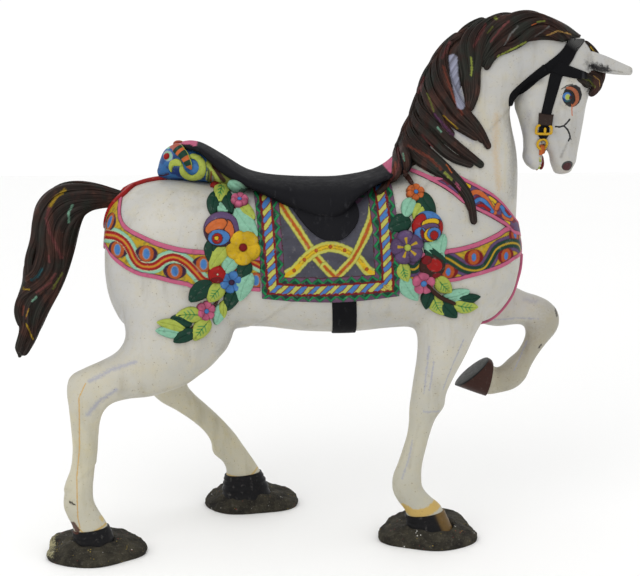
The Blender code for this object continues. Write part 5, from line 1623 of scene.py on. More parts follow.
@dataclass
class Saddle:
    """Charcoal seat and cantle in one block, and a skirt that hangs from it on each side."""

    voxel: float = 0.0052
    skirt_lift: float = 0.015
    skirt_rows: int = 56
    skirt_cols: int = 76
    skirt_size: tuple[float, float] = (0.2, 0.24)
    seat: Solid | None = None

    def dress(self, ground: Ground, finish: Material) -> None:
        """Make the seat with its pink edging, and the two skirts."""
        block = Skin(*fused("seat", [tube(loft(SADDLE_ROWS, sides=72, steps=8, power=2.6))], self.voxel))
        block.smooth(4)
        seat = block.solid()
        brush = Brush(Pot.CHARCOAL, len(seat.points))
        for line in CANTLE_TRIM, POMMEL_TRIM:
            brush.lay(near_line(seat.points[:, [0, 2]], line)[0] < 0.0062, Pot.PINK)
        self.seat = seat
        add_piece("saddle_seat", [seat.painted(brush.colour)], finish)
        for side in Side:
            flat = strip(SKIRT_LEFT, SKIRT_RIGHT, self.skirt_rows, self.skirt_cols)
            height = rounded(flat.shape[:2], self.skirt_size, self.skirt_lift, radius=0.006)
            paint = np.broadcast_to(Pot.CHARCOAL.rgb, flat.shape[:2] + (3,))
            skirt = laid(ground, in_space(flat), side, height, sink=0.006, paint=paint, rounds=20)
            add_piece(f"saddle_skirt_{side.word}", [skirt], finish)


CANTLE_TRIM = [(-0.39, 1.106), (-0.352, 1.108), (-0.338, 1.104)]
POMMEL_TRIM = [(0.182, 1.034), (0.2, 1.062), (0.216, 1.092)]


SKIRT_LEFT = [(-0.19, 1.002), (-0.16, 0.993), (-0.135, 0.976), (-0.113, 0.956), (-0.094, 0.941),
              (-0.059, 0.9), (-0.033, 0.876), (-0.006, 0.86), (0.013, 0.8565)]
SKIRT_RIGHT = [(0.13, 1.002), (0.104, 0.992), (0.081, 0.967), (0.099, 0.935), (0.1, 0.914), (0.092, 0.895),
               (0.067, 0.869), (0.048, 0.858), (0.029, 0.856)]


@dataclass
class SaddleCloth:
    """Carved cloth on each flank: zigzag, rope and zigzag borders, crossing straps and a beaded arch."""

    lift: float = 0.0078
    step: float = 0.0017
    coarser: float = 2.0
    size: tuple[float, float] = (0.295, 0.36)
    sag: float = 0.013
    pitch: float = 0.03
    swing: float = 0.0062
    rope_pitch: float = 0.034

    def paint(self, place: Array) -> Array:
        """Colour of each place (x, z): field, straps, arch, and borders by distance from the edge."""
        brush = Brush(Pot.CLOTH_GREY, len(place))
        brush.colour = brush.colour * (1 + 0.1 * waver(place, 0.09, 1.0))[:, None]
        self.strap(brush, place, STRAP[:6])
        self.arch(brush, place)
        self.strap(brush, place, STRAP[4:])
        edge, along = near_line(place, CLOTH_OUTLINE)
        edge = edge + 0.0006 * waver(place, 0.03, 5.0)
        brush.lay(edge < 0.067, Pot.MAROON)
        self.zigzag(brush, edge - 0.0558, along + 0.007, edge < 0.0652)
        self.rope(brush, place, edge, along)
        self.zigzag(brush, 0.0098 - edge, along, edge < 0.0195)
        return brush.colour

    def strap(self, brush: Brush, place: Array, line: Points) -> None:
        """One arm of the crossing straps: yellow-green with a rust middle."""
        gap, _ = near_line(place, line)
        gap = gap + 0.0007 * waver(place, 0.02, 3.0)
        brush.within(gap, ((0.0124, Pot.OLIVE), (0.0112, Pot.ROPE_YELLOW), (0.005, Pot.MUSTARD),
                           (0.0036, Pot.BEAD)))

    def arch(self, brush: Brush, place: Array) -> None:
        """The arch: yellow between yellow-green edges, with orange beads and dark dashes."""
        gap, along = near_line(place, even(ARCH, 40))
        gap = gap + 0.0007 * waver(place, 0.02, 7.0)
        brush.within(gap, ((0.0136, Pot.OLIVE), (0.0125, Pot.ROPE_YELLOW), (0.0062, Pot.YELLOW)))
        off = (along - 0.009) % 0.0387 - 0.01935
        bead = place[:, 1] > 0.772
        dash = (np.abs(gap - 0.0035) < 0.0009) & (np.abs(off) > 0.006) & (place[:, 1] > 0.8)
        brush.lay(0.7 * dash, Pot.OLIVE)
        brush.within(np.hypot(off, gap) + 1.0 - bead, ((0.005, Pot.MAROON), (0.004, Pot.BEAD)))

    def rope(self, brush: Brush, place: Array, edge: Array, along: Array) -> None:
        """The rope: slanting blue and yellow-green strands with red-brown seams, between red scallops."""
        scallop = 0.0012 * np.cos(2 * math.pi * along / 0.017)
        brush.lay(edge < 0.0465, Pot.CRIMSON)
        share = ((place[:, 1] - place[:, 0]) / self.rope_pitch + 0.04 * waver(place, 0.06, 2.0)) % 1.0
        strand = edge < 0.0435
        brush.lay(strand & (share < 0.5), Pot.BLUE)
        brush.lay(strand & (share >= 0.5), Pot.ROPE_YELLOW)
        seam = np.minimum(np.abs(share - 0.5), np.minimum(share, 1 - share)) < 0.05
        brush.lay(0.85 * (strand & seam), Pot.CRIMSON)
        corner = strand & (place[:, 0] > CLOTH_RIGHT[-1][0] - 0.047) & (place[:, 1] < 0.741)
        brush.lay(corner, Pot.ROPE_YELLOW)
        brush.lay(corner & (waver(place, 0.006, 4.0) > 0.55), Pot.RUST)
        brush.lay(edge < 0.0225 + scallop, Pot.CRIMSON)

    def zigzag(self, brush: Brush, off: Array, along: Array, band: Array) -> None:
        """A zigzag line: bright green strokes one way, dark green the other, between coloured teeth.

        Args:
            brush: the colours.
            off: signed distance from the band's middle, positive away from the rope.
            along: length along the band.
            band: where the band is.
        """
        place = np.stack([along, off], axis=1)
        phase = along / self.pitch + 0.05 * waver(place, 0.11, 6.0)
        share = phase % 1.0
        wave = self.swing * (4 * np.abs(share - 0.5) - 1)
        slope = off - wave
        brush.lay(band, Pot.MAUVE)
        odd = np.floor(phase + 0.5) % 2 < 1
        brush.lay(band & (slope < 0), Pot.DARK_GREEN)
        brush.lay(0.6 * (band & (slope < 0) & odd), Pot.PLUM)
        gap = np.abs(slope) * 0.77
        brush.lay(band * near(gap, 0.0036), Pot.BLACK)
        brush.lay(band * near(gap, 0.0026), Pot.GREEN)
        brush.lay(0.4 * band * near(gap, 0.0026) * (share >= 0.5), Pot.DARK_GREEN)
        brush.lay(band & (off < -0.007 - 0.0014 * np.cos(2 * math.pi * share)), Pot.CRIMSON)

    def dress(self, ground: Ground, finish: Material) -> list[Solid]:
        """Make the cloth of each side, and give back both sheets."""
        sheets = []
        for side in Side:
            step = self.step * (1.0 if side is Side.RIGHT else self.coarser)
            rows, cols = int(self.size[0] / step), int(self.size[1] / step)
            flat = strip(CLOTH_LEFT, CLOTH_RIGHT, rows, cols)
            arch = self.sag * np.sin(np.linspace(0, math.pi, cols))
            flat[..., 1] -= arch[None, :] * np.linspace(0, 1, rows)[:, None]
            paint = self.paint(flat.reshape(-1, 2)).reshape(rows, cols, 3)
            height = rounded((rows, cols), self.size, self.lift, radius=0.005)
            cloth = laid(ground, in_space(flat), side, height, sink=0.006, paint=paint, rounds=12)
            add_piece(f"saddle_cloth_{side.word}", [cloth], finish)
            sheets.append(cloth)
        return sheets


STRAP = [(-0.118, 0.954), (-0.101, 0.927), (-0.063, 0.876), (-0.028, 0.824), (0.001, 0.792), (0.03, 0.762),
         (0.0745, 0.808), (0.096, 0.846), (0.113, 0.878), (0.128, 0.908), (0.137, 0.945)]
ARCH = [(-0.103, 0.768), (-0.077, 0.784), (-0.05, 0.812), (-0.02, 0.833), (0.016, 0.842), (0.055, 0.833),
        (0.089, 0.811), (0.114, 0.781), (0.134, 0.77)]


CLOTH_LEFT = [(-0.187, 0.998), (-0.176, 0.9), (-0.169, 0.791), (-0.165, 0.704)]
CLOTH_RIGHT = [(0.189, 0.997), (0.198, 0.897), (0.203, 0.8), (0.204, 0.706)]
CLOTH_OUTLINE = [CLOTH_LEFT[0], CLOTH_LEFT[3], (-0.1, 0.698), (0.0, 0.696), (0.1, 0.7), CLOTH_RIGHT[3],
                 CLOTH_RIGHT[0]]


# ---------------------------------------------------------------- bands


@dataclass
class Band:
    """A carved band that runs from one flank round the end of the horse to the other flank."""

    name: str
    upper: Points
    lower: Points
    way: int
    lift: float = 0.0048
    step: float = 0.0024
    pink: float = 0.0136
    across: int = 48
    size: tuple[float, float] = (0.085, 1.2)

    def grid(self, ground: Ground) -> Array:
        """Places on the right half, then the left: each edge point without a y slides in from the side."""
        edges = []
        for points in (self.upper, self.lower):
            full = np.array([point if len(point) == 3 else (point[0], 9.0, point[1]) for point in points])
            loose = full[:, 1] > 8.0
            full[loose] = ground.lay(full[loose], Side.RIGHT)[0]
            edges.append(full)
        length = float(np.linalg.norm(np.diff(edges[0], axis=0), axis=1).sum())
        half = strip(edges[0], edges[1], int(length / self.step), self.across).transpose(1, 0, 2)
        other = half[:, -2::-1] * [1.0, -1.0, 1.0]
        return np.concatenate([half, other], axis=1)

    def unrolled(self, grid: Array) -> Array:
        """Each point's place (u, z): u is its x at the flank, carried on by its level path round the end."""
        steps = np.linalg.norm(np.diff(grid[..., :2], axis=1), axis=-1)
        reach = np.concatenate([np.zeros((len(grid), 1)), np.cumsum(steps, axis=1)], axis=1)
        reach = np.minimum(reach, reach[:, -1:] - reach)
        return np.stack([(self.upper[0][0] + self.way * reach).ravel(), grid[..., 2].ravel()], axis=1)

    def pattern(self, brush: Brush, place: Array) -> None:
        """What is painted between the pink edges."""

    def dress(self, ground: Ground, finish: Material) -> None:
        """Make the band."""
        grid = self.grid(ground)
        rows, cols, _ = grid.shape
        brush = Brush(Pot.MUSTARD, rows * cols)
        self.pattern(brush, self.unrolled(grid))
        share = np.linspace(0.0, 1.0, rows)[:, None]
        rim = (np.minimum(share, 1 - share) * np.linalg.norm(grid[0] - grid[-1], axis=1)).ravel()
        rim = rim + 0.0005 * waver(grid.reshape(-1, 3), 0.05, 3.0)
        brush.within(rim, ((self.pink + 0.0022, Pot.PLUM), (self.pink, Pot.PINK), (0.001, Pot.BARK)))
        height = rounded((rows, cols), self.size, self.lift, radius=0.004)
        band = laid(ground, grid, None, height, sink=0.006, paint=brush.colour.reshape(rows, cols, 3),
                    rounds=8)
        add_piece(self.name, [band], finish)


@dataclass
class Breeching(Band):
    """The band round the rump: a red wave on mint and mustard, with eyed ovals in its bends."""

    def pattern(self, brush: Brush, place: Array) -> None:
        """Mustard, mint beside the wave, ovals, and the wave last."""
        brush.lay(0.55 * smooth_step((waver(place, 0.03, 2.0) - 0.25) / 0.3), Pot.OLIVE)
        gap, _ = near_line(place, even(BREECHING_WAVE, 90))
        brush.within(gap, ((0.0196, Pot.OLIVE), (0.0184, Pot.MINT)))
        for middle in BREECHING_OVALS:
            brush.jewel(place, middle, ((0.0304, 0.0212, Pot.PLUM), (0.02, 0.0204, Pot.BEAD),
                                        (0.0104, 0.0146, Pot.SHADOW), (0.0086, 0.013, Pot.BLUE)))
        brush.within(gap, ((0.0112, Pot.IVORY), (0.01, Pot.CRIMSON), (0.0078, Pot.RED), (0.0032, Pot.ORANGE),
                           (0.0012, Pot.MUSTARD)))


@dataclass
class Collar(Band):
    """The band round the breast: a green wave on purple, with mustard wedges and eyed ovals."""

    def pattern(self, brush: Brush, place: Array) -> None:
        """Mustard, purple beside the wave, ovals, and the wave last."""
        brush.lay(0.5 * smooth_step((waver(place, 0.03, 4.0) - 0.25) / 0.3), Pot.OLIVE)
        gap, _ = near_line(place, even(COLLAR_WAVE, 90))
        brush.within(gap, ((0.0205, Pot.MAROON), (0.0192, Pot.PURPLE)))
        for middle in COLLAR_OVALS:
            brush.jewel(place, middle, ((0.0268, 0.0214, Pot.CRIMSON), (0.0166, 0.02, Pot.BEAD),
                                        (0.0082, 0.0124, Pot.RUST), (0.0064, 0.0104, Pot.BLUE)))
        brush.within(gap, ((0.0122, Pot.PLUM), (0.0108, Pot.DARK_GREEN), (0.0024, Pot.MUSTARD)))


@dataclass
class Yoke(Band):
    """The band from the withers to the breast: narrow at first, then with hooked drops of colour."""

    def unrolled(self, grid: Array) -> Array:
        """The plain side view."""
        return grid[..., [0, 2]].reshape(-1, 2)

    def pattern(self, brush: Brush, place: Array) -> None:
        """Dark ground, yellow wedges, and two drops of orange, blue and red."""
        brush.lay(np.ones(len(place)), Pot.PURPLE)
        brush.lay(0.8 * smooth_step((waver(place, 0.04, 1.0) - 0.1) / 0.3), Pot.CRIMSON)
        for half, lines in YOKE_MARKS:
            for pot, line in lines:
                gap, _ = near_line(place, even(line, 24))
                brush.within(gap, ((half + 0.0016, Pot.PLUM), (half, pot)))


BREECHING_UPPER = [(-0.165, 0.822), (-0.323, 0.839), (-0.361, 0.843), (-0.401, 0.851), (-0.4415, 0.863),
                   (-0.478, 0.878), (-0.507, 0.891), (-0.525, 0.906), (-0.5325, 0.926), (-0.532, 0.951),
                   (-0.535, -0.06, 0.968), (-0.545, -0.03, 0.965), (-0.552, 0.0, 0.955)]
BREECHING_LOWER = [(-0.165, 0.722), (-0.326, 0.73), (-0.362, 0.739), (-0.402, 0.7476), (-0.4426, 0.758),
                   (-0.483, 0.765), (-0.513, 0.777), (-0.5426, 0.796), (-0.562, 0.814), (-0.572, 0.829),
                   (-0.578, -0.085, 0.83), (-0.59, -0.04, 0.815), (-0.592, 0.0, 0.81)]
BREECHING_WAVE = [(-0.165, 0.795), (-0.195, 0.808), (-0.225, 0.8), (-0.255, 0.77), (-0.285, 0.754),
                  (-0.315, 0.756), (-0.337, 0.779), (-0.361, 0.804), (-0.39, 0.818), (-0.417, 0.8125),
                  (-0.441, 0.796), (-0.464, 0.7925), (-0.485, 0.798), (-0.499, 0.813), (-0.509, 0.833),
                  (-0.524, 0.852), (-0.548, 0.864), (-0.575, 0.866), (-0.61, 0.863), (-0.65, 0.85),
                  (-0.7, 0.84), (-0.76, 0.85)]
BREECHING_OVALS = [(-0.391, 0.782), (-0.465, 0.826), (-0.545, 0.833), (-0.592, 0.894), (-0.316, 0.7995),
                   (-0.179, 0.756), (-0.65, 0.882)]
COLLAR_UPPER = [(0.18, 0.815), (0.329, 0.833), (0.366, 0.838), (0.405, 0.847), (0.44, 0.859), (0.472, 0.872),
                (0.492, 0.882), (0.52, -0.085, 0.88), (0.541, -0.04, 0.875), (0.548, 0.0, 0.872)]
COLLAR_LOWER = [(0.18, 0.735), (0.34, 0.739), (0.3835, 0.747), (0.4256, 0.756), (0.4645, 0.766),
                (0.4968, 0.777), (0.516, 0.787), (0.527, -0.085, 0.792), (0.545, -0.04, 0.797),
                (0.55, 0.0, 0.799)]
COLLAR_WAVE = [(0.2, 0.8), (0.24, 0.78), (0.28, 0.82), (0.3275, 0.807), (0.35, 0.794), (0.3766, 0.778),
               (0.406, 0.771), (0.432, 0.777), (0.448, 0.797), (0.465, 0.823), (0.49, 0.834), (0.52, 0.836),
               (0.55, 0.826), (0.58, 0.8), (0.61, 0.785), (0.65, 0.8), (0.7, 0.83)]
COLLAR_OVALS = [(0.402, 0.807), (0.498, 0.804), (0.332, 0.771), (0.537, 0.856), (0.6, 0.835)]
YOKE_UPPER = [(0.224, 1.043), (0.262, 1.03), (0.3, 1.016), (0.325, 1.02), (0.354, 1.0265), (0.386, 1.012),
              (0.419, 0.995), (0.452, 0.9755), (0.4855, 0.946), (0.517, 0.906), (0.536, -0.045, 0.885),
              (0.545, 0.0, 0.878)]
YOKE_LOWER = [(0.224, 1.031), (0.262, 1.017), (0.3085, 0.9945), (0.348, 0.969), (0.374, 0.947),
              (0.404, 0.93), (0.437, 0.914), (0.47, 0.895), (0.497, 0.877), (0.517, 0.857),
              (0.538, -0.045, 0.842), (0.548, 0.0, 0.835)]
YOKE_MARKS = [
    (0.0042, [(Pot.YELLOW, [(0.37, 1.001), (0.381, 0.997), (0.392, 0.991)]),
              (Pot.YELLOW, [(0.446, 0.96), (0.455, 0.954), (0.462, 0.948)]),
              (Pot.YELLOW, [(0.452, 0.946), (0.456, 0.939)]),
              (Pot.YELLOW, [(0.487, 0.894), (0.5, 0.888)]),
              (Pot.YELLOW, [(0.36, 0.968), (0.372, 0.96)])]),
    (0.006, [(Pot.ORANGE, [(0.394, 0.968), (0.405, 0.976), (0.42, 0.974), (0.436, 0.96), (0.446, 0.944),
                            (0.46, 0.92)]),
              (Pot.ORANGE, [(0.466, 0.931), (0.473, 0.94), (0.489, 0.928), (0.487, 0.907), (0.51, 0.898)])]),
    (0.0048, [(Pot.BLUE, [(0.407, 0.951), (0.42, 0.957), (0.436, 0.948), (0.453, 0.923)]),
              (Pot.BLUE, [(0.481, 0.934), (0.492, 0.914), (0.505, 0.906)])]),
    (0.0038, [(Pot.RED, [(0.414, 0.939), (0.428, 0.94), (0.444, 0.928)]),
              (Pot.RED, [(0.495, 0.924), (0.504, 0.912)])]),
]


@dataclass
class Ribbon:
    """A plain painted strap that lies on the body, given by its two edges in space."""

    name: str
    edges: list[tuple[Points, Points]]
    pot: Pot
    lift: float = 0.0045
    rows: int = 100
    cols: int = 14
    size: tuple[float, float] = (0.3, 0.02)

    def dress(self, ground: Ground, finish: Material) -> None:
        """Make the strap, with a dark line along each edge."""
        parts = []
        for left, right in self.edges:
            grid = strip(left, right, self.rows, self.cols)
            share = np.linspace(0.0, 1.0, self.cols)[None, :] + np.zeros((self.rows, 1))
            brush = Brush(self.pot, share.size)
            brush.lay(0.35 * (np.minimum(share, 1 - share) < 0.07).ravel(), Pot.BARK)
            height = rounded((self.rows, self.cols), self.size, self.lift, radius=0.004)
            parts.append(laid(ground, grid, None, height, sink=0.005, paint=brush.colour.reshape(grid.shape),
                              rounds=3))
        add_piece(self.name, parts, finish)


def other_side(line: Points) -> Points:
    """The same line on the other side of the mid plane."""
    return [(x, -y, z) for x, y, z in line]


def fork(outer: Points, inner: Points) -> list[tuple[Points, Points]]:
    """The same strap on both sides of the mid plane."""
    return [(outer, inner), (other_side(outer), other_side(inner))]


def middle_strap(edge: Points) -> list[tuple[Points, Points]]:
    """A strap that lies across the mid plane, from its right edge."""
    return [(edge, other_side(edge))]


CRUPPER = Ribbon("crupper", middle_strap([(-0.415, -0.011, 1.006), (-0.47, -0.011, 0.998),
                                          (-0.535, -0.011, 0.972)])
                 + fork([(-0.5, -0.01, 0.988), (-0.522, -0.052, 0.978), (-0.543, -0.068, 0.957),
                         (-0.557, -0.07, 0.936), (-0.563, -0.07, 0.918), (-0.568, -0.066, 0.902),
                         (-0.58, -0.04, 0.882), (-0.588, 0.0, 0.866)],
                        [(-0.512, 0.002, 0.986), (-0.533, -0.04, 0.971), (-0.553, -0.052, 0.949),
                         (-0.568, -0.053, 0.93), (-0.574, -0.052, 0.912), (-0.579, -0.048, 0.895),
                         (-0.584, -0.03, 0.89), (-0.59, 0.0, 0.878)]), Pot.RED, 0.01)
MARTINGALE = Ribbon("martingale",
                    middle_strap([(0.546, -0.044, 0.795), (0.541, -0.048, 0.73), (0.526, -0.048, 0.665),
                                  (0.49, -0.044, 0.622), (0.44, -0.036, 0.602), (0.39, -0.026, 0.594)]),
                    Pot.PINK, 0.0085)


# ---------------------------------------------------------------- swags of flowers and leaves


VEINED_GRID = (36, 27)
PLAIN_GRID = (25, 17)


@dataclass
class Leaf:
    """A carved leaf: base and tip in the side view, its breadth, its colour, and whether it has veins."""

    base: tuple[float, float]
    tip: tuple[float, float]
    pot: Pot
    breadth: float = 0.6
    veins: bool = False
    lift: float = 0.009

    def solid(self, ground: Ground, side: Side, extra: float) -> Solid:
        """The leaf: half breadth sin(pi u^0.8)^0.65 from base to tip, crowned, with a creased midrib.

        Args:
            ground: what it lies on.
            side: the side of the horse.
            extra: metres by which it stands higher than its own lift.

        Returns:
            Closed Solid in the leaf's own paint, darker at its rim: a painted outline with painted shade
            between leaves.
        """
        base, tip = np.array(self.base), np.array(self.tip)
        length = float(np.linalg.norm(tip - base))
        way = (tip - base) / length
        over = np.array([way[1], -way[0]])
        rows, cols = VEINED_GRID if self.veins else PLAIN_GRID
        u, w = np.meshgrid(np.linspace(0.012, 0.988, rows), np.linspace(-1.0, 1.0, cols), indexing="ij")
        half = 0.54 * self.breadth * length * np.sin(math.pi * u**0.8) ** 0.65
        bend = 0.05 * length * np.sin(math.pi * u)
        flat = base + (u * length)[..., None] * way + (half * w + bend)[..., None] * over
        crown = np.sqrt(np.clip(1 - np.abs(w) ** 3.0, 0.0, 1.0)) * (0.55 + 0.45 * np.sin(math.pi * u**0.8))
        crease = 0.0022 * np.exp(-(w * half / 0.0014) ** 2)
        lift = (self.lift + extra) * crown + 0.004 * u - crease * (u < 0.9)
        brush = Brush(self.pot, u.size)
        shade = 0.97 + 0.06 * waver(flat.reshape(-1, 2), 0.02, base[0] * 50)
        brush.colour = brush.colour * shade[:, None]
        if self.veins:
            off, run = np.abs(w) * half, u * length
            brush.lay((near(off, 0.0013 * (1.3 - u)) * ((u > 0.22) & (u < 0.78))).ravel(), Pot.GREEN)
            for start in (0.34, 0.48, 0.62):
                twig = np.abs(run - start * length - 0.75 * off) * 0.8
                brush.lay((near(twig, 0.0011) * (off < 0.24 * length * (1.15 - start))).ravel(), Pot.GREEN)
        # Darker rim: painted outline and painted shade where leaves meet and overlap.
        brush.lay(0.45 * smooth_step((np.abs(w) - 0.88) / 0.12).ravel(), Pot.BARK)
        return laid(ground, in_space(flat), side, lift, sink=0.01,
                    paint=brush.colour.reshape(u.shape + (3,)), rounds=1)


def raised(on: Array, frame_of: Array, right: Array, up: Array, out: Array) -> Array:
    """Points at grids of distances from a place along its own right, up and outward directions."""
    return (on + right[..., None] * frame_of[0] + up[..., None] * frame_of[1]
            + out[..., None] * frame_of[2])


@dataclass
class Blossom:
    """A carved flower with an even number of round petals about an eye."""

    place: tuple[float, float]
    radius: float
    petals: int
    pot: Pot
    eye: Pot
    eye_share: float = 0.24
    streak: Pot | None = None
    lift: float = 0.015
    turn: float = 0.3
    tilt: float = 0.0
    stand: float = 0.0
    sides: int = 60

    def solid(self, on: Array, frame_of: Array) -> Solid:
        """The flower as rings about its middle, tipped up by its tilt.

        With lobe = |cos(petals (a - turn) / 2)|^0.45, the rim is radius x (0.80 + 0.20 lobe); its height
        is a dome that rolls over at the rim, dips to the eye and is cut by a crease between petals.

        Args:
            on: its middle on the ground.
            frame_of: rows right, up and outward at that place.

        Returns:
            Closed Solid.
        """
        tip, lean = math.cos(self.tilt), math.sin(self.tilt)
        right, up, out = frame_of
        on = on + self.stand * out
        frame_of = np.stack([right, tip * up - lean * out, tip * out + lean * up])
        share = np.concatenate([[1.0, 1.0], np.linspace(1.0, self.eye_share, 16)[1:],
                                self.eye_share * np.cos(np.linspace(0.1, 1.45, 6))])
        angle = np.linspace(0.0, 2 * math.pi, self.sides, endpoint=False)
        rho, a = np.meshgrid(share, angle, indexing="ij")
        lobe = np.abs(np.cos(self.petals * (a - self.turn) / 2)) ** 0.45
        eye = rho < self.eye_share * 1.001
        reach = self.radius * rho * np.where(eye, 1.0, 0.8 + 0.2 * lobe)
        roll = np.sqrt(np.clip(1 - (np.clip(rho - 0.7, 0, None) / 0.32) ** 2, 0.0, 1.0))
        dish = 0.62 + 0.38 * smooth_step((rho - self.eye_share) / 0.45)
        crease = 0.3 * np.exp(-(lobe / 0.42) ** 2) * smooth_step((rho - 0.15) / 0.3)
        height = self.lift * (roll * dish - crease)
        ball = np.sqrt(np.clip(1 - (rho / self.eye_share) ** 2, 0.0, 1.0)) * self.eye_share * self.radius
        height = np.where(eye, self.lift * 0.6 + 0.75 * ball, height)
        height[0] = -0.012
        height[1] = np.minimum(height[1], 0.25 * self.lift)
        points = raised(on, frame_of, reach * np.cos(a), reach * np.sin(a), height)
        brush = Brush(self.pot, a.size)
        tone = 0.9 + 0.18 * np.cos(a * 3 + self.place[0] * 90) * rho
        brush.colour = brush.colour * tone.ravel()[:, None]
        brush.lay(0.55 * (np.exp(-(lobe / 0.3) ** 2) * (rho > 0.4)).ravel(), Pot.BARK)
        brush.lay(0.55 * smooth_step((rho - 0.93) / 0.07).ravel(), Pot.BARK)
        if self.streak is not None:
            brush.lay(((lobe > 0.97) & (rho > self.eye_share) & (rho < 0.62)).ravel(), self.streak)
        brush.lay((0.7 * (np.abs(rho - self.eye_share) < 0.045)).ravel(), Pot.BARK)
        brush.lay((rho < self.eye_share * 0.97).ravel(), self.eye)
        return tube(points).painted(np.concatenate([brush.colour, self.pot.rgb[None], self.eye.rgb[None]]))


@dataclass
class Rose:
    """A round rose of overlapping petals, each an ellipse in the rose's own disc.

    A petal is (middle across, middle up, half breadth, half height, turn, colour, rise), in shares of
    the radius, and later ones lie on top.
    """

    place: tuple[float, float]
    radius: float
    pot: Pot
    layers: list[tuple[float, float, float, float, float, Pot, float]]
    lift: float = 0.02
    rings: int = 42
    sides: int = 96

    def solid(self, on: Array, frame_of: Array) -> Solid:
        """The rose: a dome sqrt(1 - 0.8 rho^2) whose petals each add a step; arguments as for Blossom."""
        share = np.concatenate([[1.0], np.sin(np.linspace(math.pi / 2, 0.02, self.rings))])
        angle = np.linspace(0.0, 2 * math.pi, self.sides, endpoint=False)
        rho, a = np.meshgrid(share, angle, indexing="ij")
        u, v = rho * np.cos(a), rho * np.sin(a)
        height = self.lift * (np.sqrt(np.clip(1 - rho**2, 0.0, 1.0)) * 0.72 + 0.18)
        brush = Brush(self.pot, a.size)
        brush.lay(0.6 * smooth_step((rho - 0.88) / 0.12).ravel(), Pot.BARK)
        for middle_u, middle_v, half_u, half_v, turn, pot, rise in self.layers:
            du, dv = u - middle_u, v - middle_v
            c, s = math.cos(turn), math.sin(turn)
            inside = ((du * c + dv * s) / half_u) ** 2 + ((dv * c - du * s) / half_v) ** 2
            edge = (1 - np.sqrt(inside)) * min(half_u, half_v)
            height = height + rise * self.lift * smooth_step(edge / 0.07) * (rho < 0.995)
            brush.lay(0.9 * (edge > -0.045).ravel(), Pot.BARK)
            brush.lay((edge > 0.0).ravel(), pot)
        height[0] = -0.012
        points = raised(on, frame_of, self.radius * u, self.radius * v, height)
        colours = np.concatenate([brush.colour, brush.colour[:1], brush.colour[-1:]])
        return tube(points).painted(colours)


@dataclass
class Stem:
    """A brown twig that shows between leaves, as a line in the side view."""

    line: Points
    half: float = 0.0045
    rise: float = 0.9

    def solid(self, ground: Ground, side: Side) -> Solid:
        """The twig as a tapered rod on the ground."""
        twig = lock(ground, self.line, self.half, side, ribs=0, rise=self.rise, count=24,
                    shape=(0.8, 1.0, 1.0, 0.8))
        return twig.painted(Pot.BARK.rgb)


@dataclass
class Swag:
    """One hanging swag: stems and leaves under its blossoms, roses and fruit."""

    name: str
    leaves: list[Leaf]
    blossoms: list[Blossom | Rose]
    stems: list[Stem]
    side: Side = Side.RIGHT
    stagger: float = 0.0011

    def dress(self, ground: Ground, finish: Material) -> None:
        """Make the swag's three pieces."""
        leaves = [leaf.solid(ground, self.side, self.stagger * (count % 4))
                  for count, leaf in enumerate(self.leaves)]
        add_piece(f"{self.name}_leaves", leaves, finish)
        if self.stems:
            add_piece(f"{self.name}_stems", [stem.solid(ground, self.side) for stem in self.stems], finish)
        middles = in_space(np.array([bloom.place for bloom in self.blossoms]))
        on, out = ground.lay(middles, self.side)
        solids = []
        for bloom, middle, normal in zip(self.blossoms, on, out):
            up = np.array([0.0, 0.0, 1.0]) - normal[2] * normal
            up /= np.linalg.norm(up)
            right = np.cross(up, normal)
            solids.append(bloom.solid(middle, np.stack([right, up, normal])))
        add_piece(f"{self.name}_flowers", solids, finish)


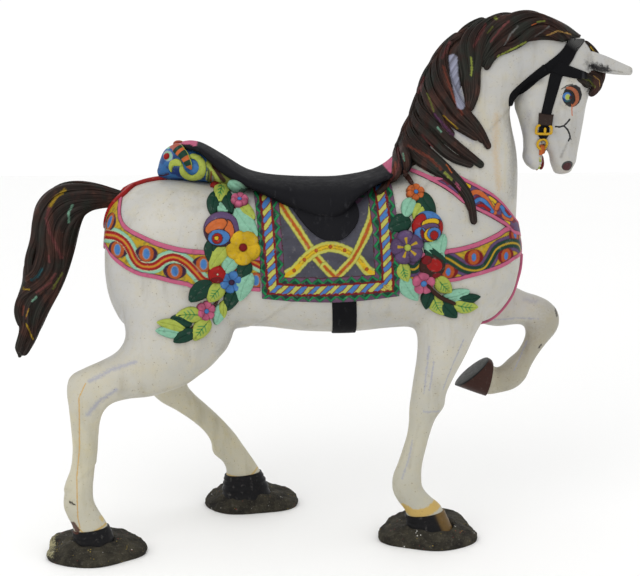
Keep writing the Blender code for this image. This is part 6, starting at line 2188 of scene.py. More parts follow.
def rear_swag() -> Swag:
    """The swag behind the cloth, which sweeps back to the flank."""
    light, dark, mint = Pot.LIME, Pot.DARK_GREEN, Pot.MINT
    leaves = [
        Leaf((-0.25, 1.005), (-0.198, 0.98), mint, 0.62), Leaf((-0.277, 0.978), (-0.294, 0.922), dark, 0.66),
        Leaf((-0.258, 0.978), (-0.24, 0.925), dark, 0.6),
        Leaf((-0.258, 0.998), (-0.276, 0.95), light, 0.8, True),
        Leaf((-0.288, 0.952), (-0.25, 0.93), mint, 0.5), Leaf((-0.22, 0.946), (-0.18, 0.911), light, 0.7),
        Leaf((-0.232, 0.938), (-0.174, 0.868), mint, 0.56), Leaf((-0.25, 0.85), (-0.3, 0.785), light, 0.5),
        Leaf((-0.29, 0.87), (-0.287, 0.792), dark, 0.56), Leaf((-0.226, 0.822), (-0.266, 0.772), mint, 0.66),
        Leaf((-0.195, 0.806), (-0.222, 0.76), dark, 0.76), Leaf((-0.192, 0.778), (-0.222, 0.7), mint, 0.56),
        Leaf((-0.29, 0.752), (-0.356, 0.7), dark, 0.6),
        Leaf((-0.266, 0.745), (-0.306, 0.698), light, 0.76, True),
        Leaf((-0.228, 0.732), (-0.256, 0.672), dark, 0.62), Leaf((-0.262, 0.7), (-0.268, 0.65), light, 0.5),
        Leaf((-0.262, 0.69), (-0.288, 0.632), mint, 0.56), Leaf((-0.348, 0.64), (-0.405, 0.66), dark, 0.55),
        Leaf((-0.32, 0.66), (-0.392, 0.664), light, 0.56, True),
        Leaf((-0.366, 0.628), (-0.44, 0.648), light, 0.4),
        Leaf((-0.374, 0.614), (-0.444, 0.626), mint, 0.46),
        Leaf((-0.338, 0.622), (-0.398, 0.596), dark, 0.56),
        Leaf((-0.304, 0.648), (-0.346, 0.598), light, 0.66, True),
    ]
    rose = [
        (-0.05, -0.35, 0.78, 0.62, 0.0, Pot.PLUM, -0.08), (0.42, -0.12, 0.24, 0.52, 0.12, Pot.ORANGE, 0.05),
        (-0.3, 0.1, 0.62, 0.34, 0.45, Pot.ORANGE, 0.08), (-0.15, -0.52, 0.58, 0.4, 0.0, Pot.BLUE, 0.05),
        (-0.24, -0.58, 0.27, 0.26, 0.0, Pot.RED, 0.12), (-0.28, -0.58, 0.1, 0.1, 0.0, Pot.YELLOW, 0.05),
    ]
    fruit = [(-0.05, -0.62, 0.62, 0.42, 0.0, Pot.CRIMSON, -0.04),
             (0.02, 0.12, 0.09, 0.09, 0.0, Pot.CREAM, 0.03)]
    blossoms = [
        Rose((-0.281, 0.773), 0.025, Pot.RED, fruit, 0.022),
        Blossom((-0.272, 0.994), 0.027, 5, Pot.RED, Pot.YELLOW, 0.26, tilt=0.7, stand=0.016),
        Blossom((-0.221, 0.952), 0.025, 6, Pot.PINK, Pot.BLUE, stand=0.006),
        Rose((-0.268, 0.888), 0.048, Pot.PURPLE, rose, 0.026),
        Blossom((-0.212, 0.842), 0.048, 5, Pot.YELLOW, Pot.CRIMSON, 0.22, turn=0.9, lift=0.018),
        Blossom((-0.243, 0.752), 0.033, 6, Pot.BLUE, Pot.PLUM),
        Blossom((-0.314, 0.672), 0.028, 6, Pot.PINK, Pot.BLUE),
    ]
    stems = [Stem([(-0.275, 0.712), (-0.3, 0.668), (-0.33, 0.638), (-0.372, 0.622)]),
             Stem([(-0.236, 0.822), (-0.262, 0.806)])]
    return Swag("rear_swag", leaves, blossoms, stems)


def front_swag() -> Swag:
    """The swag before the cloth, which sweeps forward to the breast."""
    light, dark, mint = Pot.LIME, Pot.DARK_GREEN, Pot.MINT
    leaves = [
        Leaf((0.259, 0.975), (0.296, 0.918), dark, 0.66), Leaf((0.269, 0.949), (0.24, 0.906), light, 0.66),
        Leaf((0.241, 0.962), (0.214, 0.912), mint, 0.66), Leaf((0.232, 0.907), (0.17, 0.885), dark, 0.7),
        Leaf((0.27, 0.858), (0.32, 0.808), mint, 0.62), Leaf((0.318, 0.872), (0.308, 0.808), mint, 0.5),
        Leaf((0.268, 0.836), (0.326, 0.796), dark, 0.54),
        Leaf((0.206, 0.8), (0.222, 0.748), light, 0.7, True),
        Leaf((0.205, 0.766), (0.252, 0.694), mint, 0.52),
        Leaf((0.3, 0.757), (0.344, 0.712), light, 0.66, True),
        Leaf((0.288, 0.722), (0.276, 0.668), dark, 0.7),
        Leaf((0.29, 0.712), (0.326, 0.65), light, 0.6, True),
        Leaf((0.32, 0.694), (0.392, 0.717), mint, 0.5), Leaf((0.344, 0.694), (0.42, 0.7), dark, 0.42),
        Leaf((0.312, 0.7), (0.358, 0.644), dark, 0.62),
        Leaf((0.345, 0.682), (0.413, 0.672), light, 0.54, True),
    ]
    rose = [
        (0.15, 0.55, 0.78, 0.4, -0.25, Pot.BLUE, 0.06), (-0.62, 0.1, 0.36, 0.72, -0.45, Pot.RED, 0.05),
        (0.72, -0.05, 0.26, 0.42, 0.1, Pot.RED, 0.03), (0.12, 0.18, 0.56, 0.26, 0.18, Pot.YELLOW, 0.07),
        (-0.02, -0.18, 0.66, 0.3, 0.2, Pot.PURPLE, 0.05), (-0.52, -0.5, 0.36, 0.4, 0.3, Pot.BLUE, 0.03),
        (-0.4, -0.52, 0.1, 0.26, 0.2, Pot.CRIMSON, 0.02), (0.22, -0.55, 0.52, 0.42, 0.1, Pot.YELLOW, 0.04),
        (0.34, -0.5, 0.44, 0.38, 0.1, Pot.BLUE, 0.04), (0.34, -0.6, 0.26, 0.26, 0.0, Pot.RED, 0.12),
    ]
    bud = [(0.1, 0.1, 0.62, 0.48, -0.4, Pot.RED, 0.06), (-0.5, 0.5, 0.36, 0.3, 0.5, Pot.CRIMSON, 0.03),
           (0.3, -0.7, 0.34, 0.22, 0.0, Pot.CRIMSON, 0.04)]
    blossoms = [
        Rose((0.288, 0.788), 0.036, Pot.BARK, bud, 0.018),
        Blossom((0.247, 0.975), 0.026, 6, Pot.ORANGE, Pot.BLUE),
        Rose((0.275, 0.891), 0.042, Pot.PURPLE, rose, 0.026),
        Blossom((0.22, 0.838), 0.047, 5, Pot.PURPLE, Pot.LIME, 0.2, Pot.MUSTARD, turn=0.5, lift=0.018),
        Blossom((0.265, 0.742), 0.033, 5, Pot.PINK, Pot.BLUE, 0.26),
    ]
    stems = [Stem([(0.213, 1.036), (0.224, 1.024), (0.234, 1.008), (0.243, 0.99)], 0.0072, 1.2),
             Stem([(0.274, 0.74), (0.296, 0.716), (0.318, 0.699), (0.356, 0.681)], 0.0056, 2.6)]
    return Swag("front_swag", leaves, blossoms, stems)


def plain_swag(name: str, x: float) -> Swag:
    """A simpler swag for the side that is turned away: three flowers between leaves, about that x."""
    leaves = []
    for z, spread, pot in ((0.96, 0.052, Pot.DARK_GREEN), (0.895, 0.058, Pot.MINT), (0.83, 0.055, Pot.LIME),
                           (0.765, 0.058, Pot.DARK_GREEN), (0.705, 0.052, Pot.MINT)):
        leaves += [Leaf((x - 0.008, z), (x - spread, z - 0.04), pot, 0.62, pot is Pot.LIME),
                   Leaf((x + 0.008, z - 0.006), (x + spread, z - 0.046), pot, 0.62, pot is Pot.LIME)]
    blossoms = [Blossom((x, 0.965), 0.028, 5, Pot.ORANGE, Pot.BLUE),
                Blossom((x, 0.89), 0.043, 5, Pot.YELLOW, Pot.CRIMSON),
                Blossom((x, 0.805), 0.038, 6, Pot.PINK, Pot.BLUE),
                Blossom((x, 0.735), 0.031, 5, Pot.BLUE, Pot.YELLOW)]
    return Swag(name, leaves, blossoms, [], Side.LEFT)


# ---------------------------------------------------------------- the ram's head behind the saddle


@dataclass
class RamHead:
    """A small painted ram's head that looks back over the rump, with a coiled horn on each side."""

    voxel: float = 0.0026
    horn_centre: tuple[float, float] = (-0.345, 1.041)
    horn_radius: float = 0.0285
    eye: tuple[float, float] = (-0.414, 1.067)
    head: Solid | None = None

    def paint(self, points: Array) -> Array:
        """Blue face, mouth, patches, wool behind and a pink crest, over the side view."""
        place = points[:, [0, 2]]
        brush = Brush(Pot.RAM_BLUE, len(points))
        brush.lay(0.55 * smooth_step((waver(place, 0.045, 1.0) - 0.1) / 0.4), Pot.DEEP_BLUE)
        brush.lay(0.8 * smooth_step((1.012 - place[:, 1]) / 0.006) * (place[:, 0] > -0.405), Pot.DEEP_BLUE)
        brush.lay(place[:, 0] > -0.306, Pot.OLIVE)
        for pot, half, line in RAM_MARKS:
            brush.within(near_line(place, line)[0], ((half, pot),))
        crest = (place[:, 1] > 1.0925) & (place[:, 0] > -0.392)
        brush.lay(crest, Pot.PINK)
        ring = near_line(place, [(-0.4105, 1.0685), (-0.411, 1.069)])[0]
        outside = np.abs(points[:, 1]) > 0.012
        brush.lay(near(ring, 0.0132) * outside, Pot.BLUE_GREY)
        brush.lay(near(ring, 0.0115) * outside, Pot.MINT)
        return brush.colour

    def dress(self, finish: Material) -> None:
        """Make the head, and its eyes, ears and horns."""
        block = Skin(*fused("ram", [tube(loft(RAM_HEAD_ROWS, sides=60, steps=10))], self.voxel))
        block.smooth(4)
        for side in Side:
            block.carve([(-0.4345, 1.0135), (-0.41, 1.02)], width=0.0022, depth=0.003, side=side)
            block.carve([self.eye, (self.eye[0] + 0.001, self.eye[1])], width=0.009, depth=0.003, side=side)
        skin = block.solid()
        self.head = skin
        add_piece("ram_head", [skin.painted(self.paint(skin.points))], finish)
        ground = Ground([skin])
        for side in Side:
            parts = [self.coil(ground, side), self.root(ground, side), self.ear(ground, side),
                     self.eyeball(ground, side)]
            add_piece(f"ram_horn_{side.word}", parts, finish)
        ground.remove()

    def coil(self, ground: Ground, side: Side) -> Solid:
        """The horn's yellow-green coil: three quarters of a turn, from a point to a narrower end."""
        angle = np.linspace(math.radians(160), math.radians(465), 40)
        x, z = self.horn_centre
        line = [(x + self.horn_radius * math.cos(a), z + self.horn_radius * math.sin(a)) for a in angle]
        return lock(ground, line, 0.0108, side, ribs=0, rise=0.25, count=90, flat=0.6,
                    shape=(0.25, 0.9, 1.0, 1.0, 0.95, 0.85, 0.65)).painted(Pot.LIME.rgb)

    def root(self, ground: Ground, side: Side) -> Solid:
        """The horn's root, banded in orange and dark green, with a thin yellow-green outer edge."""
        line = [(-0.391, 1.09), (-0.377, 1.079), (-0.364, 1.068), (-0.356, 1.056), (-0.351, 1.045),
                (-0.347, 1.035)]
        rings, sides = 110, 28
        rod_of = lock(ground, line, 0.016, side, ribs=0, rise=0.7, count=rings, sides=sides, flat=0.6,
                      shape=(1.0, 0.95, 0.84, 0.72, 0.6, 0.1))
        t = np.linspace(0.0, 1.0, rings)
        t = t - 0.12 * np.sin(2 * math.pi * t)
        brush = Brush(Pot.SALMON, rings)
        for start, pot in ((0.17, Pot.DARK_GREEN), (0.27, Pot.ORANGE), (0.36, Pot.DARK_GREEN),
                           (0.53, Pot.ORANGE), (0.65, Pot.DARK_GREEN), (0.8, Pot.ORANGE)):
            brush.lay(t > start, pot)
        angle = np.linspace(0.0, 2 * math.pi, sides, endpoint=False)
        edge = np.broadcast_to(side.value * np.cos(angle) > 0.86, (rings, sides)) & (t > 0.12)[:, None]
        colour = np.where(edge[..., None], Pot.LIME.rgb, brush.colour[:, None, :]).reshape(-1, 3)
        return rod_of.painted(np.concatenate([colour, colour[:1], colour[-1:]]))

    def ear(self, ground: Ground, side: Side) -> Solid:
        """A drooping ear before the horn: a crescent with its point down."""
        outer = [(-0.4, 1.0265), (-0.4075, 1.039), (-0.405, 1.0535), (-0.3945, 1.062), (-0.382, 1.063),
                 (-0.373, 1.056), (-0.371, 1.046)]
        inner = [(-0.4, 1.027), (-0.3985, 1.037), (-0.395, 1.0425), (-0.388, 1.0435), (-0.382, 1.043),
                 (-0.375, 1.044), (-0.3705, 1.0455)]
        flat = strip(outer, inner, 60, 16)
        height = rounded(flat.shape[:2], (0.06, 0.018), 0.0068, radius=0.006)
        paint = np.broadcast_to(Pot.LIME.rgb, height.shape + (3,))
        return laid(ground, in_space(flat), side, height, sink=0.004, paint=paint, rounds=1)

    def eyeball(self, ground: Ground, side: Side) -> Solid:
        """A red ball half sunk in its socket."""
        on, out = ground.lay(in_space(np.array([self.eye])), side)
        return ball(on[0] - out[0] * 0.001, 0.0098).painted(Pot.RED.rgb)


RAM_MARKS = [
    (Pot.LIME, 0.0052, [(-0.306, 1.052), (-0.294, 1.038), (-0.284, 1.024), (-0.276, 1.004)]),
    (Pot.BARK, 0.006, [(-0.288, 1.046), (-0.276, 1.028), (-0.262, 1.008)]),
    (Pot.LIME, 0.0016, [(-0.306, 1.03), (-0.309, 1.004)]),
    (Pot.DARK_GREEN, 0.0014, [(-0.3025, 1.04), (-0.3015, 1.022), (-0.305, 1.004)]),
    (Pot.GREY, 0.0022, [(-0.292, 1.018), (-0.291, 1.0)]),
    (Pot.CRIMSON, 0.0016, [(-0.294, 1.032), (-0.297, 1.002)]),
    (Pot.BLUE, 0.005, [(-0.365, 1.001), (-0.312, 1.0)]),
    (Pot.BLUE, 0.011, [(-0.34, 1.04), (-0.336, 1.036)]),
    (Pot.DEEP_BLUE, 0.0105, [(-0.397, 1.03), (-0.384, 1.03), (-0.38, 1.022)]),
    (Pot.DEEP_BLUE, 0.0035, [(-0.424, 1.078), (-0.4, 1.07), (-0.378, 1.052)]),
    (Pot.MINT, 0.005, [(-0.4125, 1.09), (-0.404, 1.098)]),
    (Pot.SALMON, 0.009, [(-0.401, 1.096), (-0.384, 1.098)]),
    (Pot.IVORY, 0.0028, [(-0.38, 1.102), (-0.379, 1.103)]),
    (Pot.MAROON, 0.0017, [(-0.4345, 1.0135), (-0.424, 1.0145), (-0.41, 1.02)]),
    (Pot.BLUE_GREY, 0.0016, [(-0.43, 1.004), (-0.405, 1.0015)]),
]


def ball(middle: Array, radius: float, rings: int = 18, sides: int = 28) -> Solid:
    """Sphere with its poles along Y: middle + radius (sin t cos a, cos t, sin t sin a)."""
    tilt = np.linspace(0.12, math.pi - 0.12, rings)[:, None]
    angle = np.linspace(0.0, 2 * math.pi, sides, endpoint=False)[None, :]
    rings_of = np.stack([np.sin(tilt) * np.cos(angle), np.cos(tilt) + 0 * angle,
                         np.sin(tilt) * np.sin(angle)], -1)
    return tube(middle + radius * rings_of)


# ---------------------------------------------------------------- girth and bridle


@dataclass
class Girth:
    """The black girth that shows under the cloth and passes below the belly."""

    lift: float = 0.0045
    breadth: float = 0.07
    centre_z: float = 0.78
    radius: float = 0.24
    rows: int = 200
    cols: int = 44

    def dress(self, ground: Ground, finish: Material) -> None:
        """Make the girth: up one flank, under the belly and up the other, with a white chip near its top."""
        angle = np.linspace(math.radians(-160), math.radians(-20), 150)
        shift = 0.012 * np.clip(-np.sin(angle), 0.0, 1.0)
        left = np.stack([0.016 + shift, self.radius * np.cos(angle),
                         self.centre_z + self.radius * np.sin(angle)], axis=1)
        right = left + [self.breadth, 0.0, 0.0]
        grid = strip(left, right, self.rows, self.cols)
        height = rounded(grid.shape[:2], (0.5, self.breadth), self.lift, radius=0.004)
        brush = Brush(Pot.BLACK, self.rows * self.cols)
        brush.within(near_line(grid.reshape(-1, 3), GIRTH_CHIP)[0], ((0.0018, Pot.WHITE),))
        sheet = laid(ground, grid, None, height, sink=0.006, paint=brush.colour.reshape(grid.shape),
                     rounds=4)
        add_piece("girth", [sheet], finish)


GIRTH_CHIP = [(0.052, -0.222, 0.688), (0.057, -0.224, 0.692), (0.064, -0.224, 0.692)]


@dataclass
class Face:
    """Eyes with their painted lids, and the teeth and gum that show in the open mouth."""

    eye: tuple[float, float] = (0.662, 1.224)
    radius: float = 0.0165

    def eyeball(self, ground: Ground, side: Side) -> Solid:
        """The ball: blue behind, yellow-green in the middle, a red wedge before it, dark at its rim."""
        on, out = ground.lay(in_space(np.array([self.eye])), side)
        globe = ball(on[0] - out[0] * self.radius * 0.52, self.radius, 40, 56)
        off = globe.points[:, [0, 2]] - np.array(self.eye)
        brush = Brush(Pot.BLACK, len(off))
        brush.jewel(off, (0.0, 0.0), ((0.0148, 0.0155, Pot.DEEP_BLUE),))
        brush.jewel(off, (-0.0035, 0.005), ((0.0108, 0.0096, Pot.BLUE),))
        brush.jewel(off, (0.0035, -0.01), ((0.01, 0.0072, Pot.TEAL),))
        brush.jewel(off, (0.0, 0.0005), ((0.008, 0.0086, Pot.BLUE_GREY), (0.0068, 0.0074, Pot.LIME)))
        brush.jewel(off, (0.0085, -0.0015), ((0.0048, 0.0056, Pot.MAROON),))
        brush.lay(np.abs(np.hypot(off[:, 0] / 0.95, off[:, 1]) - self.radius * 0.96) < 0.0008, Pot.BLACK)
        return globe.painted(brush.colour)

    def lid(self, ground: Ground, side: Side) -> Solid:
        """The orange crescent before the eye, thin at both ends."""
        line = [(0.656, 1.249), (0.67, 1.248), (0.6825, 1.24), (0.689, 1.227), (0.6895, 1.213),
                (0.682, 1.203), (0.677, 1.199)]
        return lock(ground, line, 0.006, side, ribs=0, rise=0.25, count=70, flat=0.55,
                    shape=(0.55, 0.75, 0.85, 1.0, 0.95, 0.75, 0.45)).painted(Pot.LID.rgb)

    def teeth(self, ground: Ground, side: Side) -> list[Solid]:
        """A column of small worn teeth down the edge of the jaw."""
        at = even([(0.5985, 1.056), (0.6005, 1.04), (0.5965, 1.022)], 6)
        on, out = ground.lay(in_space(at), side)
        pots = (Pot.IVORY, Pot.LIME, Pot.WHITE, Pot.IVORY, Pot.LIME, Pot.OCHRE)
        return [ball(place + normal * 0.0005, 0.0036, 12, 16).painted(pot.rgb)
                for place, normal, pot in zip(on, out, pots)]

    def dress(self, ground: Ground, finish: Material) -> None:
        """Make the eyes, and the mouth's gum and teeth."""
        for side in Side:
            parts = [self.eyeball(ground, side), self.lid(ground, side)]
            add_piece(f"eye_{side.word}", parts, finish)
        gum = lock(None, [(0.606, 1.064), (0.6085, 1.05), (0.6095, 1.036), (0.606, 1.022)], 0.0062,
                   Side.RIGHT, ribs=0, count=40, flat=2.4).painted(Pot.CRIMSON.rgb)
        teeth = [tooth for side in Side for tooth in self.teeth(ground, side)]
        add_piece("mouth", [gum] + teeth, finish)


@dataclass
class Bridle:
    """Black straps on each side of the head, with a brown keeper, a painted buckle and a bit ring."""

    rows: int = 80
    cols: int = 24

    def strap(self, ground: Ground, left: Points, right: Points, side: Side, pot: Pot = Pot.BLACK,
              lift: float = 0.0042, worn: Points | None = None) -> Solid:
        """A flat strap between two edge lines of the side view.

        Args:
            ground: what it lies on.
            left: one edge (x, z).
            right: the other edge, in the same direction.
            side: the side of the horse.
            pot: its colour.
            lift: its height.
            worn: a line along which it is rubbed grey, if any.

        Returns:
            Closed Solid.
        """
        flat = strip(left, right, self.rows, self.cols)
        brush = Brush(pot, self.rows * self.cols)
        if worn is not None:
            place = flat.reshape(-1, 2)
            gap, _ = near_line(place, worn)
            lean = (place[:, 0] * 0.75 - place[:, 1] * 0.66) * 2200
            streaky = 0.5 + 0.5 * np.sin(lean + 2 * waver(place, 0.03, 1.0))
            brush.lay(np.clip(1.25 - gap / 0.022, 0.0, 0.95) * streaky, Pot.GREY)
        halfway = self.rows // 2
        size = (float(np.linalg.norm(flat[0, 0] - flat[-1, 0])),
                float(np.linalg.norm(flat[halfway, 0] - flat[halfway, -1])))
        height = rounded(flat.shape[:2], size, lift, radius=0.0032)
        paint = brush.colour.reshape(flat.shape[:2] + (3,))
        return laid(ground, in_space(flat), side, height, sink=0.005, paint=paint, rounds=2)

    def bar(self, ground: Ground, line: Points, side: Side, half: float = 0.0036) -> Solid:
        """One yellow bar of the painted buckle."""
        return lock(ground, line, half, side, ribs=0, rise=1.9, count=30, flat=0.8, sides=16,
                    shape=(0.9, 1.0, 1.0, 1.0, 1.0, 0.9)).painted(Pot.GOLD.rgb)

    def dress(self, ground: Ground, black: Material, colours: Material) -> None:
        """Make the straps and the fittings of both sides."""
        for side in Side:
            name = side.word
            straps = [self.strap(ground, left, right, side, lift=lift, worn=worn)
                      for left, right, lift, worn in BRIDLE_STRAPS]
            add_piece(f"bridle_{name}", straps, black)
            keeper = self.strap(ground, [(0.5865, 1.182), (0.5865, 1.149)],
                                [(0.628, 1.177), (0.626, 1.146)], side, Pot.HAIR, 0.0085)
            add_piece(f"bridle_keeper_{name}", [keeper], colours)
            bars = [self.bar(ground, line, side) for line in BUCKLE_BARS]
            turn = np.linspace(0.3, 2 * math.pi + 0.6, 30)
            circle = [(0.603 + 0.0152 * math.cos(a), 1.096 + 0.0152 * math.sin(a)) for a in turn]
            ring = lock(ground, circle, 0.0036, side, ribs=0, rise=1.2, count=60, sides=16, shape=(1.0, 1.0))
            link = self.strap(ground, [(0.5985, 1.1065), (0.5985, 1.099)],
                              [(0.608, 1.1065), (0.608, 1.099)], side, Pot.SHADOW, 0.009)
            drop = self.strap(ground, [(0.596, 1.094), (0.5955, 1.08), (0.596, 1.064)],
                              [(0.6085, 1.094), (0.611, 1.08), (0.618, 1.07)], side, Pot.ORANGE, 0.007)
            fittings = bars + [ring.painted(Pot.GOLD.rgb), link, drop]
            add_piece(f"bit_ring_{name}", fittings, colours)


BRIDLE_STRAPS = [
    ([(0.596, 1.312), (0.549, 1.272), (0.513, 1.239), (0.505, 1.221), (0.506, 1.198)],
     [(0.624, 1.292), (0.586, 1.265), (0.553, 1.237), (0.524, 1.216), (0.519, 1.198)], 0.0042, None),
    ([(0.618, 1.296), (0.611, 1.265), (0.593, 1.18), (0.589, 1.121)],
     [(0.65, 1.284), (0.639, 1.251), (0.621, 1.175), (0.619, 1.12)], 0.0044, None),
    ([(0.668, 1.379), (0.645, 1.349), (0.619, 1.327), (0.594, 1.308)],
     [(0.719, 1.375), (0.69, 1.347), (0.67, 1.314), (0.64, 1.286)], 0.0052,
     [(0.668, 1.385), (0.696, 1.366)]),
    ([(0.6, 1.31), (0.622, 1.325), (0.671, 1.306), (0.712, 1.29)],
     [(0.606, 1.294), (0.64, 1.282), (0.671, 1.275), (0.716, 1.268)], 0.0066, None),
    ([(0.588, 1.124), (0.592, 1.115), (0.6025, 1.1055)], [(0.62, 1.123), (0.616, 1.114), (0.606, 1.1055)],
     0.006, None),
]
BUCKLE_BARS = [
    [(0.5925, 1.149), (0.585, 1.1475), (0.584, 1.128), (0.587, 1.1265)],
    [(0.585, 1.1272), (0.623, 1.1262)],
    [(0.616, 1.147), (0.6235, 1.146), (0.6235, 1.128), (0.621, 1.126)],
    [(0.604, 1.143), (0.604, 1.128)],
]


# ---------------------------------------------------------------- pads


def value_noise(points: Array, cell: float, seed: float) -> Array:
    """Smooth noise from -1 to 1: values hashed at a lattice's corners and eased between them.

    Args:
        points: array (n, 3).
        cell: lattice spacing, in metres.
        seed: shifts the hash.

    Returns:
        One value for each point.
    """
    scaled = points / cell + 31.7 * seed
    corner = np.floor(scaled)
    share = smooth_step(scaled - corner)
    total = np.zeros(len(points))
    for i in range(8):
        step = np.array([i & 1, (i >> 1) & 1, (i >> 2) & 1], float)
        at = corner + step
        mixed = np.sin(at @ [127.1, 311.7, 74.7] + seed) * 43758.5453
        weight = np.prod(np.where(step > 0, share, 1 - share), axis=1)
        total += weight * (mixed - np.floor(mixed))
    return 2 * total - 1


@dataclass
class Pad:
    """A rough dark pad under one hoof, with a mound round the hoof and a broken, raised back rim."""

    name: str
    centre: tuple[float, float]
    radii: tuple[float, float]
    hoof: tuple[float, float]
    hoof_radii: tuple[float, float]
    edge: float
    mound: float
    seed: float
    rays: int = 170
    rings: int = 54
    back_rise: float = 0.022
    seat: float = 0.026

    def dress(self, finish: Material) -> None:
        """Make the pad: a wall, a shoulder, a slope up to the hoof and a hidden seat under it.

        The radius wavers by two sines of the angle, and three sizes of noise push every point in or out,
        most at the rim.
        """
        angle = np.linspace(0.0, 2 * math.pi, self.rays, endpoint=False)
        waves = 1 + 0.05 * (np.sin(3 * angle + self.seed) + 0.6 * np.sin(5 * angle + 2.3 * self.seed))
        unit = np.stack([np.cos(angle), np.sin(angle)], axis=1)
        rim = np.array(self.centre) + np.array(self.radii) * unit * waves[:, None]
        wall = np.array(self.hoof) + np.array(self.hoof_radii) * unit
        lumps = 1 + 0.25 * np.sin(2 * angle + 1.7 * self.seed) + 0.15 * np.sin(7 * angle + self.seed)
        rise = self.back_rise * np.clip(np.sin(angle), 0.0, 1.0)
        profile = np.array([(0.97, 0.0, 0.0), (1.0, 0.3, 0.2), (0.99, 0.7, 0.8), (0.94, 0.96, 1.0),
                            (0.76, 1.1, 0.8), (0.46, 1.32, 0.5), (0.2, 1.52, 0.2), (0.02, 1.62, 0.0),
                            (-0.35, 1.0, 0.0)])
        share, height, back = even(profile, self.rings).T
        plan = wall[None] + (rim - wall)[None] * share[:, None, None]
        climb = np.clip((height - 1.0) / 0.6, 0.0, 1.0)[:, None]
        level = self.edge * np.clip(height, 0.0, 1.0)[:, None] * (0.85 + 0.15 * lumps)
        level = level + climb * (self.mound - self.edge) * (0.6 + 0.4 * lumps) + rise * back[:, None]
        inner = np.clip(-share / 0.12, 0.0, 1.0)[:, None]
        level = level * (1 - smooth_step(inner)) + self.seat * smooth_step(inner)
        rings = np.concatenate([plan, level[..., None]], axis=2)
        flat = rings.reshape(-1, 3)
        rough = (0.6 * value_noise(flat, 0.026, self.seed) + 0.35 * value_noise(flat, 0.011, self.seed + 1)
                 + 0.2 * value_noise(flat, 0.005, self.seed + 2)).reshape(rings.shape[:2])
        amount = smooth_step(share / 0.2)[:, None] * smooth_step(height / 0.3)[:, None]
        rings[..., 2] += 0.0032 * rough * amount
        rings[..., :2] += (unit[None] * (0.004 * rough * amount)[..., None])
        rings[..., 2] = np.clip(rings[..., 2], 0.0, None)
        piece = add_piece(f"{self.name}_crust", [tube(rings).painted(Pot.CHARCOAL.rgb)], finish,
                          sharp=70.0)
        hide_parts(self.name)


PADS = [
    Pad("pad_hind_right", (-0.624, -0.166), (0.134, 0.114), (-0.62, -0.19), (0.054, 0.046),
        0.02, 0.046, 1.0),
    Pad("pad_hind_left", (-0.194, 0.247), (0.138, 0.109), (-0.204, 0.212), (0.07, 0.048), 0.018, 0.046, 2.2),
    Pad("pad_fore_right", (0.3, -0.072), (0.136, 0.13), (0.306, -0.11), (0.062, 0.052), 0.02, 0.044, 4.0),
]


# ---------------------------------------------------------------- floor, light and camera


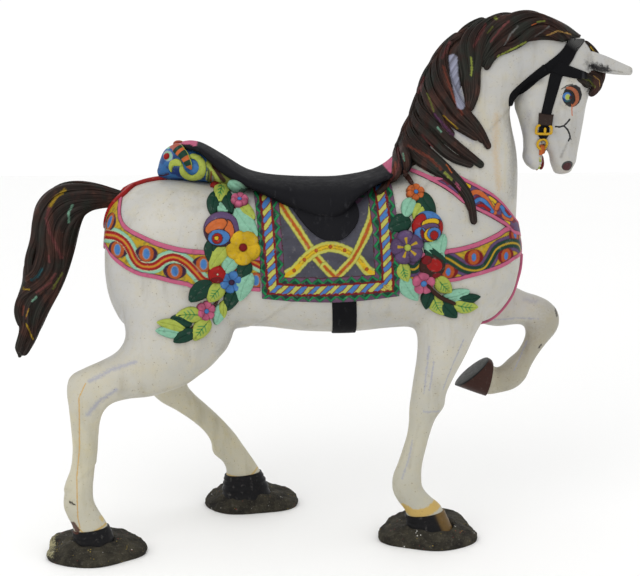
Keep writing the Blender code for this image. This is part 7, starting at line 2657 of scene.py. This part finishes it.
@dataclass
class Studio:
    """A pale floor, a bright even surround, one broad soft lamp, and the camera at the viewer's place."""

    camera_at: tuple[float, float, float] = (-0.2277, -4.344, 1.5)
    look_at: tuple[float, float, float] = (0.0, 0.0, 0.697)
    lens: float = 90.0
    sensor: float = 36.0
    surround: float = 1.02
    lamp_at: tuple[float, float, float] = (-1.6, -2.6, 3.4)
    lamp_power: float = 36.0
    lamp_size: float = 2.4
    lamp_aim_z: float = 0.75
    floor_reach: float = 9.0

    def build(self) -> None:
        """Make all of it."""
        scene = bpy.context.scene
        scene.view_settings.view_transform = "Standard"
        world = bpy.data.worlds.new("surround")
        world.use_nodes = True
        sky = world.node_tree.nodes["Background"].inputs
        sky["Color"].default_value = (1.0, 1.0, 1.0, 1.0)
        sky["Strength"].default_value = self.surround
        scene.world = world
        self.floor()
        self.lamp()
        camera = bpy.data.cameras.new("viewer")
        camera.lens = self.lens
        camera.sensor_width = self.sensor
        viewer = bpy.data.objects.new("viewer", camera)
        viewer.location = Vector(self.camera_at) + Vector((0.0, MID_Y, 0.0))
        aim = Vector(self.look_at) + Vector((0.0, MID_Y, 0.0)) - viewer.location
        viewer.rotation_euler = aim.to_track_quat("-Z", "Y").to_euler()
        scene.collection.objects.link(viewer)
        scene.camera = viewer

    def lamp(self) -> None:
        """A square area lamp that faces the middle of the horse."""
        light = bpy.data.lights.new("key_lamp", "AREA")
        light.energy = self.lamp_power
        light.size = self.lamp_size
        thing = bpy.data.objects.new("key_lamp", light)
        thing.location = self.lamp_at
        aim = Vector((0.0, MID_Y, self.lamp_aim_z)) - Vector(self.lamp_at)
        thing.rotation_euler = aim.to_track_quat("-Z", "Y").to_euler()
        bpy.context.scene.collection.objects.link(thing)

    def floor(self) -> None:
        """A flat pale sheet of floor."""
        mesh = bpy.data.meshes.new("floor")
        reach = self.floor_reach
        corners = [(-reach, -reach, 0.0), (reach, -reach, 0.0), (reach, reach, 0.0), (-reach, reach, 0.0)]
        mesh.from_pydata(corners, [], [(0, 1, 2, 3)])
        tree = Tree("pale_floor")
        base = tree.mix(tree.noise(0.8, 2.0), (0.95, 0.95, 0.945), (0.97, 0.97, 0.965))
        rough = tree.span(tree.noise(3.0), 0.0, 1.0, 0.7, 0.8)
        mesh.materials.append(tree.finish(base, rough, tree.noise(60.0), strength=0.02, distance=0.001))
        floor = bpy.data.objects.new("floor", mesh)
        bpy.context.scene.collection.objects.link(floor)


def main() -> None:
    """Build and dress the whole horse in order."""
    logging.basicConfig(level=logging.INFO, format="%(message)s")
    Studio().build()
    white, face, charcoal = WhitePaint().build(), FacePaint().build(), SaddlePaint().build()
    mane_paint = HairPaint("carved_mane_paint", MANE_STREAKS).build()
    tail_paint = HairPaint("carved_tail_paint", TAIL_STREAKS).build()
    colours = BrushPaint("brushed_colours").build()
    black = BrushPaint("black_hoof_paint", gloss=0.34, wear=0.25).build()
    crust = PadCrust().build()
    horse = WhiteHorse()
    horse.build()
    horse.dress(white, face)
    Hooves().dress(black)
    body = Ground([horse.body.solid(), horse.head.solid()])
    mane = Mane()
    mane.build()
    saddle, ram = Saddle(), RamHead()
    saddle.dress(body, charcoal)
    ram.dress(colours)
    sheets = SaddleCloth().dress(body, colours)
    haired = Ground([horse.body.solid(), horse.head.solid(), mane.core, saddle.seat, *sheets])
    mane.dress(haired, mane_paint)
    haired.remove()
    tail = Tail()
    tail.build()
    tail.dress(tail_paint)
    for band in (Breeching("breeching", BREECHING_UPPER, BREECHING_LOWER, -1),
                 Collar("breast_collar", COLLAR_UPPER, COLLAR_LOWER, 1),
                 Yoke("yoke", YOKE_UPPER, YOKE_LOWER, 1, 0.0064, pink=0.0108), CRUPPER, MARTINGALE):
        band.dress(body, colours)
    laden = Ground([horse.body.solid(), saddle.seat, ram.head])
    for swag in (rear_swag(), front_swag(), plain_swag("rear_swag_left", -0.245),
                 plain_swag("front_swag_left", 0.245)):
        swag.dress(laden, colours)
    laden.remove()
    Girth().dress(body, charcoal)
    Face().dress(body, colours)
    Bridle().dress(body, charcoal, colours)
    for pad in PADS:
        pad.dress(crust)
    body.remove()


if __name__ == "__main__":
    main()
